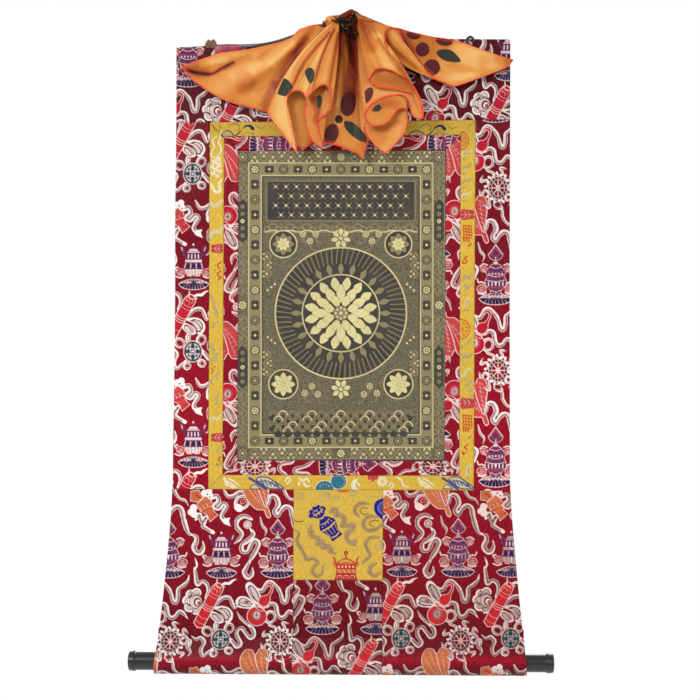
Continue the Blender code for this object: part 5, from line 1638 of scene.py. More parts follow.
def draw_art():
    w, h = ART_HALF
    c = Chart((2 * w + 4, 2 * h + 4), 3.0, ["gold", "ochre", "ink", "wash"], repeats=False, origin=(-w - 2, -h - 2))

    def petals(at, inner, outer, count, fat, thread, edge, turn=0.0, edge_width=0.55):
        for k in range(count):
            a = turn + 2 * math.pi * k / count
            ca, sa = math.cos(a), math.sin(a)
            mid, half = (inner + outer) / 2, fat
            pts = [(inner, 0), (mid - 0.2 * (outer - inner), half * 0.8), (mid + 0.12 * (outer - inner), half), (outer, 0), (mid + 0.12 * (outer - inner), -half), (mid - 0.2 * (outer - inner), -half * 0.8)]
            c.shape(thread, [(at[0] + x * ca - y * sa, at[1] + x * sa + y * ca) for x, y in pts], edge=edge, edge_width=edge_width)

    def circle(at, r, thread, width):
        pts = [(at[0] + r * math.cos(2 * math.pi * k / 48), at[1] + r * math.sin(2 * math.pi * k / 48)) for k in range(49)]
        c.line(thread, pts, width, smooth=False)

    def rosette(at, r, bright=True):
        petals(at, r * 0.30, r, 8, r * 0.28, "gold" if bright else "ochre", "ink", 0.2, 0.4)
        c.oval("gold", at, (r * 0.30, r * 0.30), edge="ink", edge_width=0.4)

    def box(thread, x0, y0, x1, y1, edge=None, width=0.6):
        c.shape(thread, [(x0, y0), (x1, y0), (x1, y1), (x0, y1)], edge=edge, edge_width=width, smooth=False)

    def rule(thread, x0, y0, x1, y1, width):
        c.line(thread, [(x0, y0), (x1, y0), (x1, y1), (x0, y1), (x0, y0)], width, smooth=False)

    def vine(a, b, swing, period, thread, leaf, width=0.7):
        a, b = np.array(a, float), np.array(b, float)
        length = np.linalg.norm(b - a)
        way = (b - a) / length
        side = np.array([way[1], -way[0]])
        n = max(2, int(round(length / period)))
        pts = []
        for k in range(n * 8 + 1):
            s = k / (n * 8)
            pts.append(a + way * length * s + side * swing * math.sin(math.pi * 2 * n / 2 * s))
        c.line(thread, pts, width, smooth=False)
        for k in range(n):
            s = (k + 0.5) / n
            sign = 1 if k % 2 else -1
            at = a + way * length * s - side * swing * 0.25 * sign
            curl = [at + side * sign * swing * (0.9 - 0.75 * math.cos(q)) * 0.5 + way * swing * 0.55 * math.sin(q) for q in np.linspace(0.3, 5.2, 9)]
            c.line(thread, curl, width * 0.85, smooth=False)
            c.oval(leaf, tuple(a + way * length * s + side * sign * swing * 0.1), (swing * 0.26, swing * 0.26))
            for q in (-0.28, 0.28):
                tip = a + way * length * (s + q / n) + side * swing * 0.95 * sign
                c.oval(leaf, tuple(tip), (swing * 0.34, swing * 0.16), turn=math.atan2(way[1], way[0]) + sign * q * 3)

    # field
    box("ink", -w - 1, -h - 1, w + 1, h + 1)
    box("wash", -w + 0.8, -h + 0.8, w - 0.8, h - 0.8)
    # outer band: vines, with a rosette in each corner and at the middle of each side
    for sx in (-1, 1):
        vine((sx * (w - 6.4), -h + 14), (sx * (w - 6.4), -10), 4.4, 9.5, "ochre", "ochre", 0.55)
        vine((sx * (w - 6.4), h - 14), (sx * (w - 6.4), 10), 4.4, 9.5, "ochre", "ochre", 0.55)
        for y in (-84, 62):
            c.shape("ink", [(sx * (w - 1.6), y - 17), (sx * (w - 6.4), y - 22), (sx * (w - 11.2), y - 17), (sx * (w - 11.2), y + 17), (sx * (w - 6.4), y + 22), (sx * (w - 1.6), y + 17)], smooth=False)
            for k in range(5):
                c.oval("gold" if k == 2 else "ochre", (sx * (w - 6.4), y + (k - 2) * 7.2), (2.3, 2.3), edge="ink", edge_width=0.3)
                c.oval("ink", (sx * (w - 6.4), y + (k - 2) * 7.2), (0.9, 0.9))
        rosette((sx * (w - 6.4), 0), 4.6)
    for sy in (-1, 1):
        vine((-w + 14, sy * (h - 6.2)), (-9, sy * (h - 6.2)), 4.4, 9.5, "ochre", "gold", 0.6)
        vine((w - 14, sy * (h - 6.2)), (9, sy * (h - 6.2)), 4.4, 9.5, "ochre", "gold", 0.6)
        rosette((0, sy * (h - 6.4)), 4.4)
        for sx in (-1, 1):
            rosette((sx * (w - 6.6), sy * (h - 6.6)), 5.2, False)
    rule("ochre", -w + 0.9, -h + 0.9, w - 0.9, h - 0.9, 0.5)
    # inner band: rosettes and dark quatrefoils in turn
    rule("gold", -w + 12.6, -h + 12.4, w - 12.6, h - 12.4, 0.45)
    box("ochre", -w + 13.4, -h + 13.2, w - 13.4, -h + 24.4)
    box("ochre", -w + 13.4, h - 24.4, w - 13.4, h - 13.2)
    box("ochre", -w + 13.4, -h + 13.2, -w + 24.4, h - 13.2)
    box("ochre", w - 24.4, -h + 13.2, w - 13.4, h - 13.2)
    for sx in (-1, 1):
        n = 19
        for k in range(n):
            y = -h + 19 + (2 * h - 38) * k / (n - 1)
            at = (sx * (w - 18.9), y)
            if k % 2:
                for q in range(4):
                    a = math.pi / 4 + q * math.pi / 2
                    c.oval("ink", (at[0] + 2.3 * math.cos(a), at[1] + 3.0 * math.sin(a)), (2.5, 2.8))
                c.oval("gold", at, (1.2, 1.2))
            else:
                c.oval("ink", at, (4.8, 4.8))
                rosette(at, 4.3, k % 4 == 0)
    for sy in (-1, 1):
        n = 13
        for k in range(1, n - 1):
            x = -w + 18.9 + (2 * w - 37.8) * k / (n - 1)
            at = (x, sy * (h - 18.8))
            if k % 2:
                for q in range(4):
                    a = math.pi / 4 + q * math.pi / 2
                    c.oval("ink", (at[0] + 3.0 * math.cos(a), at[1] + 2.2 * math.sin(a)), (2.8, 2.2))
                c.oval("gold", at, (1.1, 1.1))
            else:
                c.oval("ink", at, (5.0, 4.6))
                rosette(at, 4.2, k % 4 == 0)
    rule("gold", -w + 25.0, -h + 25.0, w - 25.0, h - 25.0, 0.45)
    rule("ink", -w + 26.2, -h + 26.2, w - 26.2, h - 26.2, 0.6)

    # upper panel: dark, with a trellis of small stars
    px, y0, y1 = w - 30.5, -h + 30.5, -h + 70
    box("ink", -px, y0, px, y1)
    rule("ochre", -px, y0, px, y1, 0.45)
    for j in range(4):
        for k in range(13):
            x = -px + 9 + (2 * px - 18) * (k + (0.5 if j % 2 else 0)) / 12.5
            y = y0 + 5.6 + (y1 - y0 - 11.2) * j / 3
            for q in range(4):
                a = math.pi / 4 + q * math.pi / 2
                c.line("ochre", [(x + 1.6 * math.cos(a), y + 1.4 * math.sin(a)), (x + 4.2 * math.cos(a), y + 3.9 * math.sin(a))], 0.36, smooth=False)
            c.oval("gold", (x, y), (1.15, 1.15))
    # clouds under it
    for k in range(9):
        x = -68 + 17 * k
        for q, r in ((-5.5, 3.0), (0, 4.2), (5.5, 3.0)):
            circle((x + q, -h + 77.5 + abs(q) * 0.3), r, "ochre", 0.5)
        c.line("gold", [(x - 8, -h + 81.5), (x, -h + 79.8), (x + 8, -h + 81.5)], 0.5)

    # the mandala
    m = (0.0, 8.0)
    c.oval("ink", m, (66, 66))
    for k in range(72):
        a = 2 * math.pi * k / 72
        c.line("ochre", [(m[0] + 50 * math.cos(a), m[1] + 50 * math.sin(a)), (m[0] + 64.5 * math.cos(a + 0.03), m[1] + 64.5 * math.sin(a + 0.03))], 0.42, smooth=False)
    circle(m, 65.6, "gold", 0.6)
    petals(m, 38, 50.5, 24, 3.1, "ochre", "ink", 0.0)
    circle(m, 38.6, "gold", 0.5)
    c.oval("ink", m, (37.8, 37.8))
    petals(m, 22, 37.0, 16, 4.4, "gold", "ink", math.pi / 16, 0.5)
    petals(m, 10, 29.5, 12, 4.7, "gold", "ink", 0.0, 0.55)
    petals(m, 6, 19.5, 8, 4.4, "gold", "ink", math.pi / 8, 0.55)
    c.oval("ochre", m, (8.0, 8.0), edge="ink", edge_width=0.7)
    for k in range(8):
        a = 2 * math.pi * k / 8
        c.oval("gold", (m[0] + 5.2 * math.cos(a), m[1] + 5.2 * math.sin(a)), (1.1, 1.1))
    c.oval("gold", m, (2.3, 2.3), edge="ink", edge_width=0.5)

    # four small lotuses in dark rounds, and scrolls about them
    for sx in (-1, 1):
        for y, r in ((-61, 13.5), (79, 14.5)):
            at = (sx * 57.5, y)
            c.oval("ink", at, (r, r))
            circle(at, r, "gold", 0.5)
            petals(at, 3.0, r - 2.2, 8, 3.0, "gold" if y > 0 else "ochre", "ink", 0.0, 0.5)
            petals(at, 1.0, r - 6.2, 8, 1.9, "gold", "ink", 0.4, 0.4)
            c.oval("gold", at, (1.8, 1.8), edge="ink", edge_width=0.4)
        for y in (-40, 58):
            vine((sx * 73.5, y - 13), (sx * 73.5, y + 13), 3.6, 8.5, "ochre", "gold", 0.55)
        for x, y in ((31, -64), (38, -71), (25, -71), (29, 81), (36, 88), (23, 89)):
            rosette((sx * x, y), 4.0)
            c.line("ochre", [(sx * x, y + 4), (sx * (x - 2), y + 8), (sx * (x - 6), y + 9)], 0.5)
        for k in range(3):
            c.oval("gold", (sx * (66 + 3.5 * k), -21 + 3 * k), (1.5, 1.5), edge="ink", edge_width=0.4)
            c.oval("gold", (sx * (66 + 3.5 * k), 38 - 3 * k), (1.5, 1.5), edge="ink", edge_width=0.4)
    # crest and foot of the mandala
    for y, s in ((-67, -1), (84, 1)):
        petals((0, y), 2.0, 10.5, 7, 2.6, "gold", "ink", math.pi / 2 * s, 0.5)
        c.oval("gold", (0, y), (2.2, 2.2), edge="ink", edge_width=0.4)

    # waves along the foot
    for row in range(4):
        y = h - 30.0 - (3 - row) * 5.4
        for k in range(-8, 9):
            x = k * 9.6 + (4.8 if row % 2 else 0)
            if abs(x) > w - 33:
                continue
            c.oval("ink", (x, y + 2), (4.9, 5.6))
            for r, width, thread in ((4.4, 0.5, "gold" if (k + row) % 3 == 0 else "ochre"), (2.4, 0.45, "ochre")):
                arc = [(x + r * math.cos(a), y + 2 - r * 1.1 * math.sin(a)) for a in np.linspace(0, math.pi, 9)]
                c.line(thread, arc, width, smooth=False)
    return c


art = draw_art()
ART_PALETTE = {"gold": srgb(236, 222, 158), "ochre": srgb(150, 138, 98), "ink": srgb(58, 54, 54), "wash": srgb(104, 94, 74)}


def art_finish():
    f = Finish("gold_on_charcoal")
    fine = f.noise(760, 3.0, 0.62)
    cloud = f.noise(26, 3.0, 0.5)
    ink, ochre, gold, wash = (ART_PALETTE[k] for k in ("ink", "ochre", "gold", "wash"))
    # brush scrolls over the washed ground
    swirl = f.node("TexWave", wave_type="RINGS", rings_direction="SPHERICAL")
    f.join(f.place((1, 0.0, 1)), swirl.inputs["Vector"])
    swirl.inputs["Scale"].default_value = 88
    swirl.inputs["Distortion"].default_value = 26
    swirl.inputs["Detail"].default_value = 2.5
    swirl.inputs["Detail Scale"].default_value = 2.2
    scroll = f.mix(f.ramp(swirl.outputs["Fac"], 0.35, 0.75), ink, ochre)
    colour = f.mix(f.ramp(fine, 0.34, 0.66), ink, wash)
    washed = f.mix(0.62, colour, scroll)
    over = f.ramp(f.field("wash"), -0.3, 0.3, 1.0, 0.0)
    colour = f.mix(over, colour, washed)
    for thread, paint in (("ink", ink), ("ochre", ochre), ("gold", gold)):
        over = f.ramp(f.field(thread), -0.24, 0.44, 1.0, 0.0)
        grain = f.mix(f.ramp(fine, 0.3, 0.68), tuple(v * 0.74 for v in paint), paint)
        colour = f.mix(over, colour, grain)
    colour = f.mix(f.ramp(cloud, 0.3, 0.7, 0.0, 0.22), colour, tuple(v * 0.5 for v in ochre))
    colour = f.mix(f.field("reverse"), colour, srgb(120, 108, 88))
    # painted shade along the sewn edges of the picture
    colour = f.mix(f.ramp(f.field("seam"), 0.15, 0.9, 1.0, 0.0, "SMOOTHSTEP"), colour, tuple(v * 0.6 for v in ink))
    height = f.ramp(f.field("gold"), -0.5, 0.4, 1.0, 0.0, "SMOOTHSTEP")
    normal = f.bump(height, 0.00012, 0.6)
    normal = f.bump(fine, 0.00012, 0.5, normal)
    return f.done(colour, normal, Roughness=0.62, Specular_IOR_Level=0.25)


def art_looks(across, down):
    fields = art.read(across - ART_MIDDLE[0], down - ART_MIDDLE[1])
    fields["painted_light_and_tone"] = 1.0 + 0 * across
    return fields


def art_corner(s, t):
    return (2 * s - 1) * (half - g), top - g + (foot - top + 2 * g) * t


ob = dressed("painted_picture", art_corner, (2 * half, top - foot), art_looks, ("left", "right", "top", "bottom"), step=0.00118, relief=0.6, seed=71)
place(ob, "painting", art_finish())


# ------------------------------------------------------------------ the roller
def turned(name, profile, sides):
    """A solid turned about the roller's axis. profile holds (along, radius)."""
    verts, faces = [], []
    for x, r in profile:
        for k in range(sides):
            a = 2 * math.pi * k / sides
            verts.append((x, r * math.cos(a), r * math.sin(a)))
    for i in range(len(profile) - 1):
        for k in range(sides):
            m = (k + 1) % sides
            faces.append((i * sides + k, i * sides + m, (i + 1) * sides + m, (i + 1) * sides + k))
    faces.append(tuple(reversed(range(sides))))
    faces.append(tuple(range((len(profile) - 1) * sides, len(profile) * sides)))
    verts = np.array(verts)
    if profile[-1][0] < profile[0][0]:
        faces = [tuple(reversed(f)) for f in faces]
    # the axis slopes up to the right
    a = math.atan(ROLLER_TILT)
    x, z = verts[:, 0].copy(), verts[:, 2].copy()
    verts[:, 0] = x * math.cos(a) - z * math.sin(a) + lean(ROLLER_Z)
    verts[:, 2] = x * math.sin(a) + z * math.cos(a) + ROLLER_Z
    return add_mesh(name, verts, faces, sharp=40)


def rounded_profile(corners, steps=5):
    """A profile whose corners are (along, radius, rounding)."""
    out = []
    n = len(corners)
    for k, (x, r, b) in enumerate(corners):
        if b <= 0 or k in (0, n - 1):
            out.append((x, r))
            continue
        p = np.array((x, r))
        q0, q1 = np.array(corners[k - 1][:2]), np.array(corners[k + 1][:2])
        d0, d1 = q0 - p, q1 - p
        l0, l1 = np.linalg.norm(d0), np.linalg.norm(d1)
        c = min(b, 0.48 * l0, 0.48 * l1)
        a, e = p + d0 / l0 * c, p + d1 / l1 * c
        for s in range(steps + 1):
            t = s / steps
            out.append(tuple((1 - t) ** 2 * a + 2 * t * (1 - t) * p + t * t * e))
    return out


lacquer = Finish("black_lacquer")
scuff = lacquer.noise(900, 3.0, 0.6, (0.25, 1, 1))
broad = lacquer.noise(60, 2.0, 0.5)
tint = lacquer.mix(lacquer.ramp(broad, 0.3, 0.7), srgb(14, 14, 16), srgb(24, 23, 26))
lacquer.done(
    tint, lacquer.bump(scuff, 0.00006, 0.5), Roughness=lacquer.ramp(scuff, 0.3, 0.7, 0.26, 0.40),
    Coat_Weight=0.35, Coat_Roughness=0.12, Specular_IOR_Level=0.5,
)

reach = half_width(ROLLER_Z) - 0.004
body = reach - 0.022 + 0.004
start, end = body + GAP, ROLLER_HALF
for sign, side_name in ((-1, "left"), (1, "right")):
    face = end - FLANGE_W
    corners = [
        (start, 0.0030, 0), (start, NECK_R, 0.0006), (face - 0.0016, NECK_R, 0.0010), (face - 0.0006, FLANGE_R - 0.0002, 0.0008),
        (face + 0.0028, FLANGE_R, 0.0012), (face + 0.0048, FLANGE_R - 0.0008, 0.0012), (end - 0.0016, FLANGE_R - 0.0006, 0.0018),
        (end, FLANGE_R - 0.0052, 0.0018), (end - 0.0004, 0.0040, 0.0010), (end - 0.0001, 0.0012, 0),
    ]
    profile = [(sign * x, r) for x, r in rounded_profile(corners)]
    knob = turned("knob_" + side_name, profile, 96)
    knob.data.materials.append(lacquer.m)
    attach(knob, "root")
    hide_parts("roller_knob_" + side_name)

wood = Finish("pole_pine")
rings = wood.noise(160, 3.0, 0.6, (0.06, 1, 1))
wood.done(
    wood.mix(wood.ramp(rings, 0.3, 0.7), srgb(150, 108, 66), srgb(196, 154, 104)), wood.bump(rings, 0.0002, 0.5), Roughness=0.6,
)
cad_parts["roller_pole"].data.materials.clear()
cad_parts["roller_pole"].data.materials.append(wood.m)


# ------------------------------------------------------------------ the veil
# Each row is a fold along the hem from the left tip to the right tip. neck: across,
# down and proud where the string gathers it, at its first and its last corner.
# ruff: the same for the edge that stands above the string. proud: of the hem. belly:
# how far its middle stands out. Then the painted light and shade of the silk at the
# neck, the middle and the hem. corners: where the hem bends, as across, down, how
# far the fold swings out to the side on its way there, and how far it sags.
# ruff: the same for the edge that stands above the string. proud: of the hem. belly:
# how far its middle stands out. glow: how light the silk is at the neck, the middle
# and the hem. corners: where the hem bends, as across, down, how far the fold swings
# out to the side on its way there, and how far it sags.
Fold = namedtuple("Fold", "name neck_from neck_to ruff_from ruff_to proud belly glow corners")
VEIL = [
    Fold(
        "left wing", (322, 25.0, 10), (333, 19, 12), (323.0, 21.5, 9), (331, 15.6, 12), (8, 11.5), (3, 3), (0.78, 0.84, 0.78),
        [(180.5, 66.8, 1, 0), (190, 78, 0, 0), (204, 89, 0, 0), (225, 100.5, 0, 0), (247, 107, 0, 0), (267, 112, -2, 0)],
    ),
    Fold(
        "behind the left bunch", (335.5, 20, 12.5), (339.0, 21, 14.2), (333.5, 15.8, 12), (339, 15.2, 14), (11.0, 13.5), (0, 0), (0.35, 0.4, 0.6),
        [(292, 125, 0, 0), (313, 141, 2, 0)],
    ),
    Fold(
        "back of the left bunch", (336.5, 22.5, 16.5), (330.2, 24, 20), (338, 16.4, 15), (327, 18.0, 20), (18, 22.5), (0, 1), (0.60, 0.72, 0.84),
        [(301, 149, 0, 0), (284, 131, -3, 0), (267, 113, -9, 0)],
    ),
    Fold(
        "left bunch, outer", (331, 24, 23), (332.5, 24, 25), (325.5, 18.0, 22), (328, 16.3, 25), (30, 35), (2, 3), (0.90, 1.14, 1.04),
        [(281, 132, -20, 0), (297, 152.5, -26, 0)],
    ),
    Fold(
        "left bunch, first arch", (333, 24, 26), (335.5, 24, 29.5), (329.5, 16.2, 26), (334, 17, 29), (36, 42), (2, 2), (0.74, 0.84, 0.94),
        [(293.5, 130, -21, 0), (287.5, 98, -12, 0), (294, 91.5, -9, 0), (302, 92.5, -7, 0), (306.5, 98.5, -4, 0)],
    ),
    Fold(
        "left bunch, tall fold", (336, 23.5, 30.5), (339.0, 22.5, 32), (335, 17.2, 31), (338, 18, 32), (43, 43), (3, 3), (0.62, 0.72, 0.80),
        [(313, 91.5, -3, 0), (323.5, 85, 0, 0), (329.5, 91, 1, 0), (331, 110, 2, 0)],
    ),
    Fold(
        "left bunch, under the tall fold", (338.0, 25.5, 28), (333.8, 27, 24.0), (337, 19, 28), (334, 20, 24), (36, 27.5), (0, 0), (0.4, 0.60, 0.78),
        [(327, 114.5, 2, 0), (317.5, 121.5, 1, 0), (322.5, 148, 0, 0), (311, 139.5, -2, 0), (305.5, 122, -3, 0), (306, 104, -4, 0)],
    ),
    Fold(
        "behind the tall fold", (337.0, 28, 20.5), (340.5, 27, 18), (337, 22, 20), (340, 21, 18), (23.0, 21), (-1, -2), (0.2, 0.55, 0.74),
        [(315, 124, -1, 0), (325, 143.5, 0, 0)],
    ),
    Fold(
        "middle valley", (343, 20, 13), (354.0, 13.5, 8.5), (340.0, 15.0, 13), (350.5, 9.2, 9), (20, 17), (-5, -2), (0.20, 0.42, 0.72),
        [(334, 145, 1, 0), (345, 149, 1, 0), (355, 153, 1, 0), (363, 158.5, 1, 0), (366.5, 146, 1, 0)],
    ),
    Fold(
        "behind the right bunch", (356, 14.5, 9.0), (359.0, 17, 11.0), (351.5, 9.4, 9), (356, 11.8, 11), (15.0, 14.0), (-1, 0), (0.2, 0.3, 0.5),
        [(376, 130, 1, 0), (392, 121, 3, 0)],
    ),
    Fold(
        "right bunch, lowest", (357.5, 18, 14.2), (364.0, 20, 21.5), (355.5, 12.2, 14), (362, 15.5, 21), (19.5, 34), (1, 3), (0.35, 0.55, 0.86),
        [(376, 124, 0, 0), (364.3, 128, -3, 0), (370, 140, -1, 0), (385.3, 153.5, 1, 0), (397, 142.5, 6, 0), (405, 133, 9, 0), (408, 121, 10, 0), (405.5, 110, 13, 0)],
    ),
    Fold(
        "right bunch, fourth", (362, 20, 24.8), (357.5, 20, 27), (360, 14.8, 25), (354.5, 12.4, 27), (37, 37), (2, 1), (0.5, 0.62, 0.80),
        [(400, 109, 10, 0), (395.5, 112.5, 9, 0), (391, 120, 8, 0), (382, 125.5, 5, 0), (371, 125.5, 2, 0), (364.8, 117.5, -2, 0)],
    ),
    Fold(
        "right bunch, third", (359, 20, 30), (367.0, 21, 33.5), (357, 13.4, 30), (365, 18.2, 33), (36.5, 40), (1, 2), (0.5, 0.70, 0.90),
        [(369.5, 106.5, 1, 0), (382, 98.5, 3, 0), (395, 95.5, 6, 0), (405, 97, 7, 0), (409.5, 104, 8, 0), (411, 114, 9, 0), (416, 118.5, 9, 0), (422.3, 119, 9, 0)],
    ),
    Fold(
        "right bunch, second", (363, 21, 36), (358, 20.5, 38.5), (362, 17.0, 36), (355.5, 14.2, 38), (41, 43.5), (1, 1), (0.55, 0.60, 0.66),
        [(423.2, 113, 7, 0), (419, 103, 6, 0), (411, 94.5, 4, 0), (397, 90, 3, 0), (380, 88, 2, 0), (369, 82, -2, 0)],
    ),
    Fold(
        "right bunch, front", (359.0, 19.5, 42), (373.0, 22.5, 40), (357.0, 15.0, 41), (371.5, 20.5, 40), (47.5, 43), (3, 2), (0.62, 0.90, 0.86),
        [(376.5, 69.5, -1, 0), (388, 70, -3, 0), (402, 76.5, -4, 0), (413, 85.5, 0, 0), (420, 97, 4, 0), (423.6, 109, 5, 0), (423.3, 119.5, 6, 0), (422, 108, 6, 0), (413.5, 86, 3, 0), (404, 68, -1, 0), (392, 55, -2, 0), (385.5, 42, -1, 0)],
    ),
    Fold(
        "right wing, the fold over it", (373.0, 22.8, 39), (369, 20.5, 34), (372.0, 21.0, 39), (368, 18.6, 34), (39, 13.5), (1, 2), (0.7, 0.82, 0.80),
        [(385.8, 32, 0, 0), (391, 28, 1, 0), (398.3, 30, 1, 0), (403, 40, 0, 0), (413.6, 53.5, -3, 1.3), (423, 66, -7, 3), (434, 78.5, -11, 6)],
    ),
    Fold(
        "right wing", (366, 18.5, 20), (353, 11, 6.0), (365, 17.0, 20), (352, 9.2, 6), (13, 7), (0, 3), (0.42, 0.62, 0.86),
        [(445, 83.8, 0, 0), (452.5, 86.6, 0, 0), (460, 85.2, 0, 0), (474, 80.4, 0, 0), (490, 74.5, 0, 0), (507, 67.6, 0, 0), (513.6, 59.8, 0, 0)],
    ),
]
VEIL_TURN = 0.0012  # the least radius that its turns are rounded to, about
RUFF_ROWS, DROP_ROWS, COLUMNS = 8, 84, 620
FIRST = {}  # the number of each fold's first corner
for fold in VEIL:
    FIRST[fold.name] = sum(len(f.corners) for f in VEIL[: VEIL.index(fold)])
ALL_CORNERS = sum(len(f.corners) for f in VEIL)
# how much lower than a straight line the two upper edges hang, at places across
LEFT_EDGE = ([180, 200, 219, 242, 264, 282, 291, 299, 309, 318, 324], [-0.5, -1.5, -2.8, 1.3, 3.4, 4.6, 3.6, -2.6, -3.2, -2.0, 0.0])
RIGHT_EDGE = ([353, 360, 377, 386, 399, 410, 433, 445, 455, 465, 478, 496, 514], [0, 1.0, 4.8, 5.8, 3.2, 3.3, 1.6, -0.6, -1.6, -1.7, -0.9, 0.0, 0.0])


def column_mask(corner, *names, soft=0.5):
    """1 in the columns of the named folds, 0 in the others."""
    keep = np.zeros(len(corner))
    for name in names:
        a = FIRST[name]
        b = a + len(next(f for f in VEIL if f.name == name).corners) - 1
        keep = np.maximum(keep, smooth((corner - a) / soft + 1) * smooth((b - corner) / soft + 1))
    return keep


# creases and swells of the silk: fold, the line they follow, their half width across
# it and how many millimetres they stand out
LW, RW, BAND, FRONT = "left wing", "right wing", "right wing, the fold over it", "right bunch, front"
OUTER, ARCH, TALL, VALLEY = "left bunch, outer", "left bunch, first arch", "left bunch, tall fold", "middle valley"
LOWEST, FOURTH, THIRD, SECOND = "right bunch, lowest", "right bunch, fourth", "right bunch, third", "right bunch, second"
UNDER, BEHIND = "left bunch, under the tall fold", "behind the tall fold"
CREASES = [
    (LW, [(188, 67), (204, 63), (222, 58.5), (238, 55)], 5.0, 4.6),
    (LW, [(186, 70.5), (200, 74), (213, 74.5), (224, 68), (236, 61.5), (250, 57)], 2.4, -3.4),
    (LW, [(304, 34), (292, 46), (278, 58), (264, 70), (248, 84)], 5.0, 4.8),
    (LW, [(252, 60), (246, 74), (234, 88), (226, 97)], 8.0, 2.2),
    (LW, [(300, 48), (289, 62), (276, 78), (262, 92)], 5.0, -3.8),
    (LW, [(318, 31), (308, 48), (296, 70), (286, 92)], 4.0, 3.2),
    (LW, [(192, 80), (210, 90), (236, 98), (262, 104)], 5.0, 1.6),
    (OUTER, [(334, 28), (318, 46), (300, 66), (284, 92), (272, 116)], 3.0, 3.0),
    (ARCH, [(334, 30), (322, 50), (308, 70), (298, 92)], 2.6, 3.2),
    (ARCH, [(332, 34), (314, 56), (298, 80), (288, 104)], 2.6, -3.0),
    (TALL, [(337, 26), (331, 50), (327, 72), (325, 86)], 2.4, 2.4),
    (TALL, [(335, 28), (325, 52), (319, 76), (317, 92)], 2.0, -2.0),
    (VALLEY, [(343, 30), (347, 60), (344, 90), (340, 130)], 3.0, 2.4),
    (VALLEY, [(350, 26), (356, 60), (356, 100), (352, 140)], 3.0, -2.2),
    (VALLEY, [(357, 34), (361, 70), (362, 110), (364, 148)], 2.2, 3.0),
    (VALLEY, [(344, 52), (350, 64), (357, 76)], 2.0, 1.8),
    (FRONT, [(360, 24), (366, 40), (372, 56), (378, 70)], 3.0, 2.4),
    (FRONT, [(368, 24), (379, 42), (391, 60), (406, 80)], 3.6, 4.2),
    (FRONT, [(364, 30), (374, 48), (384, 64)], 2.6, -2.0),
    (FRONT, [(378, 34), (388, 50), (400, 66), (412, 84), (418, 98)], 2.2, -2.4),
    (BAND, [(384, 32), (393, 44), (405, 55), (420, 68)], 3.0, 2.6),
    (RW, [(398, 36), (420, 44), (446, 50), (480, 55), (504, 60)], 7.0, 2.8),
    (RW, [(404, 54), (428, 62), (452, 68), (484, 66)], 5.0, -2.2),
    (RW, [(430, 40), (448, 60), (456, 80)], 4.0, 1.6),
    (RW, [(440, 78), (458, 79), (480, 72), (500, 66)], 3.6, 1.8),
]
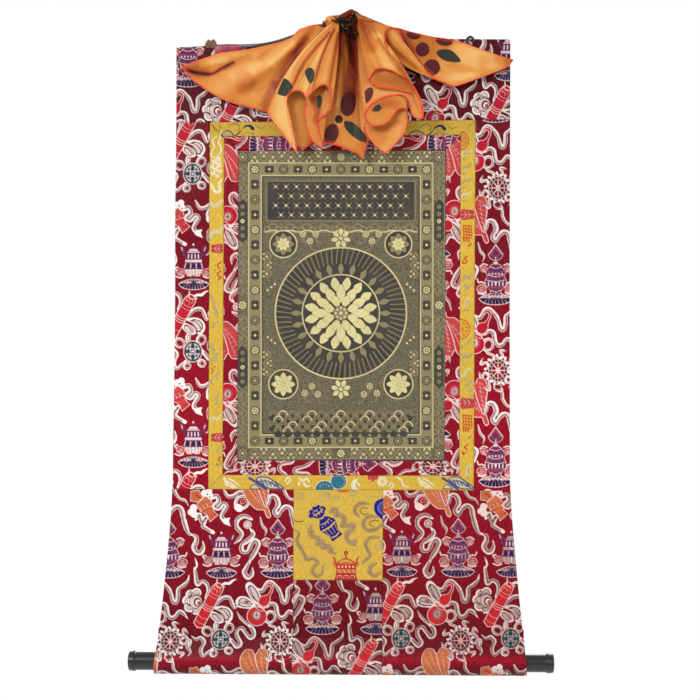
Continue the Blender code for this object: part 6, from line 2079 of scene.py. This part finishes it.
# painted light and shade on the silk: fold, the line, its half width, how soft, and how much
PAINTED_LIGHT_STROKES = [
    (LW, [(206, 63), (224, 58), (240, 54)], 3.0, 6.0, 0.10),
    (LW, [(181, 67), (190, 68), (202, 70)], 4.0, 8.0, -0.16),
    (LW, [(187, 70.5), (200, 73.5), (212, 74), (223, 68), (233, 62.5)], 0.5, 2.2, -0.42),
    (LW, [(226, 69), (240, 62), (252, 58)], 0.5, 4.0, -0.10),
    (LW, [(214, 90), (222, 84), (230, 78)], 3.0, 8.0, 0.06),
    (LW, [(290, 42), (278, 53), (264, 64), (254, 70)], 2.5, 6.0, 0.16),
    (LW, [(306, 40), (294, 56), (284, 74), (278, 96)], 1.5, 5.0, -0.16),
    (LW, [(268, 70), (256, 80), (242, 90)], 1.5, 7.0, -0.10),
    (LW, [(272, 66), (264, 80), (256, 96)], 2.0, 6.0, 0.06),
    (LW, [(292, 56), (284, 70), (278, 84)], 3.0, 7.0, -0.14),
    (LW, [(232, 94), (240, 90), (250, 84)], 3.0, 8.0, -0.05),
    (LW, [(312, 30), (300, 44), (296, 60), (288, 80)], 2.0, 3.5, -0.14),
    (OUTER, [(332, 27), (312, 44), (296, 62), (284, 84), (272, 106)], 1.0, 3.0, 0.16),
    (ARCH, [(330, 33), (314, 50), (302, 66), (292, 88)], 0.6, 2.2, -0.26),
    (ARCH, [(334, 32), (322, 52), (311, 72), (304, 90)], 1.4, 3.0, 0.14),
    (TALL, [(337, 26), (331, 48), (326, 70), (323, 84)], 1.4, 3.0, 0.08),
    (TALL, [(334, 30), (323, 52), (316, 74), (312, 88)], 0.6, 2.0, -0.26),
    (VALLEY, [(342, 28), (345, 58), (341, 84), (336, 120)], 1.2, 3.0, 0.22),
    (VALLEY, [(344, 50), (348, 66), (350, 84)], 1.6, 4.0, 0.10),
    (VALLEY, [(355, 34), (357, 60), (357, 88)], 1.6, 4.0, 0.06),
    (VALLEY, [(361, 44), (362, 70), (361, 104), (364, 140)], 0.6, 2.0, 0.24),
    (VALLEY, [(346, 108), (347, 124), (350, 138)], 5.0, 9.0, 0.12),
    (FRONT, [(376, 38), (382, 48), (387, 58), (390, 66)], 3.0, 7.0, 0.12),
    (FRONT, [(359, 26), (366, 37), (371, 47)], 3.5, 6.0, -0.17),
    (FRONT, [(378, 40), (390, 58), (402, 74), (414, 92)], 0.5, 2.4, -0.22),
    (FRONT, [(385, 36), (388, 52), (398, 63), (408, 80), (418, 98)], 0.4, 1.6, -0.20),
    (BAND, [(386, 34), (392, 46), (402, 56), (416, 68)], 0.6, 3.0, -0.16),
    (BAND, [(392, 32), (400, 42), (410, 53), (424, 68)], 1.2, 2.4, 0.12),
    (RW, [(392, 30), (404, 46), (414, 60), (430, 76)], 1.0, 3.0, -0.26),
    (RW, [(462, 50), (478, 57), (494, 60)], 6.0, 9.0, 0.20),
    (RW, [(446, 62), (462, 70), (474, 70)], 5.0, 8.0, 0.14),
    (RW, [(484, 62), (500, 62), (512, 62)], 4.0, 7.0, -0.10),
    (RW, [(396, 31), (404, 38), (412, 50)], 2.0, 5.0, -0.10),
    (RW, [(500, 60), (512, 60)], 3.0, 5.0, -0.12),
    (LW, [(236, 74), (246, 66), (254, 60)], 3.0, 8.0, 0.08),
    (LW, [(200, 66), (214, 62), (226, 60)], 0.8, 2.4, 0.10),
    (LW, [(288, 38), (276, 50), (262, 58)], 1.5, 6.0, -0.10),
    (LW, [(274, 84), (268, 96), (264, 106)], 1.0, 5.0, -0.16),
    (TALL, [(331, 90), (330, 84), (334, 60), (338, 34)], 0.4, 2.2, -0.22),
    (ARCH, [(309, 96), (309, 90), (318, 66), (330, 38)], 0.4, 2.2, -0.18),
    (OUTER, [(288, 96), (296, 78), (312, 56)], 0.6, 3.0, -0.14),
    (VALLEY, [(352, 40), (353, 70), (352, 94)], 3.0, 5.0, -0.10),
    (VALLEY, [(340, 60), (340, 84), (338, 104)], 1.6, 3.0, 0.16),
    (THIRD, [(370, 60), (378, 76), (390, 84)], 1.0, 3.0, -0.10),
    (FRONT, [(362, 40), (366, 56), (372, 68)], 0.6, 2.6, -0.14),
    (FRONT, [(380, 36), (388, 48), (398, 60)], 1.5, 6.0, 0.08),
    (FRONT, [(394, 70), (408, 80), (418, 96)], 1.0, 3.0, 0.06),
    (RW, [(440, 76), (456, 80), (470, 76)], 2.0, 5.0, 0.10),
    (RW, [(452, 66), (466, 70), (480, 68)], 2.0, 6.0, -0.10),
    (SECOND, [(376, 78), (390, 80), (404, 86)], 2.0, 4.0, -0.06),
    (FOURTH, [(374, 108), (386, 104), (396, 104)], 2.0, 4.0, -0.12),
    (THIRD, [(370, 86), (382, 92), (398, 93)], 2.0, 3.0, 0.06),
    (LOWEST, [(372, 130), (386, 129), (398, 122)], 1.0, 3.5, -0.12),
    (LOWEST, [(396, 128), (392, 140), (386, 149)], 3.0, 5.0, 0.08),
    (UNDER, [(314, 100), (318, 110), (316, 120)], 2.0, 4.0, -0.16),
]
# the dyed flowers, as parts of ovals and leaves in one fold each
MAROON = [
    (VALLEY, (348.3, 103.9), (7.6, 12.6), 0.16),
    ((BEHIND, VALLEY), (330.6, 135.0), (7.4, 11.8), 0.42),
    (THIRD, (367.8, 95.4), (4.6, 8.8), 0.45),
    (RW, (413.6, 34.8), (7.2, 5.0), 0.2),
    (RW, (422.6, 49.5), (6.9, 7.2), 0.0),
    (RW, (432.0, 67.4), (8.2, 8.3), 0.0),
    (RW, (444.3, 40.9), (8.8, 5.2), 0.15),
    (RW, (405.2, 43.2), (1.6, 3.6), -0.7),
    (LW, (322.0, 24.0), (5.0, 3.0), 0.5),
]
GREEN = [
    (OUTER, [(283.6, 78.4), (290, 82), (292.4, 88), (286.5, 96), (277, 93.5), (277.6, 86)]),
    (ARCH, [(283.6, 78.4), (290, 82), (292.4, 88), (286.5, 96), (277, 93.5), (277.6, 86)]),
    (TALL, [(305, 72), (309.5, 67.5), (314.4, 71), (314, 79), (310.5, 84), (307, 79)]),
    (ARCH, [(305, 72), (309.5, 67.5), (314.4, 71), (314, 79), (310.5, 84), (307, 79)]),
    (UNDER, [(317, 97), (320.5, 95), (322.6, 101), (320, 108), (317.2, 106)]),
    (UNDER, [(326, 113), (331, 110.5), (335, 114), (331, 119), (327, 118)]),
    (VALLEY, [(344, 121.4), (351, 121.8), (359, 127), (365, 135), (366.8, 142.4), (359, 140.5), (350.4, 134.4), (345, 128)]),
    (FOURTH, [(372, 110.6), (375.8, 105.6), (379.4, 104.2), (381.8, 108.6), (378, 111.6)]),
    (RW, [(436.4, 52.6), (442, 49.3), (450.6, 50.2), (457.4, 55.6), (460.8, 61.8), (451, 62.0), (442.4, 59.4)]),
]
RING = (VALLEY, (338.9, 119.4), 5.5, 4.3)


def veil_rays():
    """For each corner of the hem in order: the ruff, the neck, the middle and the
    hem of the line of cloth that ends there, in drawing units, with its painted light and shade."""
    rays = []
    for fold in VEIL:
        n = len(fold.corners)
        for k, (across, down, swing, sag) in enumerate(fold.corners):
            t = k / max(1, n - 1)
            neck = np.array(fold.neck_from) * (1 - t) + np.array(fold.neck_to) * t
            ruff = np.array(fold.ruff_from) * (1 - t) + np.array(fold.ruff_to) * t
            proud = fold.proud[0] * (1 - t) + fold.proud[1] * t
            belly = fold.belly[0] * (1 - t) + fold.belly[1] * t
            hem = np.array((across, down, proud), float)
            mid = (neck + hem) / 2 + np.array((swing, sag, belly))
            rays.append(np.array((ruff, neck, mid, hem, fold.glow)))
    return np.array(rays)


def rounded(lines, radius):
    """Rounds the turns of a row of points: each point becomes a weighted mean of its
    surroundings along the row. The two ends keep their places."""
    step = radius / 4
    run = np.concatenate([[0], np.cumsum(np.linalg.norm(np.diff(lines, axis=0), axis=1))])
    n = max(8, int(run[-1] / step))
    at = np.linspace(0, run[-1], n)
    even = np.stack([np.interp(at, run, lines[:, k]) for k in range(3)], axis=1)
    half = 12
    weight = np.exp(-0.5 * (np.arange(-half, half + 1) / 4.0) ** 2)
    weight /= weight.sum()
    # beyond its ends the row runs straight on
    before = even[0] + (even[0] - even[1]) * np.arange(half, 0, -1)[:, None]
    after = even[-1] + (even[-1] - even[-2]) * np.arange(1, half + 1)[:, None]
    padded = np.concatenate([before, even, after])
    soft = np.stack([np.convolve(padded[:, k], weight, "valid") for k in range(3)], axis=1)
    return np.stack([np.interp(run, at, soft[:, k]) for k in range(3)], axis=1)


def veil_surface():
    """The middle of the veil's cloth as a grid of points, [along the hem][down], the
    corner number of each column and the painted light and shade of each point."""
    rays = veil_rays()
    fine = (len(rays) - 1) * 12
    corner = np.linspace(0, len(rays) - 1, fine + 1)
    lines = through(rays, corner)
    drop = np.arange(DROP_ROWS + 1) / DROP_ROWS
    rise = np.arange(RUFF_ROWS, 0, -1) / RUFF_ROWS
    ruff, neck, mid, hem, glow = (lines[:, k][:, None, :] for k in range(5))
    v = drop[None, :, None]
    body = neck * (2 * v - 1) * (v - 1) + mid * 4 * v * (1 - v) + hem * v * (2 * v - 1)
    r = rise[None, :, None]
    puff = np.array((0.0, 0.0, 2.4))
    crown = neck * (1 - r) + ruff * r + puff * 4 * r * (1 - r)
    grid = np.concatenate([crown, body], axis=1)
    level = np.concatenate([np.zeros(RUFF_ROWS), drop])[None, :]
    lit = glow[..., 0] * (1 - level) ** 2 + glow[..., 1] * 2 * level * (1 - level) + glow[..., 2] * level**2
    # the hang of the two upper edges
    left = smooth(1 - corner / 1.6)[:, None]
    right = smooth(1 - (len(rays) - 1 - corner) / 1.6)[:, None]
    across = grid[..., 0].copy()
    grid[..., 1] += left * np.interp(across, *LEFT_EDGE) + right * np.interp(across, *RIGHT_EDGE)
    # pleats that run out from the gathers
    gather = np.exp(-((level / 0.30) ** 2)) * np.concatenate([rise * 0.5 + 0.2, np.clip(drop / 0.05, 0.2, 1)])[None, :]
    grid[..., 2] += 1.1 * gather * np.sin(corner * 6.6)[:, None]
    down = grid[..., 1]
    for name, pts, half, height in CREASES:
        d = line_field(across, down, smooth_line(pts, 4), 0.0)
        grid[..., 2] += column_mask(corner, name)[:, None] * height * np.exp(-((d / half) ** 2)) * smooth(level / 0.12 + 0.2)
    for name, pts, half, soft, amount in PAINTED_LIGHT_STROKES:
        d = line_field(across, down, smooth_line(pts, 4), half)
        lit = lit + column_mask(corner, name)[:, None] * 1.35 * amount * (1 - smooth(d / soft))
    grid = np.stack(drawn(grid[..., 0], grid[..., 1], grid[..., 2]), axis=-1)
    for j in range(grid.shape[1]):
        grid[:, j] = rounded(grid[:, j], VEIL_TURN)
    # columns are spread by how far the cloth runs and turns between them
    cost = np.zeros(fine)
    for j in (RUFF_ROWS + DROP_ROWS // 3, RUFF_ROWS + 2 * DROP_ROWS // 3, -1):
        d = np.diff(grid[:, j], axis=0)
        size = np.linalg.norm(d, axis=1)
        way = d / np.maximum(size, 1e-9)[:, None]
        turn = np.arccos(np.clip((way[1:] * way[:-1]).sum(1), -1, 1))
        cost += size / 0.030 + np.concatenate([[0], turn]) / 1.4
    total = np.concatenate([[0], np.cumsum(cost)])
    pick = np.interp(np.linspace(0, total[-1], COLUMNS + 1), total, np.arange(fine + 1))
    i = np.clip(np.floor(pick).astype(int), 0, fine - 1)
    f = pick - i
    return (
        grid[i] * (1 - f)[:, None, None] + grid[i + 1] * f[:, None, None],
        corner[i] * (1 - f) + corner[i + 1] * f,
        lit[i] * (1 - f)[:, None] + lit[i + 1] * f[:, None],
    )


def from_hem(mid):
    """How far each point of the cloth is from the hem, along the cloth's near part."""
    hem = mid[:, -1]
    n = len(hem)
    best = np.full(mid.shape[:2], 1.0)
    for shift in range(-40, 41):
        at = np.clip(np.arange(n) + shift, 0, n - 1)
        best = np.minimum(best, np.linalg.norm(mid - hem[at][:, None, :], axis=2))
    # the two upper edges are hemmed too
    for k, edge in ((0, mid[0]), (-1, mid[-1])):
        near = slice(0, 60) if k == 0 else slice(n - 60, n)
        for j in range(RUFF_ROWS, edge.shape[0], 1):
            best[near] = np.minimum(best[near], np.linalg.norm(mid[near] - edge[j], axis=2) + 0.0012)
    return best


def veil_cloth():
    mid, corner, lit = veil_surface()
    n = grid_normals(mid)
    rows = mid.shape[1]
    thick = SILK * np.clip(0.62 + 1.6 * np.arange(rows) / rows, 0, 1)[None, :, None]
    front, back = mid - n * thick / 2, mid + n * thick / 2
    across, down = seen_at(mid[..., 0], mid[..., 1], mid[..., 2])
    maroon = np.full(across.shape, 9.0)
    green, cream = maroon.copy(), maroon.copy()

    def only(names):
        """-9 in the columns from the first named fold to the last, 9 in the others."""
        if isinstance(names, str):
            names = (names,)
        low = FIRST[names[0]] - 0.45
        high = FIRST[names[-1]] + len(next(f for f in VEIL if f.name == names[-1]).corners) - 0.55
        return np.where((corner > low) & (corner < high), -9.0, 9.0)[:, None]

    for name, (cx, cy), (rx, ry), turn in MAROON:
        x, y = across - cx, down - cy
        c, s = math.cos(turn), math.sin(turn)
        maroon = np.minimum(maroon, np.maximum(oval_field(x * c + y * s, -x * s + y * c, rx, ry), only(name)))
    for name, pts in GREEN:
        green = np.minimum(green, np.maximum(shape_field(across, down, smooth_line(pts, 5, closed=True)), only(name)))
    name, (cx, cy), outer, inner = RING
    ring = np.hypot(across - cx, down - cy)
    cream = np.maximum(ring - outer, only(name))
    maroon = np.minimum(maroon, np.maximum(ring - inner, only(name)))
    fields = {
        "glow": lit, "dye_maroon": maroon, "dye_green": green, "dye_cream": cream,
        "hem": from_hem(mid) * 1000, "across": across, "down": down,
    }
    every_i = list(range(mid.shape[0]))
    return closed_sheet("silk_veil", front, back, every_i, spread(rows, 2), fields, both=tuple(fields)), mid


silk = Finish("orange_silk_satin")
fine = silk.noise(900, 2.0, 0.6)
crosswise = silk.noise(300, 2.0, 0.6, (0.35, 1, 1.5))
soft = silk.noise(22, 3.0, 0.55)
# the silk's painted light and shade, with a little random tone
glow = silk.math("ADD", silk.field("glow"), silk.ramp(soft, 0.3, 0.7, -0.06, 0.06))
glow = silk.math("ADD", glow, silk.ramp(fine, 0.3, 0.7, -0.07, 0.07))
# colour by painted light: near black in the deepest painted shade, pale gold in painted highlight
PAINTED_LIGHT_STEPS = [
    (0.00, srgb(44, 6, 8)), (0.20, srgb(100, 20, 12)), (0.40, srgb(148, 54, 20)), (0.58, srgb(182, 97, 30)),
    (0.74, srgb(205, 124, 48)), (0.88, srgb(217, 143, 64)), (1.06, srgb(231, 176, 102)),
]
colour = PAINTED_LIGHT_STEPS[0][1]
for (low, _), (high, paint) in zip(PAINTED_LIGHT_STEPS, PAINTED_LIGHT_STEPS[1:]):
    colour = silk.mix(silk.ramp(glow, low, high), colour, paint)
for key, paint in (("dye_cream", srgb(232, 168, 104)), ("dye_maroon", srgb(76, 2, 24)), ("dye_green", srgb(0, 42, 40))):
    printed = silk.mix(silk.ramp(crosswise, 0.3, 0.7), tuple(v * 0.72 for v in paint), paint)
    colour = silk.mix(silk.ramp(silk.field(key), -0.45, 0.45, 0.96, 0.0), colour, printed)
edge = silk.field("hem")
stitch = silk.ramp(crosswise, 0.35, 0.65)
line = silk.math("MULTIPLY", silk.ramp(edge, 3.6, 4.2), silk.ramp(edge, 4.8, 5.4, 1.0, 0.0))
colour = silk.mix(silk.math("MULTIPLY", line, 0.45), colour, srgb(214, 82, 34))
colour = silk.mix(silk.ramp(edge, 1.9, 3.0, 0.95, 0.0), colour, silk.mix(stitch, srgb(196, 48, 34), srgb(238, 92, 52)))
roll = silk.ramp(edge, 0.6, 2.4, 1.0, 0.0, "SMOOTHSTEP")
normal = silk.bump(roll, 0.0006, 0.7)
normal = silk.bump(soft, 0.0016, 0.35, normal)
normal = silk.bump(crosswise, 0.00014, 0.5, normal)
silk.done(colour, normal, Roughness=0.50, Sheen_Weight=0.05, Sheen_Roughness=0.45, Specular_IOR_Level=0.22)
veil, veil_mid = veil_cloth()
veil.data.materials.append(silk.m)
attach(veil, "root")
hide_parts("veil")


# ------------------------------------------------------------------ cord and ties
def shade_field(ob, name, values):
    layer = ob.data.attributes.new(name, "FLOAT", "POINT")
    layer.data.foreach_set("value", np.asarray(values, np.float32))


cord_look = Finish("cord_dark_braid")
fibre = cord_look.noise(800, 2.0, 0.6, (0.3, 1, 1.6))
# painted light on the cord: a painted highlight where it leaves the sleeve, painted shade further along
cord_painted_light = cord_look.mix(cord_look.field("cord_painted_light"), srgb(30, 28, 32), srgb(126, 126, 134))
cord_painted_light = cord_look.mix(cord_look.ramp(fibre, 0.32, 0.68), cord_look.mix(0.55, cord_painted_light, (0, 0, 0)), cord_painted_light)
cord_look.done(cord_painted_light, cord_look.bump(fibre, 0.0003, 0.6), Roughness=0.6, Sheen_Weight=0.2)
hanging_cord.data.materials.append(cord_look.m)
cord_co = np.zeros(len(hanging_cord.data.vertices) * 3)
hanging_cord.data.vertices.foreach_get("co", cord_co)
cord_co = cord_co.reshape(-1, 3)
cord_across, cord_down = seen_at(cord_co[:, 0], cord_co[:, 1], cord_co[:, 2])
# painted highlight left of 262 across, darker after it, painted shade beyond 282
shade_field(hanging_cord, "cord_painted_light", 0.30 + 0.70 * smooth((262 - cord_across) / 12) - 0.25 * smooth((cord_across - 282) / 12))


def band(name, path, half_wide, half_thick, sides=20, way=(0.0, 0.0, 1.0)):
    """A flat soft band along a path of points. half_wide may vary along it."""
    path = np.asarray(path, float)
    n = len(path)
    half_wide = np.broadcast_to(np.asarray(half_wide, float), (n,))
    t = np.gradient(path, axis=0)
    t /= np.linalg.norm(t, axis=1, keepdims=True)
    wide = np.array(way)[None, :] - t * (t @ np.array(way))[:, None]
    wide /= np.linalg.norm(wide, axis=1, keepdims=True)
    thick = np.cross(t, wide)
    a = 2 * math.pi * np.arange(sides) / sides
    c, s = np.cos(a), np.sin(a)
    u = np.sign(c) * np.abs(c) ** 0.45
    verts = path[:, None] + wide[:, None] * (half_wide[:, None] * u[None])[..., None] + thick[:, None] * (half_thick * s)[None, :, None]
    i, k = np.meshgrid(np.arange(n - 1), np.arange(sides), indexing="ij")
    m = (k + 1) % sides
    quads = np.stack([i * sides + k, i * sides + m, (i + 1) * sides + m, (i + 1) * sides + k], axis=-1).reshape(-1)
    loops = np.concatenate([quads, np.arange(sides)[::-1], np.arange((n - 1) * sides, n * sides)])
    sizes = np.concatenate([np.full((n - 1) * sides, 4), [sides, sides]])
    return add_mesh(name, verts.reshape(-1, 3), (loops, sizes), sharp=70)


# the satin sleeve that the cord comes out of
sleeve_path = smooth_path([drawn(*p) for p in [(215.2, 50.0, 2.7), (222, 49.4, 3.4), (231, 48.7, 3.6), (238, 48.3, 3.5), (241.3, 48.1, 3.1)]], 60)
sleeve_half = np.interp(np.arange(60), [0, 20, 54, 59], [0.0078, 0.0072, 0.0058, 0.0050])
ridge = 1 + 0.03 * np.sin(np.arange(60) * 0.9) + 0.02 * np.sin(np.arange(60) * 2.3)
sleeve = band("satin_sleeve", sleeve_path, sleeve_half * ridge, 0.0022, 28)
satin = Finish("maroon_satin")
gleam = satin.noise(60, 2.0, 0.5, (1, 1, 0.15))
warp = satin.noise(700, 1.5, 0.6, (0.3, 1, 1.4))
# painted sheen: the satin is lighter along the soft creases that the bump raises
satin_colour = satin.mix(satin.ramp(gleam, 0.3, 0.7), srgb(128, 6, 36), srgb(182, 22, 58))
satin_colour = satin.mix(satin.ramp(warp, 0.35, 0.65, 0.0, 0.3), satin_colour, srgb(96, 4, 28))
satin.done(satin_colour, satin.bump(gleam, 0.0012, 0.6), Roughness=0.36, Sheen_Weight=0.1)
sleeve.data.materials.append(satin.m)
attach(sleeve, "root")
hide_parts("cord_sleeve_left")

# the folded ribbon: two lengths of it that cross at the peak
tab_look = Finish("ribbon_weave")
stripe = tab_look.node("TexWave", wave_type="BANDS", bands_direction="X")
tab_look.join(tab_look.place((1, 0, 1), 0.75), stripe.inputs["Vector"])
stripe.inputs["Scale"].default_value = 62
stripe.inputs["Distortion"].default_value = 5.0
stripe.inputs["Detail"].default_value = 2.0
stripe.inputs["Detail Scale"].default_value = 1.5
patch_of = tab_look.noise(330, 2.0, 0.6)
tab_colour = tab_look.mix(tab_look.ramp(stripe.outputs["Fac"], 0.25, 0.5), srgb(70, 40, 26), srgb(176, 122, 62))
tab_colour = tab_look.mix(tab_look.ramp(stripe.outputs["Fac"], 0.62, 0.8), tab_colour, srgb(56, 74, 40))
tab_colour = tab_look.mix(tab_look.ramp(patch_of, 0.56, 0.64), tab_colour, srgb(158, 34, 30))
tab_look.done(tab_colour, tab_look.bump(patch_of, 0.0003, 0.5), Roughness=0.6, Sheen_Weight=0.2)
legs = []
for name, points in (
    ("ribbon_fold_back", [(207.4, 47.6, 3.2), (209.0, 44.0, 3.4), (210.8, 40.8, 3.2)]),
    ("ribbon_fold", [(211.2, 40.6, 4.4), (213.0, 43.6, 4.8), (214.8, 47.2, 4.5)]),
):
    leg = band(name, smooth_path([drawn(*p) for p in points], 24), np.interp(np.arange(24), [0, 12, 23], [0.0048, 0.0052, 0.0048] if name == "ribbon_fold_back" else [0.0048, 0.0052, 0.0044]), 0.0007, 20, (1.0, 0.0, 0.55 if name == "ribbon_fold_back" else -0.55))
    leg.data.materials.append(tab_look.m)
    legs.append(leg)
    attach(leg, "root")
    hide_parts("ribbon_tab_left")

# the small loop over the top edge at the right
loop_path = smooth_path([drawn(*p) for p in [(467.0, 42.4, 3.4), (467.3, 39.0, 3.4), (470.2, 36.9, 2.6), (473.2, 39.0, 3.4), (473.6, 42.4, 3.4)]], 48)
loop_ob = tube(loop_path, 0.0018 + 0.0002 * np.cos(np.arange(48) * 1.3), 18, "cord_loop")
knot_look = Finish("string_black")
strand = knot_look.noise(420, 2.0, 0.6)
fleck = knot_look.noise(260, 1.0, 0.5)
string = knot_look.mix(knot_look.ramp(strand, 0.35, 0.7), srgb(8, 8, 6), srgb(34, 30, 22))
string = knot_look.mix(knot_look.ramp(fleck, 0.64, 0.69), string, srgb(196, 140, 58))
knot_look.done(string, knot_look.bump(strand, 0.0005, 0.7), Roughness=0.7, Specular_IOR_Level=0.15)
plain_string = Finish("string_plain")
wisp = plain_string.noise(500, 2.0, 0.6)
plain_string.done(plain_string.mix(wisp, srgb(16, 16, 20), srgb(60, 60, 68)), plain_string.bump(wisp, 0.0004, 0.6), Roughness=0.6)
loop_ob.data.materials.append(plain_string.m)
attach(loop_ob, "root")
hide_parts("cord_loop_right")

# the string that gathers the veil: turns round the necks, the knot and its two ends
TIE = [
    ("tie_turn_low", 0.00150, [(331.2, 19.4, 21), (333.0, 20.6, 31), (336.6, 21.6, 36.5), (340.0, 22.4, 36), (343.4, 24.0, 30), (346.2, 25.6, 25)]),
    ("tie_turn_high", 0.00160, [(333.4, 17.4, 22), (336.4, 18.8, 33), (340.4, 20.0, 36), (344.2, 21.4, 29), (348.0, 20.2, 22), (351.6, 17.0, 20), (354.4, 14.6, 17)]),
    ("tie_turn_right", 0.00150, [(343.6, 25.6, 24), (347.8, 24.0, 26), (352.0, 20.8, 30), (355.0, 17.6, 33), (357.0, 14.4, 34)]),
    ("tie_end_long", 0.00135, [(345.6, 29.6, 26), (349.6, 31.0, 27), (353.8, 30.6, 29), (357.2, 32.6, 33), (359.6, 37.4, 37), (360.8, 42.2, 37), (361.4, 47.4, 34)]),
    ("tie_end_short", 0.00130, [(342.6, 27.0, 27), (340.6, 30.4, 27), (340.0, 34.0, 26)]),
]
tie_pieces = []
for name, radius, points in TIE:
    line_ = smooth_path([drawn(*p) for p in points], 60)
    swell = 1 + 0.10 * np.sin(np.arange(60) * 1.1) - 0.35 * smooth((np.arange(60) - 54) / 5.0) * ("end" in name)
    tie_pieces.append(tube(line_, radius * swell, 14, name))
centre = np.array(drawn(345.2, 25.0, 29.5))
for k, (wide, high, deep, lean_by) in enumerate(((0.0058, 0.0040, 0.0030, 0.5), (0.0044, 0.0062, 0.0030, -0.5), (0.0036, 0.0048, 0.0042, 1.3))):
    a = np.linspace(0.2, 2 * math.pi - 0.15, 60)
    x, z = wide * np.cos(a), high * np.sin(a)
    c, s = math.cos(lean_by), math.sin(lean_by)
    ring = centre + np.stack([x * c - z * s, deep * np.sin(2 * a + k), x * s + z * c], axis=-1)
    tie_pieces.append(tube(ring, 0.0021 + 0.0002 * np.sin(a * 5), 16, f"tie_knot_{k + 1}"))
core = smooth_path([drawn(*p) for p in [(340.2, 19.6, 24), (342.8, 22.6, 26), (345.4, 25.8, 26), (347.6, 29.6, 25), (348.8, 32.6, 23)]], 50)
tie_pieces.append(tube(core, 0.0042 + 0.0022 * np.sin(np.linspace(0, math.pi, 50)) + 0.0005 * np.sin(np.arange(50) * 0.8), 24, "tie_knot_heart"))
lump = smooth_path([drawn(*p) for p in [(350.4, 18.6, 20), (352.6, 16.4, 22), (354.8, 14.4, 22), (356.2, 12.8, 19)]], 30)
tie_pieces.append(tube(lump, 0.0026 + 0.0014 * np.sin(np.linspace(0, math.pi, 30)), 20, "tie_knot_side"))
for piece in tie_pieces:
    piece.data.materials.append(knot_look.m)
    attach(piece, "root")
    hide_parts("veil_tie")


# ------------------------------------------------------------------ floor, light and end
studio = Finish("studio_white")
studio.done(studio.mix(studio.noise(2.0, 2.0), srgb(247, 247, 247), srgb(252, 252, 252)), Roughness=0.9)
floor_rim = [(1.6 * math.cos(math.pi * k / 48), 1.6 * math.sin(math.pi * k / 48), -1.35) for k in range(96)]
floor = add_mesh("floor", floor_rim, [tuple(range(96))], sharp=60)
floor.data.materials.append(studio.m)


def lamp(name, at, aim, size, power, colour=(1, 1, 1)):
    data = bpy.data.lights.new(name, "AREA")
    data.shape = "RECTANGLE"
    data.size, data.size_y = size
    data.energy = power
    data.color = colour
    ob = bpy.data.objects.new(name, data)
    bpy.context.collection.objects.link(ob)
    ob.location = at
    ob.visible_camera = False
    d = np.array(aim, float) - np.array(at, float)
    d /= np.linalg.norm(d)
    ob.rotation_euler = (math.acos(-d[2]), 0, math.atan2(d[0], -d[1]) + math.pi)
    return ob


lamp("key", (-1.5, -2.6, 1.05), (0, 0, -0.5), (1.2, 0.9), 56)
lamp("fill", (1.9, -2.4, 0.4), (0, 0, -0.5), (1.6, 1.6), 18)
lamp("back", (0.8, 2.6, 0.9), (0, 0, -0.5), (1.6, 1.6), 40)
world = bpy.data.worlds.new("studio")
bpy.context.scene.world = world
world.use_nodes = True
air = world.node_tree
air.nodes["Background"].inputs["Color"].default_value = (1, 1, 1, 1)
air.nodes["Background"].inputs["Strength"].default_value = 0.52
paper = air.nodes.new("ShaderNodeBackground")
paper.inputs["Color"].default_value = (1, 1, 1, 1)
seen = air.nodes.new("ShaderNodeLightPath")
choose = air.nodes.new("ShaderNodeMixShader")
air.links.new(seen.outputs["Is Camera Ray"], choose.inputs[0])
air.links.new(air.nodes["Background"].outputs[0], choose.inputs[1])
air.links.new(paper.outputs[0], choose.inputs[2])
air.links.new(choose.outputs[0], air.nodes["World Output"].inputs["Surface"])
